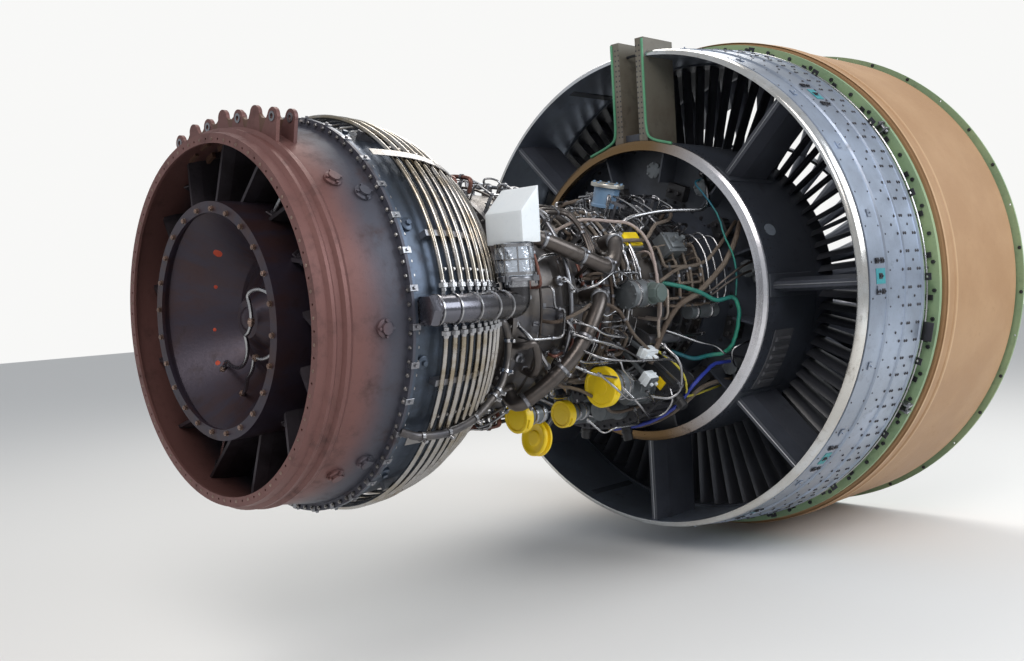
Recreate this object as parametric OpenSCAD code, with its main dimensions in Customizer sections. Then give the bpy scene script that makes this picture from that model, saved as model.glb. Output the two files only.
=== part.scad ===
// High bypass turbofan engine, out of its nacelle.
// Millimetres. The origin is the centre of the inlet flange face, on the shaft line.
// +X points forward out of the inlet, +Z points up, and -Y is the left side with the duct cover.
// Places round the engine are degrees from 12 o'clock towards -Y.

/* [Fan case] */
// Height of the inlet flange over the front case
inlet_flange_h = 130.7; // [120.7:1:165.7]
// Thickness of each case flange
case_flange_t = 12; // [8:1:16]
// Radius of the air path through the fan and the bypass duct
duct_r = 1190; // [1170:1:1200]
// Thickness of the rub and noise liner inside the front case
liner_t = 12; // [8:1:16]
// Thickness of the front case shell
case_shell_t = 12; // [8:1:16]
// Length of the front case, flange face to flange face
front_case_len = 929; // [880:1:980]
// Thickness of the fabric belt that contains a broken blade
wrap_t = 105.4; // [75.4:1:107.4]
// Bare length at each end of the fabric belt
wrap_end_gap = 28; // [20:1:40]
// Height of the flanges of the bolted joint behind the belt
joint_flange_h = 64; // [52:1:74]
// Length of the joint ring
joint_len = 92; // [80:1:110]
// Wall of the joint ring between its flanges
joint_wall = 48; // [35:1:52]
// Wall at the front of the rear case
rear_case_front_t = 77; // [70:1:85]
// Wall at the back of the rear case
rear_case_back_t = 30; // [25:1:40]
// Length of the rear case
rear_case_len = 498; // [470:1:520]
// Distance of the latch groove from the back edge
groove_from_edge = 53; // [45:1:65]
// Width of the latch groove
groove_w = 8; // [6:1:12]
// Depth of the latch groove
groove_depth = 15; // [10:1:18]

/* [Case fasteners] */
// Number of bolt holes in the inlet flange
inlet_hole_count = 36; // [24:2:48]
// Radius of the bolt holes in the inlet flange
inlet_hole_r = 5.5; // [4.5:0.5:6]
// Distance of the bolt circle from the edge of the inlet flange
inlet_hole_edge = 12; // [11:0.5:14]
// Number of bolts round each case joint
case_bolt_count = 60; // [40:4:72]
// Width across the flats of a case bolt
case_bolt_af = 17; // [13:1:19]
// Height of a case bolt head
case_bolt_h = 10; // [7:1:12]
// Number of brackets on the joint ring
bracket_count = 20; // [12:2:24]

/* [Fan] */
// Number of fan blades
fan_blade_count = 38; // [34:1:40]
// Gap between the fan blade tips and the rub strip
fan_tip_gap = 4; // [2:0.5:30]
// Radius of the fan hub at the blade roots
fan_hub_r = 396; // [380:1:410]
// Front edge of the fan disk, back from the inlet flange
fan_front = 424; // [410:1:440]
// Axial length of the fan disk
fan_disk_len = 220; // [210:1:235]
// Radius of the mid span dampers
damper_r = 800; // [760:1:840]
// Thickness of a mid span damper
damper_t = 14; // [10:1:18]
// Gap between neighbouring dampers and platforms, in degrees
damper_gap = 0.05; // [0.03:0.01:0.1]
// Length of the spinner
spinner_len = 392; // [370:1:400]
// Radius of the rounded spinner tip
spinner_tip_r = 45; // [35:1:60]
// Thickness of the spinner wall
spinner_t = 6; // [4:1:8]
// Height of the dovetail root of a fan blade
dovetail_h = 34; // [28:1:40]
// Width of the neck of the dovetail
dovetail_neck = 22; // [18:1:24]
// Width of the foot of the dovetail
dovetail_foot = 34; // [30:1:38]
// Play all round the dovetail
dovetail_play = 0.3; // [0.2:0.05:0.4]

/* [Bypass duct] */
// Number of outlet guide vanes
guide_vane_count = 80; // [60:2:84]
// Distance of the guide vanes behind the inlet flange
guide_vane_x = 945; // [935:1:960]
// Axial length of the guide vane rings
guide_vane_len = 160; // [140:1:170]
// Thickness of the guide vane rings
vane_ring_t = 10; // [8:1:12]
// Outer radius of the frame hub, the inner wall of the bypass duct
hub_r = 765; // [755:1:775]
// Front face of the fan frame, back from the inlet flange
frame_front = 1112; // [1108:1:1125]
// Rear end of the frame hub, back from the inlet flange
frame_rear = 1534; // [1528:1:1545]
// Number of struts, with the one at 12 o'clock taken by the pylon channel
strut_count = 8; // [8:2:8]
// Thickness of a strut
strut_t = 64; // [50:2:80]
// Axial chord of a strut
strut_chord = 330; // [300:5:370]
// Half width inside the pylon channel
channel_half_in = 53; // [45:1:60]
// Half width outside the pylon channel
channel_half_out = 105; // [95:1:115]
// Height of the top of the pylon channel over the duct wall
channel_rise = 90; // [80:1:105]
// Front wall of the pylon channel, back from the inlet flange
channel_front = 1290; // [1270:1:1310]
// Wall of the pylon channel
channel_t = 8; // [6:1:10]
// Inner radius of the rounded rear ring of the hub
rear_ring_in_r = 717; // [700:1:730]
// Length that the rear ring stands behind the hub
rear_ring_len = 33; // [26:1:40]

/* [Core case] */
// Wall of the compressor, combustor and turbine cases
core_t = 10; // [8:1:12]
// Outer radius at the front of the compressor case
comp_front_r = 392; // [388:1:398]
// Outer radius at the back of the compressor case
comp_back_r = 362; // [358:1:370]
// Length of the front compressor case
comp_front_len = 560; // [545:1:570]
// Length of the rear compressor case
comp_rear_len = 340; // [330:1:350]
// Height of the flanges of the core cases
flange_h = 26; // [20:1:32]
// Thickness of the flanges of the core cases
flange_t = 11; // [9:1:14]
// Largest radius of the diffuser and combustor case
diffuser_r = 468; // [460:1:480]
// Length of the diffuser and combustor case
diffuser_len = 458; // [450:1:470]
// Length of the high pressure turbine case
hpt_case_len = 92; // [88:1:104]
// Outer radius of the high pressure turbine case
hpt_case_r = 455; // [450:1:462]
// Length of the low pressure turbine case
lpt_case_len = 604; // [590:1:620]
// Outer radius at the back of the low pressure turbine case
lpt_back_r = 708; // [700:1:716]
// Outer radius of the flange between turbine case and exhaust frame
lpt_flange_r = 732; // [728:1:738]
// Length of the exhaust frame
exhaust_frame_len = 330; // [315:1:345]
// Outer radius at the back of the exhaust frame
exhaust_back_r = 658; // [650:1:664]
// Outer radius of the hub ring of the exhaust frame
exhaust_hub_r = 424; // [415:1:432]

/* [Vane control] */
// Number of rows of movable vanes
unison_row_count = 4; // [3:1:4]
// Distance between the rows of movable vanes
unison_pitch = 78; // [72:1:84]
// Inner radius of the unison rings
unison_in_r = 410; // [408:1:416]
// Thickness of a unison ring
unison_t = 10; // [8:1:12]
// Width of a unison ring
unison_w = 16; // [12:1:18]
// Number of vane levers on each row
lever_count = 24; // [18:2:28]
// Length of a vane lever between its centres
lever_len = 34; // [30:1:36]
// Place of the vane actuator round the engine
actuator_angle = 117; // [112:1:122]
// Distance of the actuator line from the shaft line
actuator_r = 470; // [462:1:480]
// Radius of the actuator body
actuator_body_r = 24; // [20:1:28]
// Length of the actuator body
actuator_body_len = 240; // [200:5:260]
// Radius of the actuator rod
actuator_rod_r = 9; // [7:1:12]
// Length of each arm of the bell crank
crank_arm = 44; // [38:1:50]

/* [Accessory gearbox] */
// Radius of the arc that carries the gear centres
gear_arc_r = 565; // [558:1:572]
// Tooth module of the drive gears
gear_module = 4; // [4:1:4]
// Teeth of the large drive gears
big_teeth = 26; // [26:1:26]
// Teeth of the small drive gears
small_teeth = 19; // [19:1:19]
// Face width of the drive gears
gear_w = 26; // [20:1:34]
// Radius of the gear shafts
gear_shaft_r = 13; // [11:1:15]
// Front face of the gearbox, back from the inlet flange
gearbox_front = 1770; // [1755:1:1790]
// Axial length of the gearbox
gearbox_len = 180; // [160:2:200]
// Place of the middle of the gearbox round the engine
gearbox_angle = 164; // [162:1:166]
// Half angle that the gearbox spans
gearbox_spread = 34; // [32:1:36]
// Half height of the gearbox housing
gearbox_half_h = 84; // [78:1:90]
// Wall of the gearbox housing
gearbox_t = 10; // [8:1:12]
// Radius of the tube round the drive shaft of the gearbox
drive_tube_r = 30; // [24:1:36]

/* [Shafts and bearings] */
// Radius of the low pressure shaft inside the core
lp_shaft_r = 62; // [58:1:66]
// Wall of the low pressure shaft
lp_shaft_t = 14; // [10:1:18]
// Radius of the bearing seat on the low pressure shaft
low_seat_r = 95; // [90:1:100]
// Radius of the bearing seat on the high pressure shaft
high_seat_r = 100; // [96:1:106]
// Radius of a bearing ball
ball_r = 14; // [12:1:16]
// Number of balls in a bearing
ball_count = 18; // [14:1:20]
// Gap between rotor blades and the case that they turn in
tip_gap = 3; // [2:0.5:4]

/* [Turbine tubes] */
// Number of cooling tubes round the low pressure turbine case
tube_count = 9; // [7:1:9]
// Radius of a cooling tube
tube_r = 8; // [6:1:9]
// Half angle at 3 o'clock left to the manifold
manifold_half_angle = 5.5; // [5:0.5:7]
// Number of straps that carry the cooling tubes
strap_count = 9; // [6:3:9]
// Height of a strap over the case
strap_h = 24; // [20:1:28]

/* [Hidden] */

// Smoothness of round parts, and the small overlap of a cut past its face
fn = 180;
cut = 2;
// Clearance of flat and round parts that are seated on each other
seat = 0.3;

// Stations along the shaft line, from the inlet flange back
x_joint = -front_case_len;
x_rear = x_joint - joint_len;
x_duct_end = x_rear - rear_case_len;
x_frame = -frame_front;
x_hub_end = -frame_rear;
x_comp = x_hub_end - 16;
x_comp_mid = x_comp - comp_front_len;
x_diffuser = x_comp_mid - comp_rear_len;
x_hpt = x_diffuser - diffuser_len;
x_lpt = x_hpt - hpt_case_len;
x_exhaust = x_lpt - lpt_case_len;
x_end = x_exhaust - exhaust_frame_len;

liner_out_r = duct_r + liner_t;
shell_in_r = liner_out_r + seat;
shell_out_r = shell_in_r + case_shell_t;
inlet_flange_r = shell_out_r + inlet_flange_h;
wrap_r = shell_out_r + seat + wrap_t;
joint_floor_r = duct_r + joint_wall;
joint_flange_r = joint_floor_r + joint_flange_h;
rear_case_front_r = duct_r + rear_case_front_t;
rear_case_back_r = duct_r + rear_case_back_t;
fan_tip_r = duct_r - fan_tip_gap;
channel_top = duct_r + channel_rise;

// Colours of the finishes
primer = [0.42, 0.52, 0.38];
tan_fabric = [0.62, 0.55, 0.45];
aluminium = [0.62, 0.66, 0.72];
dark_steel = [0.30, 0.31, 0.34];
grey_steel = [0.45, 0.47, 0.50];
blue_steel = [0.40, 0.46, 0.52];
heat_tint = [0.55, 0.42, 0.40];
yellow_cap = [0.90, 0.72, 0.12];
titanium = [0.50, 0.50, 0.53];

// Turns a profile of [x, r] points round the shaft line
module turned(profile, sides = fn)
    rotate([0, 90, 0]) rotate_extrude($fn = sides) polygon([for (p = profile) [p[1], p[0]]]);

// A plain ring between two stations
module ring(x_front, x_back, r_in, r_out, sides = fn)
    turned([[x_front, r_in], [x_front, r_out], [x_back, r_out], [x_back, r_in]], sides);

// Places children at a station, a radius and degrees from 12 o'clock, with +Z pointing outwards
module at(x, r, angle) rotate([angle, 0, 0]) translate([x, 0, r]) children();

// A sector of a ring, centred on a place round the engine
module sector(x_front, x_back, r_in, r_out, angle, spread)
    rotate([angle - 90 - spread / 2, 0, 0]) rotate([0, 90, 0]) rotate([0, 0, -90])
        rotate_extrude(angle = spread, $fn = fn)
            polygon([[r_in, x_front], [r_out, x_front], [r_out, x_back], [r_in, x_back]]);

// A rod along the shaft direction
module axial_rod(x_front, x_back, r, sides = 48)
    translate([x_back, 0, 0]) rotate([0, 90, 0]) cylinder(r = r, h = x_front - x_back, $fn = sides);

// Outline of a blade of one thickness and camber, bounded by two arcs
module blade_outline(chord, thick, camber) {
    r_inner = (chord * chord / 4 + camber * camber) / (2 * camber);
    crown = camber + thick;
    r_outer = (chord * chord / 4 + crown * crown) / (2 * crown);
    difference() {
        translate([0, crown - r_outer]) circle(r = r_outer, $fn = fn);
        translate([0, camber - r_inner]) circle(r = r_inner, $fn = fn);
        translate([-r_outer - cut, -2 * r_outer - cut]) square([2 * r_outer + 2 * cut, 2 * r_outer + cut]);
    }
}

// A row of straight blades round the shaft line, each one a piece of its own
module blade_row(count, x, r_in, r_out, chord, thick, stagger, flip = 1)
    for (i = [0:count - 1])
        at(x, r_in, i * 360 / count)
            rotate([0, 0, stagger]) scale([1, flip, 1]) linear_extrude(r_out - r_in)
                blade_outline(chord, thick, chord / 9);

function unit(v) = v / norm(v);

// Points of a route with its corners rounded to one bend radius
function corner(a, b, c, bend, steps) =
    let (u = unit(a - b), w = unit(c - b), half = acos(u * w) / 2,
         centre = b + unit(u + w) * bend / sin(half),
         from = b + u * bend / tan(half) - centre, to = b + w * bend / tan(half) - centre,
         turn = 180 - 2 * half)
    [for (k = [0:steps]) centre
        + (sin(turn * (1 - k / steps)) * from + sin(turn * k / steps) * to) / sin(turn)];

function rounded(route, bend, steps = 4) = concat([route[0]],
    [for (i = [1:len(route) - 2]) each corner(route[i - 1], route[i], route[i + 1], bend, steps)],
    [route[len(route) - 1]]);

// A round tube or hose swept along points, with straight ends
module swept(points, r, sides = 10) {
    last = len(points) - 1;
    tangents = [for (i = [0:last]) unit(points[min(i + 1, last)] - points[max(i - 1, 0)])];
    start = abs(tangents[0][2]) > 0.8 ? [1, 0, 0] : [0, 0, 1];
    normals = [for (i = 0, n = unit(start - tangents[0] * (start * tangents[0])); i <= last;
        i = i + 1, n = i > last ? n : unit(n - tangents[i] * (n * tangents[i]))) n];
    rings = [for (i = [0:last]) for (k = [0:sides - 1])
        points[i] + r * (cos(k * 360 / sides) * normals[i] + sin(k * 360 / sides) * cross(tangents[i],
            normals[i]))];
    walls = [for (i = [0:last - 1]) for (k = [0:sides - 1])
        let (a = i * sides + k, b = i * sides + (k + 1) % sides)
        each [[a, a + sides, b], [b, a + sides, b + sides]]];
    polyhedron(rings, concat(walls, [[for (k = [0:sides - 1]) k]],
        [[for (k = [sides - 1:-1:0]) last * sides + k]]), convexity = 6);
}

// A point from a station, a radius and degrees from 12 o'clock
function place(x, r, angle) = [x, -r * sin(angle), r * cos(angle)];

// Fan case
wrap_front = -case_flange_t - wrap_end_gap;
wrap_back = x_joint + case_flange_t + wrap_end_gap;
inlet_hole_pcr = inlet_flange_r - inlet_hole_edge;

module fan_case() color(primer) difference() {
    turned([[0, shell_in_r], [0, inlet_flange_r], [-case_flange_t, inlet_flange_r],
        [-case_flange_t, shell_out_r], [x_joint + case_flange_t, shell_out_r],
        [x_joint + case_flange_t, joint_flange_r], [x_joint, joint_flange_r], [x_joint, shell_in_r]]);
    for (i = [0:inlet_hole_count - 1])
        at(-case_flange_t - cut, inlet_hole_pcr, (i + 0.5) * 360 / inlet_hole_count)
            rotate([0, 90, 0]) cylinder(r = inlet_hole_r, h = case_flange_t + 2 * cut, $fn = 24);
}

// The belt has a bevel at each end and a low ridge near its back edge
wrap_bevel = 14;
wrap_ridge_h = 4;
wrap_ridge_w = 26;
module containment_wrap() color(tan_fabric)
    turned([[wrap_front, shell_out_r + seat], [wrap_front, wrap_r - wrap_bevel],
        [wrap_front - wrap_bevel, wrap_r], [wrap_back + 4 * wrap_ridge_w, wrap_r],
        [wrap_back + 3.7 * wrap_ridge_w, wrap_r + wrap_ridge_h],
        [wrap_back + 3 * wrap_ridge_w, wrap_r + wrap_ridge_h],
        [wrap_back + 2.7 * wrap_ridge_w, wrap_r], [wrap_back + wrap_bevel, wrap_r],
        [wrap_back, wrap_r - wrap_bevel], [wrap_back, shell_out_r + seat]]);

// Noise panels ahead of the fan and behind it, with the rub strip between them
rub_front = -fan_front + 20;
rub_back = -fan_front - fan_disk_len - 20;
module fan_liner() color(grey_steel) {
    ring(-seat, rub_front + seat, duct_r, liner_out_r);
    ring(rub_front, rub_back, duct_r, liner_out_r);
    ring(rub_back - seat, x_joint + seat, duct_r, liner_out_r);
}

module joint_ring() color(primer)
    turned([[x_joint, duct_r], [x_joint, joint_flange_r], [x_joint - case_flange_t, joint_flange_r],
        [x_joint - case_flange_t, joint_floor_r], [x_rear + case_flange_t, joint_floor_r],
        [x_rear + case_flange_t, rear_case_front_r - 4], [x_rear, rear_case_front_r - 4], [x_rear, duct_r]]);

// The rear case steps down twice on its way to the latch groove and ends in a rounded rim
step_1 = x_rear - 150;
step_2 = x_rear - 300;
fall = (rear_case_front_r - rear_case_back_r) / 4;
groove_x = x_duct_end + groove_from_edge;
module fan_rear_case() color(aluminium) difference() {
    turned([[x_rear, duct_r], [x_rear, rear_case_front_r], [x_rear - case_flange_t, rear_case_front_r],
        [x_rear - 18, rear_case_front_r - fall / 2], [step_1, rear_case_front_r - fall],
        [step_1 - 6, rear_case_front_r - 1.6 * fall], [step_2, rear_case_front_r - 2.3 * fall],
        [step_2 - 6, rear_case_front_r - 3 * fall], [groove_x + groove_w, rear_case_back_r + 2],
        [groove_x + groove_w / 2, rear_case_back_r - groove_depth],
        [groove_x - groove_w / 2, rear_case_back_r - groove_depth], [groove_x - groove_w, rear_case_back_r],
        [x_duct_end + 16, rear_case_back_r - 4], [x_duct_end + 4, rear_case_back_r - 12],
        [x_duct_end, duct_r + 8], [x_duct_end, duct_r]]);
    // The way for the pylon channel at 12 o'clock
    translate([x_duct_end - cut, -channel_half_out - seat, duct_r - 40])
        cube([seat - channel_front - x_duct_end + cut, 2 * channel_half_out + 2 * seat, 140]);
}

module hex_bolt(af, h) cylinder(d = af / cos(30), h = h, $fn = 6);

// Hexagon heads on the joint ring, in front of its back flange and behind its front one
module case_bolts() color(dark_steel) for (i = [0:case_bolt_count - 1]) {
    at(x_joint - case_flange_t, (joint_flange_r + joint_floor_r) / 2 + 8, (i + 0.5) * 360 / case_bolt_count)
        rotate([0, -90, 0]) hex_bolt(case_bolt_af, case_bolt_h);
    at(x_joint + case_flange_t, (joint_flange_r + joint_floor_r) / 2 + 8, (i + 0.5) * 360 / case_bolt_count)
        rotate([0, 90, 0]) hex_bolt(case_bolt_af, case_bolt_h);
}

// Folded brackets that stand on the floor of the joint ring
module joint_brackets() color(dark_steel) for (i = [0:bracket_count - 1])
    at(x_joint - case_flange_t - 16, joint_floor_r, i * 360 / bracket_count) translate([-46, -17, 0])
        difference() {
            cube([40, 34, 52]);
            translate([4, -cut, 5]) cube([40, 34 + 2 * cut, 52]);
            translate([-cut, 17, 32]) rotate([0, 90, 0]) cylinder(r = 6, h = 10, $fn = 24);
        }

// Bypass duct
x_vanes = -guide_vane_x;
x_vanes_end = x_vanes - guide_vane_len;
vane_inner_r = hub_r - vane_ring_t - 3;
vane_outer_r = duct_r - vane_ring_t;
vane_chord = 112;
// Gap under the middle of a flat vane end on the round inner ring
vane_end_gap = 0.05;
module guide_vane_rings() color(dark_steel) {
    ring(x_vanes, x_vanes_end, vane_outer_r, duct_r - seat);
    ring(x_vanes, x_vanes_end, vane_inner_r, vane_inner_r + vane_ring_t);
}

module outlet_guide_vanes() color(dark_steel)
    blade_row(guide_vane_count, (x_vanes + x_vanes_end) / 2, vane_inner_r + vane_ring_t + vane_end_gap,
        vane_outer_r - seat, vane_chord, 9, 12);

// Splitter: nose, inner wall of the bypass duct and outer wall of the booster
splitter_x = -702;
splitter_r = 609;
booster_wall_r = 560;
skin_t = 8;
module core_splitter() color(titanium)
    turned([[splitter_x, splitter_r], [splitter_x - 14, splitter_r + 9], [splitter_x - 120, splitter_r + 68],
        [x_vanes + 60, vane_inner_r - 20], [x_vanes + 8, vane_inner_r + vane_ring_t],
        [x_vanes + seat, vane_inner_r + vane_ring_t],
        [x_vanes + seat, vane_inner_r - seat], [x_frame + seat, vane_inner_r - seat],
        [x_frame + seat, vane_inner_r - seat - skin_t], [x_vanes + 60, vane_inner_r - 20 - skin_t - 4],
        [splitter_x - 120, splitter_r + 68 - skin_t - 4], [splitter_x - 40, splitter_r + 12],
        [splitter_x - 60, splitter_r - 1], [x_frame + 60, booster_wall_r + skin_t],
        [x_frame + seat, booster_wall_r + skin_t], [x_frame + seat, booster_wall_r],
        [splitter_x - 14, splitter_r - 7]]);

// Fan frame hub: outer wall, two bulkheads and the walls of the air path down to the compressor
neck_in_r = 470;
core_in_r = 246;
x_bulkhead = x_hub_end + 150;
module fan_frame_hub() color(dark_steel) difference() {
    union() {
        // Gussets in the open back of the hub
        for (i = [0:11]) rotate([i * 30 + 15, 0, 0]) translate([x_hub_end + 18, -5, hub_r - 200])
            cube([x_bulkhead - x_hub_end - 24, 10, 196]);
        ring(x_frame, x_hub_end, hub_r - skin_t, hub_r);
        ring(x_frame, x_frame - 14, booster_wall_r, hub_r);
        ring(x_bulkhead, x_bulkhead - 12, 400, hub_r);
        turned([[x_frame, booster_wall_r], [x_frame, booster_wall_r + 14], [x_hub_end, comp_front_r + 8],
            [x_hub_end, comp_front_r - core_t]]);
        turned([[x_frame, neck_in_r], [x_hub_end, core_in_r], [x_hub_end, core_in_r - 12],
            [x_frame, neck_in_r - 12]]);
        ring(x_hub_end + flange_t, x_hub_end, comp_front_r - core_t, comp_front_r + flange_h);
        // Struts through the air path
        for (i = [0:strut_count - 1]) rotate([i * 360 / strut_count, 0, 0])
            rotate([90, 0, 0]) translate([0, 0, -14]) linear_extrude(28)
                polygon([[x_frame - 60, neck_in_r - 34], [x_frame - 60, booster_wall_r - 16],
                    [x_frame - 300, comp_front_r + 64], [x_frame - 300, core_in_r + 66]]);
        // Support of the high pressure bearing
        ring(x_hub_end + 24, x_hub_end, race_out_r(high_seat_r) + seat, race_out_r(high_seat_r) + 13);
        ring(x_hub_end + 12, x_hub_end, race_out_r(high_seat_r) + 5, core_in_r - 6);
    }
    mount_holes();
}

// Outline of a strut: rounded nose, straight sides and a blunt tail
module strut_outline(chord, thick) {
    translate([-thick / 2, 0]) circle(d = thick, $fn = 64);
    polygon([[-thick / 2, thick / 2], [-chord * 0.72, thick / 2], [-chord, thick / 4],
        [-chord, -thick / 4], [-chord * 0.72, -thick / 2], [-thick / 2, -thick / 2]]);
}

strut_x = x_frame - 60;
module fan_frame_struts() color(grey_steel) for (i = [1:strut_count - 1])
    rotate([i * 360 / strut_count, 0, 0]) intersection() {
        translate([strut_x, 0, hub_r - 40]) linear_extrude(duct_r - hub_r + 80)
            difference() {
                strut_outline(strut_chord, strut_t);
                translate([-14, 0]) strut_outline(strut_chord - 40, strut_t - 28);
            }
        ring(strut_x + cut, strut_x - strut_chord - cut, hub_r + seat, duct_r - seat);
    }

// Box that lets the pylon through at 12 o'clock, open at its top and back
channel_back = x_duct_end - 12;
module channel_walls(half, top, bottom, back, front)
    translate([back, -half, bottom]) cube([front - back, 2 * half, top - bottom]);
module pylon_channel() color(primer) difference() {
    channel_walls(channel_half_out, channel_top, hub_r - 60, channel_back, -channel_front);
    channel_walls(channel_half_in, channel_top + cut, hub_r - 60 - cut, channel_back - cut,
        -channel_front - channel_t);
    for (side = [-1, 1]) translate([channel_back + 12, side * (channel_half_in + channel_half_out) / 2, 0])
        translate([0, -(channel_half_out - channel_half_in) / 2 + channel_t, hub_r - 60 - cut])
            cube([-channel_front - channel_t - channel_back - 12,
                channel_half_out - channel_half_in - 2 * channel_t,
                channel_top - channel_t - hub_r + 60 + cut]);
    axial_rod(-channel_front + cut, channel_back - cut, hub_r + seat, fn);
}

// Rounded ring behind the hub
ring_fillet = 14;
module hub_rear_ring() color([0.45, 0.40, 0.33])
    turned([[x_hub_end, hub_r - skin_t - 40], [x_hub_end, hub_r - 2], [x_hub_end - 8, hub_r + 2],
        [x_hub_end - ring_fillet, hub_r - 1], [x_hub_end - 24, hub_r - 16],
        [x_hub_end - rear_ring_len + 3, rear_ring_in_r + 10],
        [x_hub_end - rear_ring_len, rear_ring_in_r], [x_hub_end - rear_ring_len + 7, rear_ring_in_r - 1],
        [x_hub_end - 14, rear_ring_in_r - 2], [x_hub_end - 8, rear_ring_in_r - 2],
        [x_hub_end, rear_ring_in_r - 2]]);

// Vents of the bleed valves: bulged slots in a plate on the hub wall
louvre_count = 6;
louvre_angle = 118;
louvre_front = x_hub_end + 240;
louvre_back = x_hub_end + 80;
module bleed_louvres() color(dark_steel) difference() {
    union() {
        sector(louvre_front, louvre_back, hub_r, hub_r + seat + 4, louvre_angle, 24);
        for (i = [0:louvre_count - 1]) rotate([louvre_angle - 8.5 + i * 3.4, 0, 0])
            translate([0, 0, hub_r + 3])
            axial_rod(louvre_front - 20, louvre_back + 20, 12);
    }
    axial_rod(louvre_front + cut, louvre_back - cut, hub_r + seat, fn);
}

// Front mount: a pad on the hub inside the pylon channel
mount_hole_r = 13;
mount_hole_dx = 150;
mount_hole_dy = 60;
mount_len = 200;
mount_top = hub_r + 40;
mount_x = -channel_front - channel_t - seat - mount_len / 2 - 10;
module mount_holes() for (sx = [-1, 1]) for (sy = [-1, 1])
    translate([mount_x + sx * mount_hole_dx / 2, sy * mount_hole_dy / 2, hub_r - 40])
        cylinder(r = mount_hole_r, h = 110, $fn = 48);
module front_mount() color(grey_steel) difference() {
    translate([mount_x - mount_len / 2, -channel_half_in + seat, hub_r - 20])
        cube([mount_len, 2 * channel_half_in - 2 * seat, mount_top - hub_r + 20]);
    axial_rod(mount_x + mount_len, mount_x - mount_len, hub_r + seat, fn);
    mount_holes();
}

// Bearings: a ball race between an inner and an outer ring
race_t = 12;
race_w = 40;
front_bearing_x = -820;
high_bearing_x = x_hub_end + race_w / 2 + 1;
rear_bearing_x = x_exhaust - 60;
rear_seat_r = 80;
// Radius of the centre line of the balls over a shaft seat
function ball_line(seat_r) = seat_r + race_t + ball_r - 3;
module outer_race(x, seat_r) difference() {
    ring(x + race_w / 2, x - race_w / 2, ball_line(seat_r) + 2, race_out_r(seat_r));
    ball_groove(x, seat_r);
}
module inner_race(x, seat_r) difference() {
    ring(x + race_w / 2, x - race_w / 2, seat_r + seat, ball_line(seat_r) - 2);
    ball_groove(x, seat_r);
}
module ball_groove(x, seat_r) translate([x, 0, 0]) rotate([0, 90, 0])
    rotate_extrude($fn = fn) translate([ball_line(seat_r), 0]) circle(r = ball_r + seat, $fn = 48);
module ball_set(x, seat_r) for (i = [0:ball_count - 1])
    at(x, ball_line(seat_r), i * 360 / ball_count) sphere(r = ball_r, $fn = 48);
function race_out_r(seat_r) = ball_line(seat_r) + ball_r + 8;

module bearing_support() color(grey_steel) {
    ring(x_frame + 10, x_frame + seat, neck_in_r - 70, neck_in_r - 4);
    turned([[x_frame + 6, neck_in_r - 58], [x_frame + 6, neck_in_r - 70],
        [front_bearing_x - 4, race_out_r(low_seat_r) + 6], [front_bearing_x - 4,
        race_out_r(low_seat_r) + 20]]);
    ring(front_bearing_x + race_w / 2, front_bearing_x - race_w / 2, race_out_r(low_seat_r) + seat,
        race_out_r(low_seat_r) + 13);
}

module bearing_outer_races() color(grey_steel)
    for (b = [[front_bearing_x, low_seat_r], [high_bearing_x, high_seat_r],
    [rear_bearing_x, rear_seat_r]]) {
    outer_race(b[0], b[1]);
    ball_set(b[0], b[1]);
}

// Compressor
// Outer radius of the compressor cases at a station
function comp_r(x) = comp_front_r + (comp_back_r - comp_front_r) * (x_comp - x) / (x_comp - x_diffuser);
// Radius of the compressor drum at a station
drum_front_r = 250;
drum_back_r = 314;
function drum_r(x) = drum_front_r + (drum_back_r - drum_front_r) * (x_comp - x) / (x_comp - x_diffuser);
comp_stage_count = 10;
stage_first = x_comp - 46;
stage_pitch = (x_comp - x_diffuser - 90) / comp_stage_count;
// Station of unison row i
function unison_x(i) = x_comp - 92 - i * unison_pitch;
boss_r = 9;
boss_top_r = comp_front_r + 8;
pad_count = 8;

module compressor_case() color(grey_steel) {
    turned([[x_comp, comp_r(x_comp) - core_t], [x_comp, comp_front_r + flange_h],
        [x_comp - flange_t, comp_front_r + flange_h], [x_comp - flange_t, comp_r(x_comp)],
        [x_comp_mid + flange_t, comp_r(x_comp_mid)],
        [x_comp_mid + flange_t, comp_r(x_comp_mid) + flange_h],
        [x_comp_mid, comp_r(x_comp_mid) + flange_h], [x_comp_mid, comp_r(x_comp_mid) - core_t]]);
    for (row = [0:unison_row_count - 1]) {
        // Bosses that the vane spindles come out of
        boss_x = unison_x(row) - lever_len;
        boss_foot = comp_r(boss_x + boss_r) + seat;
        for (i = [0:lever_count - 1]) at(boss_x, boss_foot, (i + 0.5) * 360 / lever_count)
            cylinder(r = boss_r, h = boss_top_r - boss_foot, $fn = 24);
        // Pads that the unison rings slide on
        for (i = [0:pad_count - 1]) sector(unison_x(row) + unison_w / 2, unison_x(row) - unison_w / 2,
            comp_r(unison_x(row) + unison_w / 2) + seat, unison_in_r - seat, i * 360 / pad_count, 3);
    }
    // Flanges of the split line at 3 and 9 o'clock
    for (side = [-1, 1]) difference() {
        translate([x_comp_mid + flange_t + seat, side * (comp_back_r + 18) - 18, -11])
            cube([x_comp - x_comp_mid - 4 * unison_pitch - 80, 36, 22]);
        turned([[x_comp_mid, 0], [x_comp_mid, comp_r(x_comp_mid) + seat], [x_comp, comp_r(x_comp) + seat],
            [x_comp, 0]]);
    }
}

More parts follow.
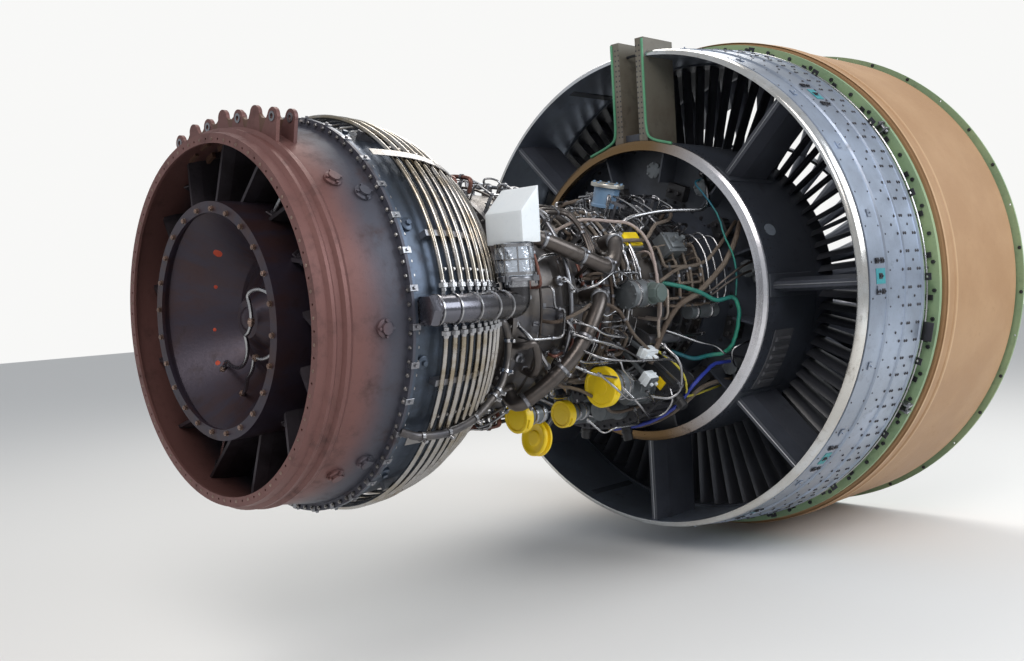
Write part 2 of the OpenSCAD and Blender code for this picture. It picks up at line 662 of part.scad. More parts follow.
// The rear compressor case carries the round bleed manifold
bleed_ring_r = 34;
bleed_ring_x = x_comp_mid - 150;
module rear_compressor_case() color(grey_steel) {
    turned([[x_comp_mid, comp_r(x_comp_mid) - core_t], [x_comp_mid, comp_r(x_comp_mid) + flange_h],
        [x_comp_mid - flange_t, comp_r(x_comp_mid) + flange_h],
        [x_comp_mid - flange_t, comp_r(x_comp_mid)],
        [x_diffuser + flange_t, comp_r(x_diffuser)], [x_diffuser + flange_t,
        comp_r(x_diffuser) + flange_h],
        [x_diffuser, comp_r(x_diffuser) + flange_h], [x_diffuser, comp_r(x_diffuser) - core_t]]);
    translate([bleed_ring_x, 0, 0]) rotate([0, 90, 0]) rotate_extrude($fn = fn)
        translate([comp_r(bleed_ring_x) + bleed_ring_r - 8, 0]) difference() {
            circle(r = bleed_ring_r, $fn = 64);
            circle(r = bleed_ring_r - 4, $fn = 64);
            translate([-2 * bleed_ring_r, -bleed_ring_r]) square([bleed_ring_r + 2, 2 * bleed_ring_r]);
        }
}

stator_per_row = 28;
module compressor_stators() color(titanium) for (i = [0:comp_stage_count - 2]) {
    x = stage_first - (i + 0.5) * stage_pitch;
    r_out = comp_r(x) - core_t - seat - 1;
    ring(x + 13, x - 13, r_out - 6, r_out);
    blade_row(stator_per_row, x, drum_r(x) + tip_gap + 3, r_out - 6 - seat, 22, 2.4, 28);
}

// Levers that turn the movable vanes, lying over the unison rings
lever_bottom_r = unison_in_r + unison_t + seat;
lever_t = 4;
module vane_levers() color(aluminium) for (row = [0:unison_row_count - 1]) for (i = [0:lever_count - 1])
    at(unison_x(row), 0, (i + 0.5) * 360 / lever_count) {
        translate([-lever_len, 0, boss_top_r])
            cylinder(r = 5, h = lever_bottom_r + lever_t - boss_top_r, $fn = 24);
        translate([-lever_len, 0, lever_bottom_r + 0.5]) linear_extrude(lever_t) {
            circle(r = 7, $fn = 24);
            translate([0, -4]) square([lever_len, 8]);
            translate([lever_len, 0]) circle(r = 5.5, $fn = 24);
        }
    }

// Unison rings with a bar that ties them together and a pin for the bell crank
tie_top = unison_in_r + unison_t + 16;
crank_x = unison_x(0) + 6 + crank_arm;
crank_z = tie_top + 4;
crank_t = 8;
crank_pin_r = 5;
crank_slot_r = 5.9;
tie_angle = actuator_angle + atan(crank_arm / crank_z);
module unison_rings() color(aluminium) {
    for (row = [0:unison_row_count - 1])
        ring(unison_x(row) + unison_w / 2, unison_x(row) - unison_w / 2, unison_in_r, unison_in_r + unison_t);
    sector(unison_x(0) + unison_w, unison_x(unison_row_count - 1) - unison_w / 2, unison_in_r + unison_t - 1,
        tie_top, tie_angle, 2.4);
    at(unison_x(0) + 6, 0, actuator_angle) translate([0, -crank_arm, tie_top - 8])
        cylinder(r = crank_pin_r, h = crank_z + crank_t - tie_top + 9, $fn = 32);
}

// Bell crank: turns the stroke of the rod into the turn of the rings, with a slotted end on each arm
module crank_arm_outline() {
    translate([0, -9]) square([crank_arm + 1.5, 18]);
    translate([crank_arm + 1.5, 0]) circle(r = 11, $fn = 48);
}
module bell_crank() color(aluminium) at(crank_x, crank_z, actuator_angle) translate([0, -crank_arm, 0])
    linear_extrude(crank_t) difference() {
        union() {
            circle(r = 13, $fn = 48);
            rotate(90) crank_arm_outline();
            rotate(180) crank_arm_outline();
        }
        circle(r = crank_pin_r + 0.05, $fn = 32);
        for (turn = [90, 180]) rotate(turn) {
            translate([crank_arm, 0]) circle(r = crank_slot_r, $fn = 32);
            translate([crank_arm, -crank_slot_r]) square([3, 2 * crank_slot_r]);
            translate([crank_arm + 3, 0]) circle(r = crank_slot_r, $fn = 32);
        }
    }

// Actuator: body on two feet, and the pivot post of the bell crank
actuator_front = crank_x - 198;
foot_xs = [actuator_front - 30, actuator_front - actuator_body_len + 40];
module actuator_body() color(aluminium) {
    difference() {
        union() {
            at(0, actuator_r, actuator_angle) {
                axial_rod(actuator_front, actuator_front - actuator_body_len, actuator_body_r);
                axial_rod(actuator_front, actuator_front - 18, actuator_body_r + 6);
                axial_rod(actuator_front - actuator_body_len + 18, actuator_front - actuator_body_len,
                    actuator_body_r + 5);
            }
            for (x = foot_xs) at(x, 0, actuator_angle) translate([-9, -16, comp_r(x + 9) + seat])
                cube([18, 32, actuator_r - comp_r(x + 9)]);
        }
        at(0, actuator_r, actuator_angle)
            axial_rod(actuator_front + cut, actuator_front - actuator_body_len + 24, actuator_rod_r + 0.05);
    }
    at(crank_x, 0, actuator_angle) translate([0, -crank_arm, comp_r(crank_x) - 1]) {
        cylinder(r = 12, h = crank_z - seat - comp_r(crank_x) + 1, $fn = 48);
        cylinder(r = crank_pin_r, h = crank_z + crank_t + 2 - comp_r(crank_x), $fn = 32);
    }
}

module actuator_rod() color([0.75, 0.76, 0.78]) at(0, actuator_r, actuator_angle) {
    axial_rod(crank_x, actuator_front - 110, actuator_rod_r);
    axial_rod(crank_x + 12, crank_x - 12, actuator_rod_r + 3);
    translate([crank_x, 0, crank_z - 1 - actuator_r])
        cylinder(r = crank_pin_r, h = actuator_r - crank_z + 1, $fn = 32);
}

// Diffuser and combustor case, with its bosses and the fuel nozzles
nozzle_count = 20;
nozzle_x = x_diffuser - 118;
// Profile of the diffuser case as shares of its length and its rise
diffuser_shape = [[0.00, 0.00], [0.10, 0.10], [0.24, 0.62], [0.34, 0.90], [0.46, 1.00], [0.86, 1.00],
    [0.94, 0.93], [1.00, 0.86]];
diffuser_front_r = comp_r(x_diffuser);
function diffuser_profile(offset) = [for (p = diffuser_shape)
    [x_diffuser - p[0] * diffuser_len, diffuser_front_r + p[1] * (diffuser_r - diffuser_front_r) + offset]];
function backwards(list) = [for (i = [len(list) - 1:-1:0]) list[i]];
boss_seat_r = diffuser_r + 12;
module diffuser_case() color(dark_steel) {
    turned(concat(diffuser_profile(0), backwards(diffuser_profile(-core_t))));
    ring(x_diffuser, x_diffuser - flange_t, diffuser_front_r - core_t, diffuser_front_r + flange_h);
    ring(x_hpt + flange_t, x_hpt, diffuser_front_r + 0.86 * (diffuser_r - diffuser_front_r) - core_t,
        diffuser_r + flange_h - 6);
    for (i = [0:nozzle_count - 1]) at(nozzle_x - 70, 0, (i + 0.5) * 360 / nozzle_count)
        translate([0, 0, diffuser_r - 6]) cylinder(r = 22, h = boss_seat_r - diffuser_r + 6, $fn = 40);
}

module fuel_nozzles() color(aluminium) for (i = [0:nozzle_count - 1])
    at(nozzle_x - 70, boss_seat_r, (i + 0.5) * 360 / nozzle_count) {
        cylinder(r = 20, h = 8, $fn = 40);
        cylinder(r = 11, h = 34, $fn = 32);
        translate([0, 0, 26]) rotate([0, 90, 0]) cylinder(r = 7, h = 24, $fn = 24);
    }

manifold_r = boss_seat_r + 26;
manifold_x = nozzle_x - 70 + 24 + 9 + seat;
module fuel_manifold() color(aluminium)
    translate([manifold_x, 0, 0]) rotate([0, 90, 0]) rotate_extrude($fn = fn)
        translate([manifold_r, 0]) circle(r = 9, $fn = 32);

// Combustor: an annular can with a domed front
liner_in_r = 250;
module combustor_liner() color(heat_tint) {
    front = x_diffuser - 110;
    back = x_hpt + 20;
    turned([[front, 330], [front - 30, diffuser_r - 70], [front - 60, diffuser_r - 50],
        [back, diffuser_r - 56],
        [back, diffuser_r - 60], [front - 58, diffuser_r - 55], [front - 32, diffuser_r - 76],
        [front - 8, 330],
        [front - 32, liner_in_r + 26], [front - 60, liner_in_r + 8], [back, liner_in_r + 40],
        [back, liner_in_r + 36], [front - 60, liner_in_r + 4], [front - 30, liner_in_r + 20]]);
    // Ring that hangs the can in its case
    turned([[back + 56, diffuser_r - 57], [back + 56, diffuser_r - core_t - seat],
        [back + 48, diffuser_r - core_t - seat], [back + 48, diffuser_r - 57]]);
}

// High pressure turbine case
module hpt_case() color(dark_steel) turned([[x_hpt, hpt_case_r - core_t],
    [x_hpt, diffuser_r + flange_h - 6],
    [x_hpt - flange_t, diffuser_r + flange_h - 6], [x_hpt - flange_t, hpt_case_r],
    [x_lpt + flange_t, hpt_case_r], [x_lpt + flange_t, hpt_case_r + flange_h],
    [x_lpt, hpt_case_r + flange_h], [x_lpt, hpt_case_r - core_t]]);

// Low pressure turbine case: steep at the front and nearly straight at the back
lpt_front_r = hpt_case_r - 3;
lpt_steps = 10;
function lpt_curve(i) = lpt_front_r + (lpt_back_r - lpt_front_r) * (1 - pow(1 - i / lpt_steps, 3));
// Outer radius of the turbine case at a station
function lpt_r(x) = let (u = (x_lpt - x) / lpt_case_len * lpt_steps, i = max(0, min(floor(u), lpt_steps - 1)))
    lpt_curve(i) + (u - i) * (lpt_curve(i + 1) - lpt_curve(i));
lpt_stations = [for (i = [0:lpt_steps]) x_lpt - i * lpt_case_len / lpt_steps];
module lpt_case() color(blue_steel) {
    turned(concat([for (x = lpt_stations) [x, lpt_r(x)]], [for (x = backwards(lpt_stations)) [x,
        lpt_r(x) - core_t]]));
    ring(x_lpt, x_lpt - flange_t, lpt_front_r - core_t, lpt_front_r + flange_h);
    ring(x_exhaust + flange_t, x_exhaust, lpt_back_r - core_t, lpt_flange_r);
}

// Cooling tubes round the turbine case, and the straps that carry them
tube_first = x_lpt - 140;
tube_last = x_exhaust + 118;
function tube_x(i) = tube_first + (tube_last - tube_first) * i / (tube_count - 1);
function tube_line_r(x) = lpt_r(x) + strap_h + 2 * seat + tube_r + 4;
module cooling_tubes() color([0.66, 0.60, 0.45]) for (i = [0:tube_count - 1])
    rotate([90 - manifold_half_angle, 0, 0]) translate([tube_x(i), 0, 0]) rotate([0, 90, 0])
        rotate([0, 0, 180])
        rotate_extrude(angle = -360 + 2 * manifold_half_angle, $fn = fn)
            translate([tube_line_r(tube_x(i)), 0]) circle(r = tube_r, $fn = 32);

strap_w = 22;
strap_first = 39.5;
strap_stations = concat([tube_first + 24], [for (x = lpt_stations) if (x < tube_first + 24 && x > tube_last - 24) x],
    [tube_last - 24]);
module tube_straps() color(aluminium) for (s = [0:strap_count - 1])
    rotate([strap_first + s * 360 / strap_count - 90, 0, 0]) rotate([90, 0, 0])
        translate([0, 0, -strap_w / 2])
        linear_extrude(strap_w) difference() {
            polygon(concat([for (x = strap_stations) [x, lpt_r(x) + seat]],
                [for (x = backwards(strap_stations)) [x, lpt_r(x) + seat + strap_h + 10]]));
            for (i = [0:tube_count - 1]) translate([tube_x(i), tube_line_r(tube_x(i))])
                circle(r = tube_r + seat, $fn = 32);
        }

// Manifold at 3 o'clock that feeds the tubes: a flat box that narrows to a round duct
box_r = lpt_back_r + 12;
box_t = 66;
feed_start = [x_exhaust + 190, -(box_r + 33), 0];
elbow = [-3110, -703, 0];
feed_r = 50;
elbow_h = 60;
module cooling_manifold() color(aluminium) {
    rotate([90, 0, 0]) translate([0, 0, box_r]) linear_extrude(box_t)
        polygon([[x_exhaust + 14, -34], [x_exhaust + 14, 34], [x_exhaust + 50, 52], [x_exhaust + 210, 52],
            [x_exhaust + 230, 44], [x_exhaust + 230, -44], [x_exhaust + 210, -52], [x_exhaust + 50, -52]]);
    translate([x_exhaust + 44, -box_r - 2, -20]) cube([20, box_r + 2 - lpt_back_r - seat, 40]);
    translate(feed_start) rotate([0, 0, atan2(elbow[1] - feed_start[1], elbow[0] - feed_start[0])])
        rotate([0, 90, 0])
        cylinder(r = feed_r, h = norm(elbow - feed_start), $fn = 64);
    translate(elbow) sphere(r = feed_r + 1.5, $fn = 64);
    translate(elbow) cylinder(r = feed_r, h = elbow_h, $fn = 64);
}

// Foil covered duct that stands over the elbow, with a clamp at its foot
wrap_duct_r = 72;
wrap_duct_top = 217;
module wrapped_duct() color([0.70, 0.72, 0.74]) translate(elbow) difference() {
    union() {
        translate([0, 0, elbow_h + seat]) cylinder(r = 50, h = 40, $fn = 64);
        translate([0, 0, 84]) cylinder(r = 62, h = 16, $fn = 64);
        translate([0, 0, 98]) cylinder(r = wrap_duct_r, h = wrap_duct_top - 98, $fn = 64);
    }
    translate([0, 0, elbow_h - cut]) cylinder(r = 42, h = 50, $fn = 64);
    translate([0, 0, 104]) cylinder(r = wrap_duct_r - 5, h = wrap_duct_top, $fn = 64);
}

// Cover over the open end of the duct, with a sloping roof
module cover_form(wall) rotate([90, 0, 0]) translate([0, 0, wall - 95]) linear_extrude(190 - 2 * wall)
    polygon([[wall - 47, wall - 4], [47 - wall, wall - 4], [47 - wall, 202 - wall], [wall - 47, 112 - wall]]);
module duct_cover() color([0.88, 0.88, 0.86]) translate([elbow[0], elbow[1], wrap_duct_top + seat + 4])
    difference() {
    cover_form(0);
    translate([0, 0, -5]) cover_form(4);
}

// Exhaust frame: outer ring with two ribs and the rear mount lugs on top
lug_x = x_exhaust - 229;
lug_t = 14;
lug_gap = 70;
lug_step = 8.6;
lug_reach = [722, 714, 736, 754];
lug_hole_r = 9;
lug_r = 30;
exhaust_front_r = lpt_back_r - 4;
function exhaust_r(x) = exhaust_front_r + (exhaust_back_r - exhaust_front_r) * (x_exhaust - x)
    / exhaust_frame_len;
ridge_1 = x_end + 50;
ridge_2 = x_end + 100;
ridge_h = 12;
flange_hole_r = 4.5;
exhaust_hole_count = 48;
exhaust_pcr = exhaust_back_r - 20;
module lug_plate(x) translate([x - lug_t / 2, 0, 0]) rotate([0, 90, 0]) rotate([0, 0, 180])
    linear_extrude(lug_t) difference() {
        union() for (k = [-3:3]) {
            rotate(k * lug_step) translate([lug_reach[abs(k)], 0]) circle(r = lug_r, $fn = 48);
            rotate(k * lug_step) polygon([[640, -58], [lug_reach[abs(k)], -lug_r],
                [lug_reach[abs(k)], lug_r], [640, 58]]);
        }
        circle(r = exhaust_r(x) - 6, $fn = fn);
        for (k = [-3:2:3]) rotate(k * lug_step) translate([lug_reach[abs(k)], 0])
            circle(r = lug_hole_r, $fn = 32);
    }
module exhaust_frame() color(heat_tint) {
    turned([[x_exhaust, exhaust_front_r - core_t], [x_exhaust, lpt_flange_r],
        [x_exhaust - flange_t, lpt_flange_r],
        [x_exhaust - flange_t, exhaust_front_r], [ridge_2 + 22, exhaust_r(ridge_2 + 22)],
        [ridge_2 + 7, exhaust_r(ridge_2) + ridge_h], [ridge_2 - 7, exhaust_r(ridge_2) + ridge_h],
        [ridge_2 - 16, exhaust_r(ridge_2 - 16)], [ridge_1 + 16, exhaust_r(ridge_1 + 16)],
        [ridge_1 + 6, exhaust_r(ridge_1) + ridge_h], [ridge_1 - 6, exhaust_r(ridge_1) + ridge_h],
        [ridge_1 - 16, exhaust_r(ridge_1 - 16)], [x_end, exhaust_back_r], [x_end, exhaust_back_r - core_t]]);
    lug_plate(lug_x);
    lug_plate(lug_x + lug_gap);
    difference() {
        ring(x_end + 10, x_end, exhaust_pcr - 14, exhaust_back_r - 1);
        for (i = [0:exhaust_hole_count - 1])
            at(x_end - cut, exhaust_pcr, (i + 0.5) * 360 / exhaust_hole_count)
            rotate([0, 90, 0]) cylinder(r = flange_hole_r, h = 20, $fn = 24);
    }
}

exhaust_strut_count = 14;
hub_ring_t = 14;
module exhaust_struts() color(dark_steel) intersection() {
    for (i = [0:exhaust_strut_count - 1]) rotate([i * 360 / exhaust_strut_count, 0, 0])
        translate([x_exhaust - 60, 150, 300]) rotate([22, 0, 0]) linear_extrude(480) strut_outline(170, 26);
    turned([[x_exhaust - 30, exhaust_hub_r + 1], [x_exhaust - 30, exhaust_r(x_exhaust - 30) - core_t - seat],
        [x_end + 40, exhaust_r(x_end + 40) - core_t - seat], [x_end + 40, exhaust_hub_r + 1]]);
}

plug_hole_count = 24;
plug_pcr = exhaust_hub_r - 26;
dish_depth = 250;
module exhaust_hub() color(dark_steel) difference() {
    union() {
        ring(x_exhaust - 20, x_end, exhaust_hub_r - hub_ring_t, exhaust_hub_r);
        ring(x_end + 12, x_end, plug_pcr - 14, exhaust_hub_r - 1);
        // Dished wall down to the bearing
        turned([[x_end + 40, exhaust_hub_r - 4], [x_end + 40, exhaust_hub_r - hub_ring_t - 4],
            [x_end + dish_depth, 236], [x_end + dish_depth, rear_seat_r + 56],
            [rear_bearing_x - race_w / 2, ball_line(rear_seat_r) + ball_r + 8 + seat],
            [rear_bearing_x + race_w / 2, ball_line(rear_seat_r) + ball_r + 8 + seat],
            [rear_bearing_x + race_w / 2, rear_seat_r + 60],
            [x_end + dish_depth + 12, rear_seat_r + 70], [x_end + dish_depth + 12, 242]]);
    }
    for (i = [0:plug_hole_count - 1]) at(x_end - cut, plug_pcr, (i + 0.5) * 360 / plug_hole_count)
        rotate([0, 90, 0]) cylinder(r = flange_hole_r, h = 20, $fn = 24);
}

// Inner cone with the vent of the bearing sump
module exhaust_cone() color(blue_steel)
    turned([[x_end + dish_depth - seat, 210], [x_end + dish_depth - 60, 120], [x_end + dish_depth - 110, 70],
        [x_end + dish_depth - 112, 44], [x_end + dish_depth - 104, 40], [x_end + dish_depth - 62, 108],
        [x_end + dish_depth - seat, 200]]);

// Two bent oil tubes on the dished wall
oil_tube_r = 7;
function dish_r(x) = 236 + (exhaust_hub_r - hub_ring_t - 4 - 236) * (x_end + dish_depth - x)
    / (dish_depth - 40);
module oil_tubes() color([0.75, 0.76, 0.78]) {
    swept(rounded([place(x_end + 150, dish_r(x_end + 150) - oil_tube_r - 3, 100),
        place(x_end + 60, dish_r(x_end + 60) - 22, 98),
        place(x_end + 60, 300, 122), place(x_end + 150, 250, 138)], 24), oil_tube_r);
    swept(rounded([place(x_end + 120, dish_r(x_end + 120) - oil_tube_r - 3, 116),
        place(x_end + 50, dish_r(x_end + 50) - 26, 118),
        place(x_end + 60, 318, 140), place(x_end + 150, 262, 150)], 24), oil_tube_r);
}

// Bleed pipes on the left side of the combustor
bleed_pipe_r = 32;
pipe_r = 556;
module bleed_pipes() color(dark_steel) {
    swept(rounded([place(-2800, diffuser_r + 1.4, 62), place(-2800, pipe_r, 62), place(-2378, pipe_r, 79),
        place(bleed_ring_x, 520, 60), place(bleed_ring_x, comp_r(bleed_ring_x) + 2 * bleed_ring_r - 7, 60)],
        34),
        bleed_pipe_r, 12);
    swept(rounded([place(-2400, comp_r(-2368) + 1.6, 88), place(-2400, 500, 88), place(-2589, pipe_r, 113),
        place(-2810, pipe_r, 140), place(-2810, diffuser_r + 1.4, 140)], 34), bleed_pipe_r, 12);
}

// A unit at a station, a radius and a place, on a post down to the case
module on_post(x, r_case, r_unit, angle) at(x, 0, angle) {
    translate([0, 0, r_case + seat]) cylinder(r = 11, h = r_unit - r_case, $fn = 32);
    translate([0, 0, r_unit]) children();
}

// Ports of air ducts that look back along the engine: station, radius, place, radius of the port,
// foot of the post and its distance ahead of the port
ports = [[-2298, 550, 136.4, 66, comp_r(-2187), 100],
    [-2338, 550, 161.6, 38, comp_r(bleed_ring_x) + 2 * bleed_ring_r - 7, 78],
    [-2718, 556, 150.3, 38, diffuser_r, 30]];
module core_accessories() color(grey_steel) {
    for (p = ports) on_post(p[0] + p[5], p[4], p[1], p[2]) axial_rod(140 - p[5], -p[5], p[3]);
    // Canister on the split line, and the valve ahead of it
    on_post(-2080, 398, 466, 90) axial_rod(40, -130, 60);
    on_post(-1600, comp_r(-1600) + 1, 472, 102.5) axial_rod(55, -160, 33);
    // Control box, stub of the bleed duct and connector boxes
    on_post(-1845, comp_r(-1845), 436, 60) translate([-30, -75, 0]) cube([120, 100, 58]);
    on_post(-1945, comp_r(-1945), 434, 14.5) translate([46, 0, 0]) {
        cylinder(r = 60, h = 100, $fn = 64);
        translate([0, 0, 96]) cylinder(r = 75, h = 14, $fn = 64);
    }
    on_post(-2060, comp_r(-2060), 500, 121) translate([-30, -25, 0]) cube([60, 50, 50]);
    on_post(-2050, comp_r(-2050), 560, 131) translate([-25, -25, 0]) cube([50, 50, 60]);
    on_post(-2520, 404, 600, 161.6) cylinder(r = 30, h = 50, $fn = 48);
    on_post(-2045, comp_r(-2045), 420, 56) translate([-60, -50, 0]) cube([130, 90, 26]);
}

module blanking_caps() color(yellow_cap) {
    for (p = ports) at(0, p[1], p[2]) difference() {
        axial_rod(p[0] + 8, p[0] - 14, p[3] + 10);
        axial_rod(p[0] + 9, p[0] - seat, p[3] + seat);
    }
    at(x_gearbox_end, 600, 134) translate([-10, -22, -22]) cube([10, 44, 44]);
    at(-2045, 446 + seat, 56) translate([-50, -40, 0]) cube([110, 70, 10]);
}

// Accessory gearbox: a curved housing under the compressor with a train of spur gears inside
x_gearbox = -gearbox_front;
x_gearbox_end = x_gearbox - gearbox_len;
big_pitch_r = gear_module * big_teeth / 2;
small_pitch_r = gear_module * small_teeth / 2;
gear_step = 2 * asin((big_pitch_r + small_pitch_r) / 2 / gear_arc_r);
gear_x = x_gearbox - gearbox_len / 2 + gear_w / 2;
module gearbox_housing() color(dark_steel) difference() {
    sector(x_gearbox, x_gearbox_end, gear_arc_r - gearbox_half_h, gear_arc_r + gearbox_half_h, gearbox_angle,
        2 * gearbox_spread);
    sector(x_gearbox - gearbox_t, x_gearbox_end + gearbox_t, gear_arc_r - gearbox_half_h + gearbox_t,
        gear_arc_r + gearbox_half_h - gearbox_t, gearbox_angle, 2 * gearbox_spread - 2);
    for (i = [0:3]) at(0, gear_arc_r, 180 - i * gear_step)
        axial_rod(x_gearbox - gearbox_t + 6, x_gearbox_end + gearbox_t - 6, gear_shaft_r + 0.05);
}

module gearbox_units() color(grey_steel) {
    for (i = [0, 2, 4]) at(x_gearbox_end, gear_arc_r, 180 - i * gear_step) rotate([0, -90, 0]) {
        cylinder(r = 60, h = 20, $fn = 64);
        cylinder(r = 48, h = 150, $fn = 64);
    }
    // Tube round the drive shaft that comes out of the fan frame
    at(0, gear_arc_r, 180) axial_rod(x_bulkhead - 12 - seat, x_gearbox + seat, drive_tube_r);
}

// Gear outline with trapezoid teeth
module gear_outline(teeth) {
    pitch_r = gear_module * teeth / 2;
    half = 360 / teeth / 4;
    polygon([for (t = [0:teeth - 1]) let (a = t * 360 / teeth) each [
        (pitch_r - 1.25 * gear_module) * [cos(a - 1.5 * half), sin(a - 1.5 * half)],
        pitch_r * [cos(a - 0.85 * half), sin(a - 0.85 * half)],
        (pitch_r + gear_module) * [cos(a - 0.35 * half), sin(a - 0.35 * half)],
        (pitch_r + gear_module) * [cos(a + 0.35 * half), sin(a + 0.35 * half)],
        pitch_r * [cos(a + 0.85 * half), sin(a + 0.85 * half)],
        (pitch_r - 1.25 * gear_module) * [cos(a + 1.5 * half), sin(a + 1.5 * half)]]]);
}

// Turn of gear i that puts a gap where the last gear has a tooth
function teeth(i) = i % 2 == 0 ? big_teeth : small_teeth;
function ahead(p, z) = let (d = (90 + gear_step / 2 - p) * z / 360) (round(d) - d) * 360 / z;
function phase(i) = i == 0 ? 90 + gear_step / 2 : 270 - gear_step / 2
    - ahead(phase(i - 1), teeth(i - 1)) * teeth(i - 1) / teeth(i) + 180 / teeth(i);
module gear_at(i) color(titanium) at(gear_x, gear_arc_r, 180 - i * gear_step) rotate([0, -90, 0]) {
    linear_extrude(gear_w) rotate(phase(i)) gear_outline(teeth(i));
    translate([0, 0, gear_x - x_gearbox + 5]) cylinder(r = gear_shaft_r, h = gearbox_len - 10, $fn = 48);
}
module drive_gear() gear_at(0);
module idler_gear() gear_at(1);
module pump_gear() gear_at(2);
module starter_gear() gear_at(3);

// Rotors
module spinner() color(titanium)
    turned([[-fan_front + spinner_len, 0], [-fan_front + spinner_len - 6, spinner_tip_r - 12],
        [-fan_front + spinner_len - 22, spinner_tip_r + 4],
        [-fan_front + seat, fan_hub_r - 8], [-fan_front + seat, fan_hub_r - 8 - spinner_t - 30],
        [-fan_front + 6, fan_hub_r - 40],
        [-fan_front + spinner_len - 30, spinner_tip_r - 14], [-fan_front + spinner_len - 12, 0]]);

slot_pitch = 360 / fan_blade_count;
slot_floor_r = fan_hub_r - 14 - dovetail_h;
module dovetail_outline(play) polygon([[-dovetail_foot / 2 - play, -play], [dovetail_foot / 2 + play, -play],
    [dovetail_foot / 2 + play, 8], [dovetail_neck / 2 + play, dovetail_h * 0.6],
    [dovetail_neck / 2 + play, dovetail_h + 20],
    [-dovetail_neck / 2 - play, dovetail_h + 20], [-dovetail_neck / 2 - play, dovetail_h * 0.6],
    [-dovetail_foot / 2 - play, 8]]);
module dovetail(play, len) rotate([90, 0, -90]) linear_extrude(len) dovetail_outline(play);
disk_bore_r = 130;
module fan_disk() color(titanium) difference() {
    turned([[-fan_front, slot_floor_r - 60], [-fan_front, fan_hub_r - 16],
        [-fan_front - fan_disk_len, fan_hub_r - 16],
        [-fan_front - fan_disk_len, slot_floor_r - 50], [-fan_front - fan_disk_len + 60, slot_floor_r - 60],
        [-fan_front - 130, disk_bore_r + 60], [-fan_front - 170, disk_bore_r + 30],
        [-fan_front - 170, disk_bore_r],
        [-fan_front - 50, disk_bore_r], [-fan_front - 50, disk_bore_r + 30],
        [-fan_front - 90, disk_bore_r + 60],
        [-fan_front - 60, slot_floor_r - 70]]);
    for (i = [0:fan_blade_count - 1])
        at(-fan_front + cut, slot_floor_r, i * slot_pitch) dovetail(dovetail_play, fan_disk_len + 2 * cut);
}

// Stations of a fan blade: share of the height, chord, thickness, camber and stagger
blade_stations = [[0.0, 196, 20, 22, 8], [0.25, 206, 14, 17, 25], [0.5, 224, 10, 12, 40],
    [0.75, 246, 8, 8, 52], [1.0, 262, 6, 5, 61]];
blade_side_points = 5;
// One side of an aerofoil: chordwise points from nose to tail
function foil(chord, thick, camber) = concat(
    [for (k = [0:blade_side_points]) let (t = k / blade_side_points, bow = 4 * t * (1 - t))
        [(0.5 - t) * chord, camber * (bow - 0.5) + thick / 2 * sqrt(bow)]],
    [for (k = [blade_side_points - 1:-1:1]) let (t = k / blade_side_points, bow = 4 * t * (1 - t))
        [(0.5 - t) * chord, camber * (bow - 0.5) - thick / 2 * sqrt(bow)]]);
module aerofoil_blade(root_r, tip_r) {
    rings = [for (s = blade_stations) let (z = root_r + s[0] * (tip_r - root_r),
        shape = foil(s[1], s[2], s[3]))
        [for (p = shape) [p[0] * cos(s[4]) - p[1] * sin(s[4]), p[0] * sin(s[4]) + p[1] * cos(s[4]), z]]];
    n = len(rings[0]);
    last = len(rings) - 1;
    polyhedron([for (r = rings) each r], concat(
        [for (i = [0:last - 1]) for (k = [0:n - 1]) let (a = i * n + k, b = i * n + (k + 1) % n)
            each [[a, a + n, b], [b, a + n, b + n]]],
        [[for (k = [0:n - 1]) k]], [[for (k = [n - 1:-1:0]) last * n + k]]), convexity = 4);
}

blade_axis_x = -fan_front - fan_disk_len / 2;
// The corners of the flat tip lie further out than its middle by about this much
tip_drop = 7;
module fan_blade() {
    translate([blade_axis_x, 0, 0]) aerofoil_blade(fan_hub_r - 8, fan_tip_r - tip_drop);
    sector(blade_axis_x + 36, blade_axis_x - 36, damper_r - damper_t / 2, damper_r + damper_t / 2, 0,
        slot_pitch - damper_gap);
    sector(-fan_front, -fan_front - fan_disk_len, fan_hub_r - 15, fan_hub_r - 4, 0, slot_pitch - damper_gap);
    translate([-fan_front, 0, slot_floor_r]) difference() {
        dovetail(0, fan_disk_len);
        translate([-fan_disk_len - cut, -40, dovetail_h + 8]) cube([fan_disk_len + 2 * cut, 80, 40]);
    }
}
module fan_blades() color(titanium) for (i = [0:fan_blade_count - 1]) rotate([i * slot_pitch, 0, 0])
    fan_blade();

// Booster: three rows of short blades on a drum behind the fan
booster_rows = 3;
booster_drum_r = 484;
booster_first = splitter_x - 60;
booster_pitch = 110;
booster_count = 36;
// Radius of the booster's outer wall at a station
function booster_r(x) = booster_wall_r + (splitter_r - 7 - booster_wall_r) * (x - x_frame)
    / (splitter_x - 14 - x_frame);
module booster_rotor() color(titanium) {
    turned([[-fan_front - fan_disk_len - seat, slot_floor_r - 4],
        [-fan_front - fan_disk_len - seat, slot_floor_r - 44],
        [-fan_front - fan_disk_len - 14, slot_floor_r - 44], [-fan_front - fan_disk_len - 20,
        slot_floor_r - 14],
        [booster_first + 20, booster_drum_r - 12], [x_frame + 30, booster_drum_r - 12],
        [x_frame + 30, booster_drum_r],
        [booster_first + 30, booster_drum_r], [-fan_front - fan_disk_len - 14, slot_floor_r - 4]]);
    for (row = [0:booster_rows - 1]) let (x = booster_first - row * booster_pitch)
        blade_row(booster_count, x, booster_drum_r + vane_end_gap, booster_r(x - 26) - tip_gap, 46, 4, 38);
}

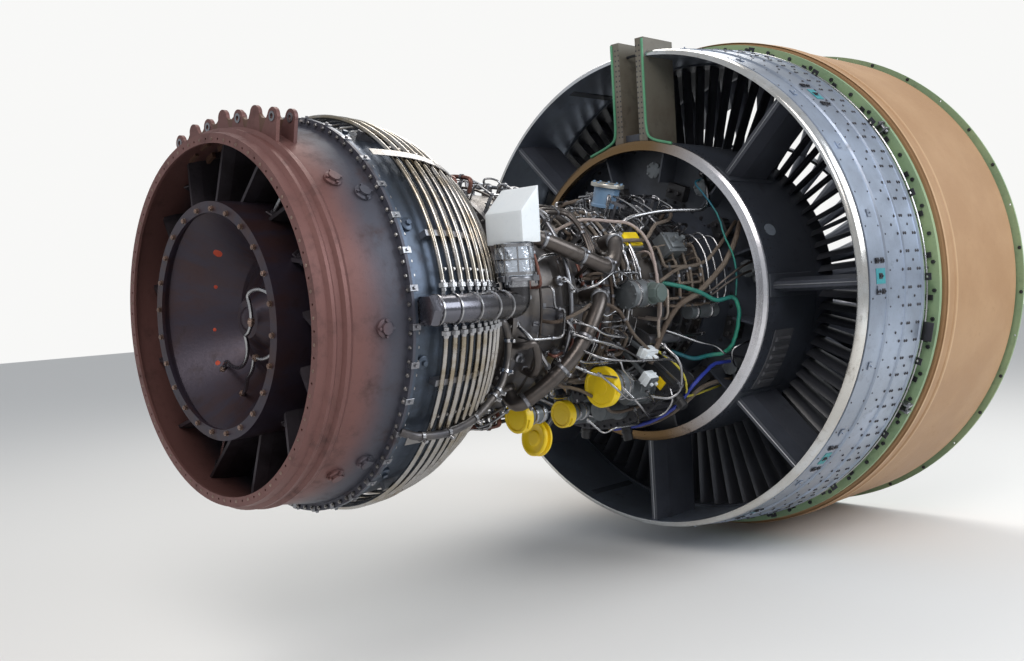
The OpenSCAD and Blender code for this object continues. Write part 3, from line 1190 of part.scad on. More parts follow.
module lp_shaft() color(grey_steel) {
    difference() {
        turned([[-fan_front - 50, 0], [-fan_front - 50, disk_bore_r - seat],
            [-fan_front - 170, disk_bore_r - seat],
        [-fan_front - 190, low_seat_r], [front_bearing_x - 60, low_seat_r],
        [front_bearing_x - 160, lp_shaft_r],
        [x_exhaust + 160, lp_shaft_r], [x_exhaust + 120, rear_seat_r], [x_exhaust - 110, rear_seat_r],
        [x_exhaust - 110, 0]]);
        axial_rod(0, x_end, lp_shaft_r - lp_shaft_t, fn);
    }
    inner_race(front_bearing_x, low_seat_r);
    inner_race(rear_bearing_x, rear_seat_r);
}

// Low pressure turbine: five rows
lpt_rows = 5;
lpt_hub_r = 420;
lpt_first = x_lpt - 120;
lpt_pitch = (lpt_case_len - 160) / (lpt_rows - 1);
lpt_blade_count = 48;
function lpt_row_x(i) = lpt_first - i * lpt_pitch;
module lpt_rotor() color(heat_tint) {
    ring(lpt_row_x(0) + 24, lpt_row_x(lpt_rows - 1) - 24, lpt_hub_r - 24, lpt_hub_r);
    for (i = [0:lpt_rows - 1]) ring(lpt_row_x(i) + 8, lpt_row_x(i) - 8, lpt_hub_r - 120, lpt_hub_r - 10);
    turned([[lpt_row_x(3) + 6, lpt_hub_r - 30], [lpt_row_x(3) - 6, lpt_hub_r - 30],
        [lpt_row_x(4) + 30, rear_seat_r + 30],
        [lpt_row_x(4) - 10, rear_seat_r + 14], [lpt_row_x(4) - 10, rear_seat_r + seat],
        [lpt_row_x(4) + 60, rear_seat_r + seat]]);
    for (i = [0:lpt_rows - 1])
        blade_row(lpt_blade_count, lpt_row_x(i), lpt_hub_r + vane_end_gap,
            lpt_r(lpt_row_x(i) + 24) - core_t - tip_gap - 2,
            42, 5, -30, -1);
}

// Vanes between the turbine rows
module turbine_nozzles() color(heat_tint) for (i = [0:lpt_rows - 2]) {
    x = lpt_row_x(i) - lpt_pitch / 2;
    bore = lpt_r(x + 20) - core_t - 9;
    turned([[x + 20, bore], [x + 20, lpt_r(x + 20) - core_t - seat],
        [x - 20, lpt_r(x - 20) - core_t - seat], [x - 20, bore]]);
    blade_row(lpt_blade_count, x, lpt_hub_r + tip_gap, bore - seat, 36, 5, 24);
}

comp_blade_count = 30;
// Corners of the drum: a flat land under each row of blades
blade_land = 16;
drum_lands = [for (i = [0:comp_stage_count - 1]) for (side = [1, -1]) let (x = stage_first - i * stage_pitch)
    [x + side * blade_land, drum_r(x)]];
module high_compressor_rotor() color(titanium) {
    turned(concat([[x_comp - 10, drum_r(x_comp) - 14], [x_comp - 10, drum_r(x_comp)]], drum_lands,
        [[x_diffuser + 20, drum_r(x_diffuser + 20)], [x_diffuser + 20, drum_r(x_diffuser) - 14]]));
    for (i = [0:comp_stage_count - 1]) let (x = stage_first - i * stage_pitch)
        ring(x + 5, x - 5, lp_shaft_r + 40, drum_r(x) - 6);
    // Front shaft
    shaft_front = high_bearing_x + race_w / 2 + 10;
    turned([[x_comp - 10, drum_r(x_comp) - 4], [x_comp - 22, drum_r(x_comp) - 4],
        [x_comp - 34, high_seat_r + 14],
        [x_comp - 60, high_seat_r + 4], [x_comp - 60, high_seat_r - 14], [shaft_front, high_seat_r - 14],
        [shaft_front, high_seat_r], [x_comp - 20, high_seat_r], [x_comp - 22, high_seat_r + 14]]);
    inner_race(high_bearing_x, high_seat_r);
    for (i = [0:comp_stage_count - 1]) let (x = stage_first - i * stage_pitch)
        blade_row(comp_blade_count, x, drum_r(x) + vane_end_gap, comp_r(x - 20) - core_t - tip_gap, 24, 2.6,
            34);
}

hpt_rows = 2;
hpt_hub_r = 360;
hpt_blade_count = 40;
function hpt_row_x(i) = x_hpt - 18 - i * 60;
module high_turbine_rotor() color(heat_tint) {
    turned([[x_diffuser + 20 - seat, drum_r(x_diffuser) - 14],
        [x_diffuser + 20 - seat, drum_r(x_diffuser) - 4],
        [x_diffuser - 20, 200], [x_hpt + 30, 180], [hpt_row_x(0) + 10, 200], [hpt_row_x(0) + 10, 186],
        [x_hpt + 30, 166], [x_diffuser - 20, 188]]);
    for (i = [0:hpt_rows - 1]) {
        x = hpt_row_x(i);
        ring(x + 10, x - 10, lp_shaft_r + 40, hpt_hub_r - 20);
        ring(x + blade_land, x - blade_land, hpt_hub_r - 26, hpt_hub_r);
        blade_row(hpt_blade_count, x, hpt_hub_r + vane_end_gap, hpt_case_r - core_t - tip_gap, 30, 5, -30,
            -1);
    }
    ring(hpt_row_x(0) - 5, hpt_row_x(1) + 5, 230, 244);
}

fan_case();
containment_wrap();
fan_liner();
joint_ring();
fan_rear_case();
case_bolts();
joint_brackets();
guide_vane_rings();
outlet_guide_vanes();
core_splitter();
fan_frame_hub();
fan_frame_struts();
pylon_channel();
hub_rear_ring();
bleed_louvres();
front_mount();
bearing_support();
bearing_outer_races();
compressor_case();
rear_compressor_case();
compressor_stators();
vane_levers();
actuator_body();
diffuser_case();
fuel_nozzles();
fuel_manifold();
combustor_liner();
turbine_nozzles();
hpt_case();
lpt_case();
cooling_tubes();
tube_straps();
cooling_manifold();
wrapped_duct();
duct_cover();
exhaust_frame();
exhaust_struts();
exhaust_hub();
exhaust_cone();
oil_tubes();
bleed_pipes();
core_accessories();
blanking_caps();
gearbox_housing();
gearbox_units();
spinner();
fan_disk();
fan_blades();
booster_rotor();
lp_shaft();
lpt_rotor();
high_compressor_rotor();
high_turbine_rotor();
unison_rings();
bell_crank();
actuator_rod();
drive_gear();
idler_gear();
pump_gear();
starter_gear();
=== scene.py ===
"""Looks of a high bypass turbofan engine that stands out of its nacelle.

Metres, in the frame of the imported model: X runs forward along the shaft line, Z is up and -Y is
the side of the covered bleed duct. Places round the engine are degrees from 12 o'clock towards -Y.
"""

import logging
import math
import random
from contextlib import contextmanager
from dataclasses import dataclass, field
from enum import Enum
from typing import Iterator, Sequence

import bpy
from mathutils import Matrix, Vector


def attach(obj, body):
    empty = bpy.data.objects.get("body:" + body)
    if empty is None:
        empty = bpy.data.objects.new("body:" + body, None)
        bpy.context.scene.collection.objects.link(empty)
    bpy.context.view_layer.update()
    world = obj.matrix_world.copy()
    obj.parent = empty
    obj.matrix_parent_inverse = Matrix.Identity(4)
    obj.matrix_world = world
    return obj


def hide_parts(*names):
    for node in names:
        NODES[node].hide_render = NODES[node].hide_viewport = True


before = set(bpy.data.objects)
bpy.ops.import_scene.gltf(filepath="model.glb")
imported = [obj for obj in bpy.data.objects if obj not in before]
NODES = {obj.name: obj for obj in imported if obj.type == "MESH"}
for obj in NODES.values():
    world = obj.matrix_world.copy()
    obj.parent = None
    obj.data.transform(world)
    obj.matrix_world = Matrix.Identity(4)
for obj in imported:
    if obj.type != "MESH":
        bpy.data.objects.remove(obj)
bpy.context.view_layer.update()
LOG = logging.getLogger("engine")

STATIC = "engine_frame"

Colour = tuple[float, float, float]
Points = Sequence[Vector]
Piece = bpy.types.Object
Socket = bpy.types.NodeSocket


# Places round the engine

class Facing(Enum):
    """Direction that the top of a seated piece points in."""

    OUT = "out"
    FORE = "fore"
    AFT = "aft"


def place(x: float, r: float, angle: float) -> Vector:
    """Point at a station, a radius and a place round the engine.

    Args:
        x: Station along the shaft line.
        r: Radius from the shaft line.
        angle: Degrees from 12 o'clock towards -Y.

    Returns:
        The point in the row frame.
    """
    a = math.radians(angle)
    return Vector((x, -r * math.sin(a), r * math.cos(a)))


def seat(x: float, r: float, angle: float, facing: Facing = Facing.OUT, turn: float = 0.0) -> Matrix:
    """Matrix that puts a piece, made with its foot at the origin and +Z up, on its seat.

    Args:
        x: Station along the shaft line.
        r: Radius from the shaft line.
        angle: Degrees from 12 o'clock towards -Y.
        facing: Direction that the piece's +Z takes.
        turn: Degrees that the piece turns about its own +Z.

    Returns:
        The matrix of the seat.
    """
    lean = {Facing.OUT: 0.0, Facing.FORE: 90.0, Facing.AFT: -90.0}[facing]
    return (Matrix.Translation(place(x, r, angle)) @ Matrix.Rotation(math.radians(angle), 4, "X")
            @ Matrix.Rotation(math.radians(lean), 4, "Y") @ Matrix.Rotation(math.radians(turn), 4, "Z"))


def srgb(colour: Colour) -> tuple[float, float, float, float]:
    """Turns a colour as it is seen into the linear value that a socket takes."""
    def lin(v: float) -> float:
        """Linear value of one channel."""
        return v / 12.92 if v <= 0.04045 else ((v + 0.055) / 1.055) ** 2.4
    return (lin(colour[0]), lin(colour[1]), lin(colour[2]), 1.0)


# Finishes

class Pattern(Enum):
    """Kinds of surface that a finish can have."""

    PAINT = "paint"
    BRUSHED = "brushed"
    CAST = "cast"
    WEAVE = "weave"
    HEAT = "heat"
    FOIL = "foil"
    PLASTIC = "plastic"
    BRAID = "braid"


@dataclass(frozen=True)
class Finish:
    """A procedural finish on object coordinates, with wear, stains and its own grain.

    Attributes:
        name: Name of the material.
        slot: Material slot of the record that the finish stands for; not used.
        base: Main colour as it is seen.
        stain: Colour of the stains and wear.
        tint: Third colour of the slow drift over the piece, and the colour that a fade reaches.
        pattern: Kind of surface.
        metal: Share of metal in the shader.
        rough: Mean roughness.
        stains: Share of the surface that is stained.
        grain: Waves of the fine grain for each metre.
        relief: Height of the fine relief.
        coat: Weight of a clear coat.
        fade: Axis ("x" or "side") and the two values between which the finish fades to its tint; on the side
            axis it paints a highlight towards -Y.
    """

    name: str
    slot: str
    base: Colour
    stain: Colour
    tint: Colour
    pattern: Pattern = Pattern.PAINT
    metal: float = 0.0
    rough: float = 0.5
    stains: float = 0.35
    grain: float = 60.0
    relief: float = 0.15
    coat: float = 0.0
    fade: tuple[str, float, float] | None = None

    def material(self) -> bpy.types.Material:
        """The material of this finish, made on first use."""
        made = bpy.data.materials.get(f"{self.name}_finish")
        return made if made else Brush(self).paint()


class Brush:
    """Builds the node tree of one finish."""

    def __init__(self, finish: Finish) -> None:
        """Opens a new material for the finish."""
        self.f = finish
        self.mat = bpy.data.materials.new(f"{finish.name}_finish")
        self.mat.use_nodes = True
        self.tree = self.mat.node_tree
        self.tree.nodes.clear()

    def node(self, kind: str, **values: object) -> bpy.types.Node:
        """Adds a node and sets its plain attributes."""
        made = self.tree.nodes.new(kind)
        for key, value in values.items():
            setattr(made, key, value)
        return made

    def link(self, source: Socket, target: Socket) -> None:
        """Joins two sockets."""
        self.tree.links.new(source, target)

    def math(self, operation: str, a: object, b: object = 0.0) -> Socket:
        """A math node on two sockets or numbers.

        Args:
            operation: Name of the operation.
            a: First socket or number.
            b: Second socket or number.

        Returns:
            The socket of the result.
        """
        made = self.node("ShaderNodeMath", operation=operation)
        for socket, value in zip(made.inputs, (a, b)):
            if isinstance(value, Socket):
                self.link(value, socket)
            else:
                socket.default_value = value
        return made.outputs[0]

    def noise(self, vector: Socket, scale: float, detail: float = 4.0,
              rough: float = 0.55) -> Socket:
        """Noise on a vector.

        Args:
            vector: Place to read the noise at.
            scale: Waves for each metre.
            detail: Octaves of the noise.
            rough: Weight of the finer octaves.

        Returns:
            The socket of the noise.
        """
        made = self.node("ShaderNodeTexNoise")
        made.inputs["Scale"].default_value = scale
        made.inputs["Detail"].default_value = detail
        made.inputs["Roughness"].default_value = rough
        self.link(vector, made.inputs["Vector"])
        return made.outputs["Fac"]

    def ramp(self, value: Socket, low: float, high: float) -> Socket:
        """Maps a value between two limits to 0 to 1, with soft ends."""
        made = self.node("ShaderNodeMapRange", interpolation_type="SMOOTHSTEP")
        made.inputs["From Min"].default_value = low
        made.inputs["From Max"].default_value = high
        self.link(value, made.inputs["Value"])
        return made.outputs["Result"]

    def mix(self, share: object, a: object, b: object) -> Socket:
        """Mixes two colours.

        Args:
            share: Share of the second colour.
            a: First colour.
            b: Second colour.

        Returns:
            The socket of the mixed colour.
        """
        made = self.node("ShaderNodeMix", data_type="RGBA")
        for socket, value in ((made.inputs[0], share), (made.inputs[6], a), (made.inputs[7], b)):
            if isinstance(value, Socket):
                self.link(value, socket)
            else:
                socket.default_value = value
        return made.outputs[2]

    def paint(self) -> bpy.types.Material:
        """Builds the tree.

        Returns:
            The finished material.
        """
        f = self.f
        where = self.node("ShaderNodeTexCoord").outputs["Object"]
        parts = self.node("ShaderNodeSeparateXYZ")
        self.link(where, parts.inputs[0])
        x, y, z = parts.outputs
        radius = self.math("SQRT", self.math("ADD", self.math("MULTIPLY", y, y), self.math("MULTIPLY", z, z)))
        turn = self.math("ARCTAN2", y, z)
        ring = self.node("ShaderNodeCombineXYZ")
        self.link(self.math("MULTIPLY", x, 1.0), ring.inputs[0])
        self.link(self.math("MULTIPLY", turn, 0.05 if f.pattern is Pattern.BRUSHED else 1.0), ring.inputs[1])
        self.link(radius, ring.inputs[2])
        slow = self.noise(where, 2.3, 5.0, 0.6)
        blots = self.noise(where, 9.0, 8.0, 0.68)
        fine = self.noise(where, f.grain, 6.0, 0.6)
        colour = self.mix(self.ramp(slow, 0.38, 0.66), srgb(f.base), srgb(f.tint))
        height = fine
        # On the side axis the fade is a painted highlight that grows towards -Y.
        if f.fade:
            axis, start, stop = f.fade
            value = x if axis == "x" else self.math("DIVIDE", self.math("MULTIPLY", y, -1.0), radius)
            share = self.ramp(self.math("ADD", value,
                                        self.math("MULTIPLY", self.math("SUBTRACT", slow, 0.5), 0.12)),
                                        start, stop)
            colour = self.mix(share, srgb(f.base), srgb(f.tint))
        if f.pattern is Pattern.HEAT and not f.fade:
            bands = self.noise(ring.outputs[0], 5.5, 5.0, 0.62)
            colour = self.mix(self.ramp(bands, 0.42, 0.62), colour, srgb(f.tint))
        if f.pattern is Pattern.BRUSHED:
            height = self.noise(ring.outputs[0], f.grain * 4.0, 3.0, 0.7)
        if f.pattern is Pattern.WEAVE:
            height = self.weave(x, turn, fine)
        if f.pattern is Pattern.BRAID:
            height = self.math("MULTIPLY", self.math("SINE",
                self.math("MULTIPLY", self.math("ADD", x, y), 900.0)),
                               self.math("SINE", self.math("MULTIPLY", self.math("SUBTRACT", x, z), 900.0)))
        if f.pattern is Pattern.FOIL:
            height = self.math("ABSOLUTE", self.math("SUBTRACT", self.noise(where, f.grain, 2.0, 0.4), 0.5))
        worn = self.ramp(blots, 0.7 - 0.35 * f.stains, 0.8)
        colour = self.mix(self.math("MULTIPLY", worn, 0.85), colour, srgb(f.stain))
        colour = self.mix(self.math("MULTIPLY", self.ramp(fine, 0.55, 0.75), 0.22), colour, srgb(f.stain))
        shader = self.node("ShaderNodeBsdfPrincipled")
        self.link(colour, shader.inputs["Base Color"])
        shader.inputs["Metallic"].default_value = f.metal
        shader.inputs["Coat Weight"].default_value = f.coat
        spread = 0.16 if f.metal > 0.5 else 0.1
        rough = self.math("ADD", self.math("MULTIPLY", self.math("SUBTRACT", blots, 0.5), spread * 2.0),
                          f.rough)
        rough = self.math("ADD", rough, self.math("MULTIPLY", worn, 0.12))
        self.link(self.math("MAXIMUM", rough, 0.08), shader.inputs["Roughness"])
        bump = self.node("ShaderNodeBump")
        bump.inputs["Strength"].default_value = f.relief
        bump.inputs["Distance"].default_value = 0.004
        self.link(height, bump.inputs["Height"])
        self.link(bump.outputs[0], shader.inputs["Normal"])
        out = self.node("ShaderNodeOutputMaterial")
        self.link(shader.outputs[0], out.inputs[0])
        return self.mat

    def weave(self, x: Socket, turn: Socket,
              fine: Socket) -> Socket:
        """Height of a plain weave wound round the case."""
        warp = self.math("SINE", self.math("MULTIPLY", x, 700.0))
        weft = self.math("SINE", self.math("MULTIPLY", turn, 700.0))
        return self.math("ADD", self.math("MULTIPLY", self.math("MULTIPLY", warp, weft), 0.5), fine)


GREEN_PRIMER = Finish("green_primer", "green_primer", (0.5, 0.6, 0.47), (0.3, 0.36, 0.3), (0.57, 0.65, 0.5),
                      rough=0.5, stains=0.45)
CHANNEL_PAINT = Finish("channel_paint", "green_primer", (0.38, 0.35, 0.31), (0.22, 0.21, 0.19),
                       (0.44, 0.43, 0.39),
                       rough=0.5, stains=0.5)
BELT_FABRIC = Finish("belt_fabric", "belt_fabric", (0.615, 0.475, 0.335), (0.51, 0.385, 0.27),
                     (0.655, 0.52, 0.38),
                     Pattern.WEAVE, rough=0.58, stains=0.25, relief=0.1)
BELT_EDGE = Finish("belt_edge", "belt_fabric", (0.69, 0.555, 0.41), (0.58, 0.44, 0.31), (0.73, 0.6, 0.46),
                   rough=0.5, stains=0.3)
LINER = Finish("liner_composite", "liner_composite", (0.3, 0.31, 0.33), (0.18, 0.18, 0.19),
               (0.35, 0.36, 0.38), rough=0.7)
CASE_ALUMINIUM = Finish("case_aluminium", "case_aluminium", (0.56, 0.595, 0.65), (0.4, 0.39, 0.385),
                        (0.63, 0.675, 0.745),
                        Pattern.BRUSHED, metal=0.8, rough=0.34, stains=0.35, relief=0.1)
FASTENER = Finish("fastener_steel", "fastener_steel", (0.22, 0.22, 0.24), (0.12, 0.11, 0.11),
                  (0.28, 0.28, 0.3),
                  metal=0.7, rough=0.42, grain=240.0)
CORE_BOLT = Finish("core_bolt", "fastener_steel", (0.5, 0.49, 0.49), (0.26, 0.23, 0.21), (0.6, 0.59, 0.58),
                   metal=0.95, rough=0.3, grain=240.0)
DARK_PAINT = Finish("dark_paint", "dark_paint", (0.195, 0.21, 0.24), (0.12, 0.125, 0.13), (0.24, 0.26, 0.3),
                    rough=0.4)
VANE_PAINT = Finish("vane_paint", "dark_paint", (0.18, 0.185, 0.205), (0.1, 0.1, 0.105), (0.23, 0.24, 0.265),
                    rough=0.36)
GREY_PAINT = Finish("grey_paint", "grey_paint", (0.21, 0.22, 0.25), (0.13, 0.13, 0.14), (0.26, 0.275, 0.31),
                    rough=0.38)
EDGE_STEEL = Finish("edge_steel", "grey_paint", (0.52, 0.53, 0.55), (0.3, 0.3, 0.31), (0.6, 0.61, 0.63),
                    metal=0.7, rough=0.35)
LOUVRE_GREY = Finish("louvre_grey", "dark_paint", (0.29, 0.295, 0.315), (0.17, 0.17, 0.175),
                     (0.35, 0.355, 0.37), rough=0.42)
# Painted highlight: the side fade turns the ring pale silver towards -Y, standing for the light it reflects
# on that side.
BRONZE_RING_WITH_PAINTED_HIGHLIGHT = Finish("bronze_ring", "bronze_ring", (0.5, 0.4, 0.28), (0.28, 0.21, 0.15), (0.8, 0.8, 0.82),
                     Pattern.BRUSHED, metal=0.95, rough=0.24, relief=0.06, fade=("side", 0.15, 0.75))
BEARING_STEEL = Finish("bearing_steel", "bearing_steel", (0.66, 0.66, 0.68), (0.5, 0.5, 0.5),
                       (0.72, 0.72, 0.74),
                       metal=1.0, rough=0.2, stains=0.1)
CORE_STEEL = Finish("core_steel", "core_steel", (0.335, 0.335, 0.355), (0.19, 0.17, 0.155),
                    (0.41, 0.39, 0.375),
                    Pattern.HEAT, metal=0.85, rough=0.4, stains=0.6)
TITANIUM = Finish("titanium", "titanium", (0.52, 0.53, 0.56), (0.36, 0.36, 0.38), (0.58, 0.59, 0.62),
                  Pattern.BRUSHED, metal=0.95, rough=0.34, relief=0.06)
BARE_ALUMINIUM = Finish("bare_aluminium", "bare_aluminium", (0.5, 0.5, 0.52), (0.27, 0.25, 0.24),
                        (0.58, 0.59, 0.61),
                        metal=0.9, rough=0.32, stains=0.5, grain=160.0)
HOT_ALLOY = Finish("hot_alloy", "hot_alloy", (0.21, 0.19, 0.205), (0.12, 0.09, 0.085), (0.28, 0.26, 0.285),
                   Pattern.HEAT, metal=0.6, rough=0.5, stains=0.5)
TURBINE_CASE = Finish("turbine_case", "turbine_case", (0.27, 0.3, 0.34), (0.22, 0.17, 0.15),
                      (0.31, 0.35, 0.41),
                      Pattern.HEAT, metal=0.8, rough=0.4, stains=0.5)
TINTED_TUBE = Finish("tinted_tube", "tinted_tube", (0.56, 0.52, 0.45), (0.33, 0.25, 0.17), (0.66, 0.65, 0.64),
                     Pattern.HEAT, metal=1.0, rough=0.22, stains=0.5)
POLISHED = Finish("polished_sheet", "polished_sheet", (0.29, 0.285, 0.29), (0.15, 0.13, 0.12),
                  (0.4, 0.4, 0.43),
                  metal=0.95, rough=0.25, stains=0.3, fade=("x", -3.22, -3.44))
FOIL = Finish("foil", "polished_sheet", (0.76, 0.79, 0.83), (0.5, 0.52, 0.56), (0.86, 0.89, 0.93),
              Pattern.FOIL, metal=0.85, rough=0.22, stains=0.3, grain=60.0, relief=0.9)
WHITE_COVER = Finish("white_cover", "white_cover", (0.85, 0.88, 0.9), (0.7, 0.73, 0.76), (0.88, 0.9, 0.91),
                     Pattern.PLASTIC, rough=0.4, stains=0.16, relief=0.05)
HEAT_STAINED = Finish("heat_stained", "heat_stained", (0.44, 0.305, 0.29), (0.25, 0.18, 0.175),
                      (0.28, 0.285, 0.325),
                      Pattern.HEAT, metal=0.45, rough=0.5, stains=0.6, fade=("x", -3.8, -3.66))
LUG_BROWN = Finish("lug_brown", "heat_stained", (0.34, 0.24, 0.2), (0.22, 0.15, 0.13), (0.4, 0.3, 0.25),
                   Pattern.HEAT, metal=0.35, rough=0.55, stains=0.4)
DISH_METAL = Finish("dish_metal", "dish_metal", (0.235, 0.165, 0.17), (0.15, 0.1, 0.09), (0.205, 0.18, 0.225),
                    Pattern.HEAT, metal=0.5, rough=0.36, stains=0.4)
RED_MARK = Finish("red_mark", "dish_metal", (0.62, 0.17, 0.08), (0.42, 0.12, 0.08), (0.7, 0.24, 0.1),
                  rough=0.6, stains=0.5)
BRIGHT_TUBE = Finish("bright_tube", "bright_tube", (0.6, 0.6, 0.61), (0.32, 0.3, 0.28), (0.7, 0.7, 0.71),
                     metal=1.0, rough=0.22, stains=0.4, grain=200.0)
PALE_CABLE = Finish("pale_cable", "bright_tube", (0.62, 0.58, 0.53), (0.4, 0.34, 0.29), (0.68, 0.62, 0.6),
                    Pattern.BRAID,
                    metal=0.2, rough=0.45, stains=0.4, grain=220.0, relief=0.5)
DARK_PIPE = Finish("dark_pipe", "dark_pipe", (0.3, 0.27, 0.25), (0.18, 0.15, 0.13), (0.36, 0.34, 0.33),
                   Pattern.HEAT, metal=0.85, rough=0.34, stains=0.5)
GREY_ACCESSORY = Finish("grey_accessory", "grey_accessory", (0.37, 0.39, 0.405), (0.21, 0.21, 0.21),
                        (0.44, 0.46, 0.475),
                        rough=0.38, metal=0.4, stains=0.5)
CANISTER_GREEN = Finish("canister_green", "grey_accessory", (0.27, 0.31, 0.3), (0.16, 0.17, 0.16),
                        (0.33, 0.38, 0.37), rough=0.4, stains=0.5)
YELLOW_PLASTIC = Finish("yellow_plastic", "yellow_plastic", (0.91, 0.77, 0.08), (0.72, 0.58, 0.08),
                        (0.94, 0.82, 0.14),
                        Pattern.PLASTIC, rough=0.36, stains=0.15, relief=0.05)
GEARBOX_CAST = Finish("gearbox_cast", "gearbox_cast", (0.21, 0.21, 0.225), (0.12, 0.11, 0.11),
                      (0.27, 0.27, 0.29),
                      Pattern.CAST, metal=0.5, rough=0.46, grain=180.0, relief=0.4)
TEAL = Finish("teal_patch", "green_primer", (0.16, 0.5, 0.54), (0.1, 0.33, 0.36), (0.24, 0.6, 0.6),
              rough=0.45)
# Black of the joint band bars; it also paints the shade in the latch groove of the rear case.
BLACK_BARS_AND_GROOVE_SHADE = Finish("black_bars_and_groove_shade", "fastener_steel", (0.075, 0.08, 0.095), (0.05, 0.05, 0.055),
                    (0.1, 0.11, 0.13), rough=0.5)
BRIGHT_RIM = Finish("bright_rim", "case_aluminium", (0.78, 0.77, 0.75), (0.42, 0.37, 0.32),
                    (0.86, 0.87, 0.88),
                    Pattern.BRUSHED, metal=1.0, rough=0.18, stains=0.4, relief=0.06)
DUCT_GREY = Finish("duct_grey", "dark_paint", (0.215, 0.23, 0.26), (0.13, 0.135, 0.145), (0.26, 0.28, 0.31),
                   rough=0.4)
PATCH_GREY = Finish("patch_grey", "grey_paint", (0.4, 0.43, 0.47), (0.26, 0.28, 0.3), (0.46, 0.49, 0.53),
                    rough=0.45)
SEAL_GREEN = Finish("seal_green", "green_primer", (0.26, 0.5, 0.38), (0.17, 0.33, 0.26), (0.34, 0.58, 0.44),
                    rough=0.5)
DARK_UNIT = Finish("dark_unit", "gearbox_cast", (0.15, 0.15, 0.16), (0.09, 0.09, 0.09), (0.21, 0.21, 0.22),
                   rough=0.42, metal=0.3, grain=160.0)
BLUE_GREY = Finish("blue_grey", "grey_accessory", (0.44, 0.56, 0.68), (0.3, 0.37, 0.45), (0.52, 0.64, 0.75),
                   rough=0.34, coat=0.3)
STUB_RIM = Finish("stub_rim", "bare_aluminium", (0.72, 0.71, 0.68), (0.45, 0.43, 0.4), (0.78, 0.78, 0.76),
                  metal=0.8, rough=0.35)
HARNESS_BRAID = Finish("harness_braid", "bare_aluminium", (0.36, 0.31, 0.27), (0.19, 0.16, 0.14),
                       (0.47, 0.43, 0.39), Pattern.BRAID,
                       metal=0.4, rough=0.42, grain=260.0, relief=0.5)
TAPE_TEAL = Finish("tape_teal", "grey_accessory", (0.07, 0.33, 0.42), (0.06, 0.22, 0.25), (0.14, 0.5, 0.4),
                   Pattern.BRAID,
                   rough=0.42, grain=30.0, stains=0.6)
TAPE_BLUE = Finish("tape_blue", "grey_accessory", (0.14, 0.2, 0.55), (0.09, 0.12, 0.34), (0.2, 0.26, 0.62),
                   Pattern.BRAID, rough=0.42, grain=90.0)
RED_BROWN = Finish("red_brown", "dark_pipe", (0.36, 0.2, 0.17), (0.22, 0.13, 0.11), (0.44, 0.3, 0.26),
                   Pattern.HEAT, metal=0.5, rough=0.38)
YELLOW_CABLE = Finish("yellow_cable", "yellow_plastic", (0.72, 0.68, 0.24), (0.42, 0.38, 0.18),
                      (0.8, 0.76, 0.32), rough=0.45, stains=0.4)
HEAT_BOLT = Finish("heat_bolt", "heat_stained", (0.47, 0.39, 0.35), (0.26, 0.2, 0.18), (0.58, 0.5, 0.46),
                   metal=0.85, rough=0.34, grain=220.0)
SPINNER_PAINT = Finish("spinner_paint", "spinner_paint", (0.13, 0.14, 0.16), (0.22, 0.22, 0.23),
                       (0.16, 0.17, 0.19), rough=0.32, coat=0.4)

NODE_FINISHES: dict[str, Finish] = {
    "fan_case": GREEN_PRIMER, "joint_ring": GREEN_PRIMER, "pylon_channel": CHANNEL_PAINT,
    "containment_wrap": BELT_FABRIC, "fan_liner": LINER, "fan_rear_case": CASE_ALUMINIUM,
    "case_bolts": FASTENER, "joint_brackets": FASTENER, "guide_vane_rings": DARK_PAINT,
    "outlet_guide_vanes": VANE_PAINT, "fan_frame_hub": DARK_PAINT, "bleed_louvres": LOUVRE_GREY,
    "fan_frame_struts": GREY_PAINT, "core_splitter": GREY_PAINT, "front_mount": GREY_PAINT,
    "bearing_support": GREY_PAINT, "hub_rear_ring": BRONZE_RING_WITH_PAINTED_HIGHLIGHT, "bearing_outer_races": BEARING_STEEL,
    "compressor_case": CORE_STEEL, "rear_compressor_case": CORE_STEEL, "diffuser_case": CORE_STEEL,
    "hpt_case": CORE_STEEL, "compressor_stators": TITANIUM, "vane_levers": BARE_ALUMINIUM,
    "actuator_body": BARE_ALUMINIUM, "fuel_nozzles": BARE_ALUMINIUM, "fuel_manifold": BARE_ALUMINIUM,
    "tube_straps": BARE_ALUMINIUM, "combustor_liner": HOT_ALLOY, "turbine_nozzles": HOT_ALLOY,
    "exhaust_struts": HOT_ALLOY, "lpt_case": TURBINE_CASE, "cooling_tubes": TINTED_TUBE,
    "cooling_manifold": POLISHED, "wrapped_duct": FOIL, "duct_cover": WHITE_COVER,
    "exhaust_frame": HEAT_STAINED, "exhaust_hub": DISH_METAL, "exhaust_cone": DISH_METAL,
    "oil_tubes": BRIGHT_TUBE, "bleed_pipes": DARK_PIPE, "core_accessories": GREY_ACCESSORY,
    "gearbox_units": GREY_ACCESSORY, "blanking_caps": YELLOW_PLASTIC, "gearbox_housing": GEARBOX_CAST,
    "spinner": SPINNER_PAINT, "fan_disk": TITANIUM, "fan_blades": TITANIUM, "booster_rotor": TITANIUM,
    "lp_shaft": BEARING_STEEL, "lpt_rotor": HOT_ALLOY, "high_compressor_rotor": TITANIUM,
    "high_turbine_rotor": HOT_ALLOY, "unison_rings": BARE_ALUMINIUM, "bell_crank": BARE_ALUMINIUM,
    "actuator_rod": BRIGHT_TUBE, "drive_gear": BEARING_STEEL, "idler_gear": BEARING_STEEL,
    "pump_gear": BEARING_STEEL, "starter_gear": BEARING_STEEL,
}


def dress_nodes() -> None:
    """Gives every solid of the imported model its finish."""
    for name, node in NODES.items():
        node.data.materials.clear()
        node.data.materials.append(NODE_FINISHES[name].material())
    LOG.info("dressed %d solids", len(NODES))


# Modelling

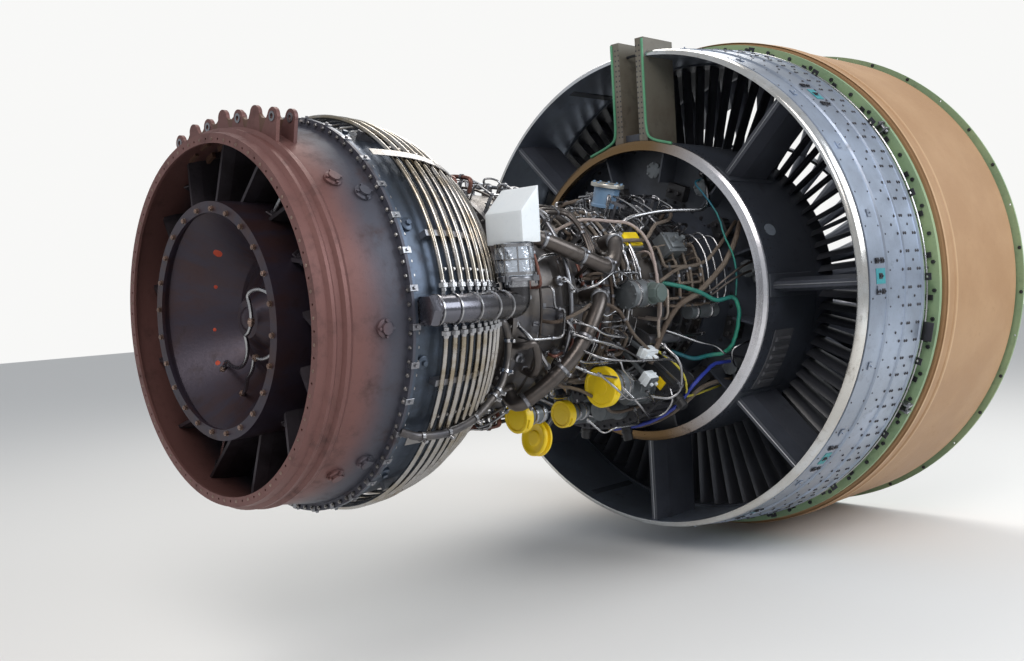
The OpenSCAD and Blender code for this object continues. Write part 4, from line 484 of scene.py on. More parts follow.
class Bench:
    """Modelling with Blender's operators, as by hand."""

    @staticmethod
    def pick(*pieces: Piece) -> None:
        """Selects these pieces and nothing else."""
        bpy.ops.object.select_all(action="DESELECT")
        for piece in pieces:
            piece.select_set(True)
        bpy.context.view_layer.objects.active = pieces[0]

    @staticmethod
    @contextmanager
    def editing(piece: Piece, mode: str = "VERT") -> Iterator[None]:
        """Edit mode on one piece with all of it selected.

        Args:
            piece: Piece to edit.
            mode: Kind of element that is selected.

        Yields:
            Nothing, while edit mode lasts.
        """
        Bench.pick(piece)
        bpy.ops.object.mode_set(mode="EDIT")
        bpy.ops.mesh.select_mode(type=mode)
        bpy.ops.mesh.select_all(action="SELECT")
        yield
        bpy.ops.object.mode_set(mode="OBJECT")

    @staticmethod
    def apply(piece: Piece) -> Piece:
        """Puts the place, turn and size of a piece into its mesh."""
        Bench.pick(piece)
        bpy.ops.object.transform_apply(location=True, rotation=True, scale=True)
        return piece

    @staticmethod
    def bevel(piece: Piece, width: float, steps: int = 2, angle: float = 40.0) -> Piece:
        """Rounds the sharp edges of a piece.

        Args:
            piece: Piece to round.
            width: Width of the bevel.
            steps: Segments of the bevel.
            angle: Least angle of an edge, in degrees, that is rounded.

        Returns:
            The same piece.
        """
        Bench.pick(piece)
        bevel = piece.modifiers.new("edges", "BEVEL")
        bevel.width = width
        bevel.segments = steps
        bevel.limit_method = "ANGLE"
        bevel.angle_limit = math.radians(angle)
        bpy.ops.object.modifier_apply(modifier=bevel.name)
        return piece

    @staticmethod
    def block(size: Sequence[float], at: Sequence[float] = (0.0, 0.0, 0.0), bevel: float = 0.0,
              steps: int = 2) -> Piece:
        """A block with rounded edges that stands on its foot.

        Args:
            size: Length, width and height.
            at: Middle of its foot.
            bevel: Width of the rounded edges.
            steps: Steps of the rounding.

        Returns:
            The block.
        """
        bpy.ops.object.select_all(action="DESELECT")
        bpy.ops.mesh.primitive_cube_add(size=1.0, location=(at[0], at[1], at[2] + size[2] / 2))
        piece = bpy.context.object
        piece.scale = size
        Bench.apply(piece)
        return Bench.bevel(piece, bevel, steps) if bevel else piece

    @staticmethod
    def rod(radius: float, height: float, sides: int = 24, foot: float = 0.0, bevel: float = 0.0,
            steps: int = 2) -> Piece:
        """A rod or a nut that stands along Z, with rounded edges.

        Args:
            radius: Radius to the corners.
            height: Length along Z.
            sides: Number of sides.
            foot: Height of its lower end.
            bevel: Width of the rounded edges, none at 0.
            steps: Segments of the rounded edges.

        Returns:
            The rod.
        """
        bpy.ops.object.select_all(action="DESELECT")
        bpy.ops.mesh.primitive_cylinder_add(vertices=sides, radius=radius, depth=height,
                                            location=(0.0, 0.0, foot + height / 2))
        piece = Bench.apply(bpy.context.object)
        return Bench.bevel(piece, bevel, steps, 70.0 if sides < 9 else 40.0) if bevel else piece

    @staticmethod
    def lathe(outline: Sequence[tuple[float, float]], steps: int = 32, ring: bool = False, start: float = 0.0,
              arc: float = 360.0) -> Piece:
        """Turns a closed outline round Z, or round the shaft line.

        Args:
            outline: Radius and height of each point, or radius and station for a ring.
            steps: Steps of the turn.
            ring: True for a ring round the shaft line.
            start: Place where the ring begins, in degrees from 12 o'clock.
            arc: Degrees that the ring covers.

        Returns:
            The turned piece.
        """
        bpy.ops.object.select_all(action="DESELECT")
        bpy.ops.mesh.primitive_circle_add(vertices=len(outline), radius=1.0)
        piece = bpy.context.object
        for vertex, (r, h) in zip(piece.data.vertices, outline):
            vertex.co = place(h, r, start) if ring else Vector((r, 0.0, h))
        with Bench.editing(piece):
            bpy.ops.mesh.spin(steps=steps, angle=-math.radians(arc), center=(0.0, 0.0, 0.0),
                              axis=(1.0, 0.0, 0.0) if ring else (0.0, 0.0, 1.0))
            bpy.ops.mesh.select_all(action="SELECT")
            bpy.ops.mesh.remove_doubles(threshold=0.00002)
            if arc < 360.0:
                bpy.ops.mesh.fill_holes(sides=len(outline))
                bpy.ops.mesh.select_all(action="SELECT")
            bpy.ops.mesh.delete_loose()
            bpy.ops.mesh.select_all(action="SELECT")
            bpy.ops.mesh.normals_make_consistent(inside=False)
        return piece

    @staticmethod
    def tubes(routes: Sequence[Points], radii: Sequence[float], steps: int = 2) -> Piece:
        """Round tubes along routes, with closed ends.

        Args:
            routes: Points of each tube.
            radii: Radius of each tube.
            steps: Roundness of the section.

        Returns:
            All tubes as one mesh.
        """
        bpy.ops.object.select_all(action="DESELECT")
        bpy.ops.curve.primitive_nurbs_path_add()
        curve = bpy.context.object
        curve.data.splines.clear()
        curve.data.dimensions = "3D"
        curve.data.bevel_depth = 1.0
        curve.data.bevel_resolution = steps
        curve.data.use_fill_caps = True
        for route, radius in zip(routes, radii):
            spline = curve.data.splines.new("POLY")
            spline.points.add(len(route) - 1)
            for point, where in zip(spline.points, route):
                point.co = (where.x, where.y, where.z, 1.0)
                point.radius = radius
        bpy.ops.object.convert(target="MESH")
        return bpy.context.object

    @staticmethod
    def join(pieces: Sequence[Piece]) -> Piece:
        """Joins pieces into one mesh."""
        Bench.pick(*pieces)
        if len(pieces) > 1:
            bpy.ops.object.join()
        return Bench.apply(bpy.context.view_layer.objects.active)

    @staticmethod
    def copies(model: Piece, seats: Sequence[Matrix]) -> Piece:
        """Copies a model to each seat, each copy with its own mesh, and joins them.

        Args:
            model: Piece that is copied and then removed.
            seats: Place of each copy.

        Returns:
            The joined copies.
        """
        made = []
        for where in seats:
            piece = model.copy()
            piece.data = model.data.copy()
            piece.matrix_world = where
            bpy.context.collection.objects.link(piece)
            made.append(piece)
        bpy.data.objects.remove(model)
        return Bench.join(made)

    @staticmethod
    def done(piece: Piece, name: str, finish: Finish, body: str = STATIC, smooth: float = 35.0,
             stands_for: Sequence[str] = ()) -> Piece:
        """Names, smooths, paints and hands over a finished piece.

        Args:
            piece: The piece in its place.
            name: Its name.
            finish: Its finish.
            body: Body that it rides on.
            smooth: Largest angle between faces that look smooth.
            stands_for: Solids that it replaces.

        Returns:
            The piece.
        """
        Bench.apply(piece)
        piece.name = name
        piece.data.name = name
        piece.data.materials.clear()
        piece.data.materials.append(finish.material())
        bpy.ops.object.shade_smooth_by_angle(angle=math.radians(smooth))
        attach(piece, body)
        if stands_for:
            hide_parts(*stands_for)
        LOG.info("%s: %d faces", name, len(piece.data.polygons))
        return piece


# Routes of tubes and harness

UNROLLED = 0.5


def bent(corners: Sequence[Vector], bend: float, steps: int = 4) -> list[Vector]:
    """Rounds the corners of a route.

    Args:
        corners: Corners of the route.
        bend: Length that each corner takes from the legs beside it.
        steps: Steps of each corner.

    Returns:
        Points of the rounded route.
    """
    points = [corners[0].copy()]
    for before, here, after in zip(corners, corners[1:], corners[2:]):
        to_before, to_after = before - here, after - here
        cut = min(bend, 0.48 * to_before.length, 0.48 * to_after.length)
        first, last = here + to_before.normalized() * cut, here + to_after.normalized() * cut
        for k in range(steps + 1):
            t = k / steps
            points.append(first * (1 - t) ** 2 + here * 2 * t * (1 - t) + last * t ** 2)
    points.append(corners[-1].copy())
    return points


def wound(stops: Sequence[tuple[float, float, float]], bend: float = 0.03, wave: float = 0.0,
          seed: int = 1) -> list[Vector]:
    """A route that keeps round the engine between stops.

    Args:
        stops: Station, radius and place of each stop.
        bend: Length that each corner takes from the legs beside it.
        wave: Height of the slack waves of a harness.
        seed: Seed of the waves.

    Returns:
        Points of the route.
    """
    flat = bent([Vector((x, math.radians(a) * UNROLLED, r)) for x, r, a in stops], bend)
    fine = [flat[0]]
    for before, here in zip(flat, flat[1:]):
        parts = max(1, math.ceil((here - before).length / 0.05))
        fine += [before.lerp(here, (k + 1) / parts) for k in range(parts)]
    draw = random.Random(seed)
    points = []
    for k, p in enumerate(fine):
        shift = Vector((draw.uniform(-wave, wave), 0.0,
                        draw.uniform(0.0, wave))) if 0 < k < len(fine) - 1 else Vector()
        p = p + shift
        points.append(place(p.x, p.z, math.degrees(p.y / UNROLLED)))
    return points


def along(points: Points, share: float) -> tuple[Vector, Vector]:
    """Point and direction at a share of a route's length.

    Args:
        points: Points of the route.
        share: Share of its length, from 0 to 1.

    Returns:
        The point and the unit direction there.
    """
    lengths = [(b - a).length for a, b in zip(points, points[1:])]
    left = share * sum(lengths)
    for a, b, length in zip(points, points[1:], lengths):
        if left <= length and length > 0.0:
            return a.lerp(b, left / length), (b - a).normalized()
        left -= length
    return points[-1].copy(), (points[-1] - points[-2]).normalized()


def aimed(where: Vector, direction: Vector, scale: float = 1.0, up: Vector | None = None) -> Matrix:
    """Matrix that puts a piece at a point with its +Z along a direction.

    Args:
        where: Place of its foot.
        direction: Direction of its +Z.
        scale: Size of the piece.
        up: Direction that its +X points to as far as it can.

    Returns:
        The matrix.
    """
    z = direction.normalized()
    if up is None:
        up = Vector((0.0, where.y, where.z))
    x = up - z * up.dot(z)
    x = x.normalized() if x.length > 1e-6 else z.orthogonal().normalized()
    y = z.cross(x)
    turn = Matrix((x, y, z)).transposed().to_4x4()
    return Matrix.Translation(where) @ turn @ Matrix.Scale(scale, 4)


# Rise of the combustor's bulge, as shares of its length and of its height
BULGE = ((0.0, 0.0), (0.1, 0.1), (0.24, 0.62), (0.34, 0.9), (0.46, 1.0), (0.86, 1.0), (0.94, 0.93),
         (1.0, 0.86))


def core_radius(x: float) -> float:
    """Outer radius of the core cases at a station.

    Args:
        x: Station along the shaft line.

    Returns:
        The radius from the shaft line.
    """
    if x > -2.45:
        return 0.392 - 0.03 * (-1.55 - x) / 0.9
    if x > -2.908:
        u = (-2.45 - x) / 0.458
        for (u0, v0), (u1, v1) in zip(BULGE, BULGE[1:]):
            if u <= u1:
                return 0.362 + 0.106 * (v0 + (v1 - v0) * (u - u0) / (u1 - u0))
    if x > -3.0:
        return 0.455
    if x > -3.604:
        return 0.452 + 0.256 * (1.0 - (1.0 - (-3.0 - x) / 0.604) ** 3)
    return 0.704 - 0.046 * (-3.604 - x) / 0.33


def hex_bolt(across: float, head: float, washer: bool = True, stud: float = 0.0) -> Piece:
    """A hexagon head with its washer and, on a nut, the end of its stud.

    Args:
        across: Width across the flats.
        head: Height of the head.
        washer: True where a washer lies under it.
        stud: Length of thread that stands out of the head.

    Returns:
        The bolt, with its seat at the origin.
    """
    parts = [Bench.rod(across / math.sqrt(3.0), head, 6, 0.0015 if washer else 0.0, across * 0.06, 1)]
    if washer:
        parts.append(Bench.lathe([(across * 0.2, 0.0), (across * 0.66, 0.0), (across * 0.66, 0.0012),
                                  (across * 0.2, 0.0012)], 14))
    if stud:
        parts.append(Bench.rod(across * 0.27, head + stud, 10, 0.0, across * 0.05, 1))
    return Bench.join(parts)


def tube_nut(radius: float) -> Piece:
    """A union at the end of a tube: sleeve, hexagon nut and neck along +Z.

    Args:
        radius: Radius of the tube.

    Returns:
        The union, with the tube's end at the origin.
    """
    sleeve = Bench.lathe([(radius * 0.5, -2.2 * radius), (radius * 1.25, -2.2 * radius),
                          (radius * 1.45, -1.2 * radius),
                          (radius * 1.45, 0.0), (radius * 0.5, 0.0)], 14)
    nut = Bench.rod(radius * 1.9, radius * 1.8, 6, -1.2 * radius, radius * 0.12, 1)
    neck = Bench.rod(radius * 1.3, radius * 1.6, 14, 0.4 * radius, radius * 0.1, 1)
    return Bench.join([sleeve, nut, neck])


def tube_clamp(radius: float, stand: float) -> Piece:
    """A loop clamp round a tube that runs along Z, on a post along -X.

    Args:
        radius: Radius of the tube.
        stand: Distance from the tube's middle down to the foot of the post.

    Returns:
        The clamp.
    """
    loop = Bench.lathe([(radius, -0.006), (radius + 0.0035, -0.006), (radius + 0.0035, 0.006),
                        (radius, 0.006)], 14)
    ear = Bench.block((0.02, 0.004, 0.012), (-radius - 0.01, 0.0, -0.006), 0.001, 1)
    screw = Bench.rod(0.0048, 0.012, 6, -0.006, 0.0006, 1)
    screw.rotation_euler = (math.pi / 2, 0.0, 0.0)
    screw.location = (-radius - 0.012, 0.0, 0.0)
    Bench.apply(screw)
    height = max(0.004, stand - radius - 0.016)
    post = Bench.block((height, 0.003, 0.016), (-radius - 0.016 - height / 2, -0.003, -0.008), 0.0008, 1)
    foot = Bench.block((0.003, 0.022, 0.018), (-stand + 0.0015, -0.008, -0.009), 0.0008, 1)
    return Bench.join([loop, ear, screw, post, foot])


@dataclass(frozen=True)
class Run:
    """One tube or harness: its radius, its stops and the shares of its length that clamps hold."""

    radius: float
    stops: tuple[tuple[float, float, float], ...]
    bend: float = 0.03
    clamps: tuple[float, ...] = (0.3, 0.7)
    ends: bool = True
    wave: float = 0.0


@dataclass
class Plumbing:
    """Lays runs of tube with unions at their ends and loop clamps down to the case."""

    name: str
    finish: Finish
    runs: Sequence[Run]
    steps: int = 2

    def build(self) -> None:
        """Builds the tubes, their unions and their clamps."""
        routes = [wound(run.stops, run.bend, run.wave, k + 3) for k, run in enumerate(self.runs)]
        Bench.done(Bench.tubes(routes, [run.radius for run in self.runs], self.steps), self.name,
                   self.finish, smooth=60)
        ends, clamps = [], {}
        for run, route in zip(self.runs, routes):
            if run.ends:
                ends.append(aimed(route[0], route[1] - route[0], run.radius / 0.01))
                ends.append(aimed(route[-1], route[-2] - route[-1], run.radius / 0.01))
            for share in run.clamps:
                where, direction = along(route, share)
                r = math.hypot(where.y, where.z)
                stand = round(max(r - core_radius(where.x), run.radius + 0.03), 2)
                clamps.setdefault((run.radius, stand), []).append(aimed(where, direction))
        if ends:
            flipped = [m @ Matrix.Rotation(math.pi, 4, "X") for m in ends]
            Bench.done(Bench.copies(tube_nut(0.01), flipped), self.name + "_unions", BRIGHT_TUBE)
        if clamps:
            made = [Bench.copies(tube_clamp(*size), seats) for size, seats in clamps.items()]
            Bench.done(Bench.join(made), self.name + "_clamps", BARE_ALUMINIUM)


# Fan case

REAR_CASE = ((-1.021, 1.267), (-1.033, 1.267), (-1.039, 1.2611), (-1.171, 1.2553), (-1.177, 1.2482),
             (-1.321, 1.24),
             (-1.327, 1.2318), (-1.458, 1.222), (-1.474, 1.22), (-1.503, 1.216), (-1.515, 1.208),
             (-1.519, 1.198))


def rear_case_radius(x: float) -> float:
    """Outer radius of the rear fan case at a station."""
    for (x0, r0), (x1, r1) in zip(REAR_CASE, REAR_CASE[1:]):
        if x >= x1:
            return r0 + (r1 - r0) * (x0 - x) / (x0 - x1)
    return REAR_CASE[-1][1]


@dataclass
class FrontFlange:
    """Fasteners of the green inlet flange."""

    circle: float = 1.333
    count: int = 36

    def build(self) -> None:
        """Builds the bolts behind the flange."""
        seats = [seat(-0.012, self.circle, (i + 0.5) * 360 / self.count, Facing.AFT)
                 for i in range(self.count) if i % 3 != 1]
        Bench.done(Bench.copies(hex_bolt(0.014, 0.008), seats), "inlet_flange_bolts", FASTENER)


@dataclass
class JointBand:
    """Crowded band between the belt and the rear case."""

    floor: float = 1.238
    middle: float = -0.975
    clusters: int = 40

    def cluster(self) -> Piece:
        """A folded plate with two nuts.

        Returns:
            The piece, with its seat at the origin.
        """
        base = Bench.block((0.05, 0.03, 0.004), bevel=0.001, steps=1)
        tab = Bench.block((0.004, 0.026, 0.036), (0.022, 0.0, 0.002), 0.001, 1)
        nuts = Bench.copies(hex_bolt(0.013, 0.009, stud=0.006),
                            [Matrix.Translation((-0.008, 0.0, 0.004)),
                             Matrix.Translation((0.01, 0.0, 0.004))])
        return Bench.join([base, tab, nuts])

    def lever(self) -> Piece:
        """A clevis with a cross pin, as on a hoist point.

        Returns:
            The piece, with its seat at the origin.
        """
        foot = Bench.block((0.06, 0.05, 0.008), bevel=0.002)
        cheek = Bench.block((0.04, 0.007, 0.06), (0.0, 0.018, 0.006), 0.003)
        other = Bench.block((0.04, 0.007, 0.06), (0.0, -0.018, 0.006), 0.003)
        pin = Bench.rod(0.008, 0.066, 16, -0.033, 0.001)
        pin.rotation_euler = (math.pi / 2, 0.0, 0.0)
        pin.location = (0.0, 0.0, 0.048)
        return Bench.join([foot, cheek, other, pin])

    def build(self) -> None:
        """Builds clusters, sense line, clips and the two large brackets."""
        seats = [seat(self.middle, self.floor, (i + 0.5) * 360 / self.clusters) for i in range(self.clusters)]
        Bench.done(Bench.copies(self.cluster(), seats), "joint_band_clips", FASTENER)
        bar = Bench.block((0.034, 0.012, 0.02), bevel=0.002, steps=1)
        Bench.done(Bench.copies(bar, [seat(self.middle + 0.004, self.floor,
                                           (i + 0.5) * 360 / self.clusters + 2.6)
                                           for i in range(self.clusters)]),
                   "joint_band_bars", BLACK_BARS_AND_GROOVE_SHADE)
        ridge = [(1.3195, -0.783), (1.3252, -0.787), (1.3262, -0.795), (1.3252, -0.804), (1.3195, -0.808)]
        Bench.done(Bench.lathe(ridge, 200, True), "belt_ridge", BELT_EDGE)
        hem = [(1.3195, -0.87), (1.3212, -0.872), (1.3212, -0.888), (1.3195, -0.889)]
        Bench.done(Bench.lathe(hem, 200, True), "belt_hem", BELT_EDGE)
        line = [(1.264 + 0.0045 * math.cos(t * math.pi / 4), -0.992 + 0.0045 * math.sin(t * math.pi / 4))
                for t in range(8)]
        Bench.done(Bench.lathe(line, 200, True, 14.0, 332.0), "joint_band_line", BRIGHT_TUBE)
        seats = [seat(-0.992, self.floor, 14.0 + i * 332.0 / 48) for i in range(49)]
        post = Bench.join([Bench.block((0.012, 0.004, 0.03), bevel=0.001, steps=1),
                           Bench.block((0.014, 0.016, 0.004), bevel=0.001, steps=1)])
        Bench.done(Bench.copies(post, seats), "joint_band_line_posts", GREEN_PRIMER)
        Bench.done(Bench.copies(self.lever(),
                                [seat(-0.96, self.floor + 0.002, a, turn=t)
                                 for a, t in ((118.8, 20.0), (56.0, 0.0), (248.0, 0.0), (298.0, 0.0))]),
                   "joint_band_clevises", BARE_ALUMINIUM)
        angle = Bench.join([Bench.block((0.06, 0.09, 0.006), bevel=0.002),
                            Bench.block((0.006, 0.09, 0.07), (-0.027, 0.0, 0.0), 0.002),
                            Bench.copies(hex_bolt(0.018, 0.012),
                                         [Matrix.Translation((0.008, y, 0.006)) for y in (-0.028, 0.028)])])
        Bench.done(Bench.copies(angle, [seat(-0.968, self.floor + 0.001, a) for a in (101.5, 200.0, 327.0)]),
                   "joint_band_angles", FASTENER)


@dataclass
class RearCase:
    """Rivet rows, patches and polished rim of the rear fan case."""

    rows: tuple[tuple[float, int, float], ...] = (
        (-1.054, 96, 1.0), (-1.074, 96, 1.0), (-1.108, 48, 0.9), (-1.142, 96, 1.0), (-1.16, 96, 1.0),
        (-1.198, 96, 1.0),
        (-1.24, 48, 0.9), (-1.306, 96, 0.6), (-1.338, 48, 0.6), (-1.44, 48, 0.6))

    def build(self) -> None:
        """Builds rivets, patches, rim and latch keepers."""
        rivet = Bench.lathe([(0.0, 0.005), (0.0052, 0.0042), (0.0074, 0.0), (0.0, 0.0)], 8)
        seats = []
        for x, count, scale in self.rows:
            for i in range(count):
                angle = (i + 0.5) * 360.0 / count
                if x > -1.285 or 6.0 < angle < 354.0:
                    seats.append(seat(x, rear_case_radius(x) - 0.0004, angle)
                                 @ Matrix.Diagonal((0.95 * scale, 1.1 * scale, scale, 1.0)))
        Bench.done(Bench.copies(rivet, seats), "rear_case_rivets", FASTENER, smooth=60)
        patches, plates = [], []
        for x0, x1, start, arc in ((-1.338, -1.41, 87.6, 3.2), (-1.205, -1.262, 43.0, 3.4),
                                   (-1.35, -1.4, 130.0, 3.4),
                                   (-1.345, -1.4, 155.0, 2.4), (-1.2, -1.25, 262.0, 3.0)):
            r0, r1 = rear_case_radius(x0), rear_case_radius(x1)
            patches.append(Bench.lathe([(r0, x0), (r0 + 0.0016, x0), (r1 + 0.0016, x1), (r1, x1)], 6, True,
                                       start, arc))
            xm, rm = (x0 + x1) / 2.0, rear_case_radius((x0 + x1) / 2.0)
            for da in (-1.6, arc + 1.6):
                plates += [seat(xm + dx, rm - 0.001, start + da) for dx in (-0.022, 0.022)]
            plates.append(seat(xm, rm - 0.001, start + arc / 2.0))
        Bench.done(Bench.join(patches), "rear_case_patches", TEAL)
        plate = Bench.join([Bench.block((0.03, 0.026, 0.004), bevel=0.001, steps=1),
                            Bench.copies(hex_bolt(0.01, 0.005, False),
                                         [Matrix.Translation((x, 0.0, 0.004)) for x in (-0.008, 0.008)])])
        Bench.done(Bench.copies(plate, plates), "rear_case_plates", FASTENER)
        # Painted shade: a black band laid in the latch groove in front of the rim, darkening the groove as
        # its shade would.
        groove = [(1.207, -1.4595), (1.2165, -1.46), (1.2165, -1.4722), (1.207, -1.4726)]
        Bench.done(Bench.lathe(groove, 220, True), "groove_painted_shade", BLACK_BARS_AND_GROOVE_SHADE)
        rim = [(1.2212, -1.4745), (1.217, -1.503), (1.209, -1.5155), (1.198, -1.5205), (1.19, -1.5205),
               (1.19, -1.5195),
               (1.1978, -1.519), (1.208, -1.515), (1.216, -1.5029), (1.2202, -1.4745)]
        Bench.done(Bench.lathe(rim, 220, True, 5.4, 349.2), "rear_case_rim", BRIGHT_RIM)
        keeper = Bench.join([Bench.block((0.03, 0.036, 0.006), bevel=0.001, steps=1),
                             Bench.rod(0.004, 0.01, 6, 0.004, 0.0005, 1)])
        Bench.done(Bench.copies(keeper, [seat(-1.392, rear_case_radius(-1.392) - 0.001, 12.0 + i * 16.0)
                                         for i in range(22)]),
                   "rear_case_keepers", CASE_ALUMINIUM)


# Bypass duct and fan frame

@dataclass
class BypassDuct:
    """Trim of the bypass duct between the case and the hub."""

    wall: float = 1.19
    hub: float = 0.765

    def build(self) -> None:
        """Builds wall splices, hub rivets, foot seals of the struts and the channel's edge seal."""
        splice = Bench.block((0.33, 0.04, 0.003), bevel=0.001, steps=1)
        down = Matrix.Rotation(math.pi, 4, "X")
        Bench.done(Bench.copies(splice, [seat(-1.295, self.wall - 0.0006, 22.5 + i * 45.0) @ down
                                         for i in range(8)]),
                   "duct_wall_splices", DUCT_GREY)
        rivet = Bench.lathe([(0.0, 0.0028), (0.0034, 0.002), (0.0052, 0.0), (0.0, 0.0)], 8)
        seats = [seat(x, self.hub - 0.0003, (i + 0.5) * 360.0 / 110) for x in (-1.512, -1.476)
                 for i in range(110)
                 if 9.0 < (i + 0.5) * 360.0 / 110 < 351.0]
        Bench.done(Bench.copies(rivet, seats), "hub_wall_rivets", FASTENER, smooth=60)
        pads = []
        for i in range(1, 8):
            pad = Bench.block((0.372, 0.11, 0.006), bevel=0.003, steps=1)
            pads += [Bench.copies(pad, [seat(-1.346, self.hub - 0.0016, i * 45.0)])]
        Bench.done(Bench.join(pads), "strut_foot_plates", DUCT_GREY)
        edges = [[place(-1.503, 0.77, i * 45.0), place(-1.503, 1.186, i * 45.0)] for i in range(1, 8)]
        Bench.done(Bench.tubes(edges, [0.0032] * len(edges), 1), "strut_edges", EDGE_STEEL, smooth=60)
        patch = Bench.lathe([(0.0, 0.0), (0.03, 0.0), (0.03, 0.002), (0.0, 0.0026)], 28)
        patch.scale = (1.5, 1.0, 1.0)
        Bench.apply(patch)
        Bench.done(Bench.copies(patch, [seat(-1.43, self.hub - 0.0004, 70.0)]), "hub_wall_patch", PATCH_GREY)
        edge = []
        for side in (-1.0, 1.0):
            corners = [Vector((-1.5335, side * 0.099, 1.272)), Vector((-1.5335, side * 0.099, 0.84)),
                       Vector((-1.5335, side * 0.108, 0.782)), place(-1.548, 0.77, -side * 12.0),
                       place(-1.548, 0.77, -side * 20.0)]
            edge.append(bent(corners, 0.04, 5))
        Bench.done(Bench.tubes(edge, [0.007, 0.007], 2), "channel_edge_seals", SEAL_GREEN)
        rivets = [Matrix.Translation((-1.5312, side * y, z)) @ Matrix.Rotation(math.radians(-90), 4, "Y")
                  for side in (-1, 1) for y in (0.058, 0.078) for z in [0.8 + 0.026 * k for k in range(18)]]
        rivet = Bench.lathe([(0.0, 0.0026), (0.003, 0.0018), (0.0046, 0.0), (0.0, 0.0)], 8)
        Bench.done(Bench.copies(rivet, rivets), "channel_rivets", FASTENER, smooth=60)


@dataclass
class HubBack:
    """Open back of the fan frame hub behind the bronze ring."""

    bulkhead: float = -1.3965

    def valve(self) -> Piece:
        """A valve body with a flanged cover and a plug connector.

        Returns:
            The piece, with its seat at the origin.
        """
        body = Bench.rod(0.034, 0.07, 20, 0.0, 0.006)
        cover = Bench.rod(0.042, 0.01, 20, 0.07, 0.002)
        plug = Bench.rod(0.012, 0.04, 12, 0.0, 0.002, 1)
        plug.rotation_euler = (math.pi / 2, 0.0, 0.0)
        plug.location = (0.0, -0.03, 0.04)
        screws = Bench.copies(hex_bolt(0.01, 0.006),
                              [Matrix.Rotation(k * math.pi / 3, 4, "Z")
                               @ Matrix.Translation((0.036, 0.0, 0.08)) for k in range(6)])
        return Bench.join([body, cover, plug, screws])

    def unit(self) -> Piece:
        """A box with ribs, a lid and two connectors.

        Returns:
            The piece, with its seat at the origin.
        """
        box = Bench.block((0.1, 0.07, 0.055), bevel=0.006)
        lid = Bench.block((0.108, 0.078, 0.008), (0.0, 0.0, 0.048), 0.002)
        ribs = Bench.copies(Bench.block((0.004, 0.08, 0.04), bevel=0.001, steps=1),
                            [Matrix.Translation((0.02 * k, 0.0, 0.004)) for k in (-2, -1, 0, 1, 2)])
        plugs = Bench.copies(Bench.rod(0.011, 0.03, 12, 0.0, 0.002, 1),
                             [Matrix.Translation((x, 0.0, 0.054)) for x in (-0.028, 0.028)])
        return Bench.join([box, lid, ribs, plugs])

    def build(self) -> None:
        """Builds bolts, valves and boxes inside the open back."""
        bolts = [seat(self.bulkhead, r, (i + 0.5) * 360 / n, Facing.AFT)
                 for r, n in ((0.735, 72), (0.47, 48)) for i in range(n)]
        Bench.done(Bench.copies(hex_bolt(0.014, 0.008), bolts), "hub_bulkhead_bolts", FASTENER)
        valves = [seat(self.bulkhead, 0.62, a, Facing.AFT, t)
                  for a, t in ((8.0, 0.0), (37.0, 60.0), (82.0, 10.0), (128.0, 40.0), (204.0, 90.0),
                               (262.0, 20.0), (322.0, 70.0))]
        Bench.done(Bench.copies(self.valve(), valves), "hub_valves", GREY_ACCESSORY)
        units = [seat(self.bulkhead, 0.53, a, Facing.AFT, t)
                 for a, t in ((22.0, 90.0), (58.0, 80.0), (112.0, 95.0), (147.0, 90.0), (218.0, 85.0),
                              (246.0, 90.0), (281.0, 90.0), (340.0, 88.0))]
        Bench.done(Bench.copies(self.unit(), units), "hub_boxes", DARK_UNIT)


# Core

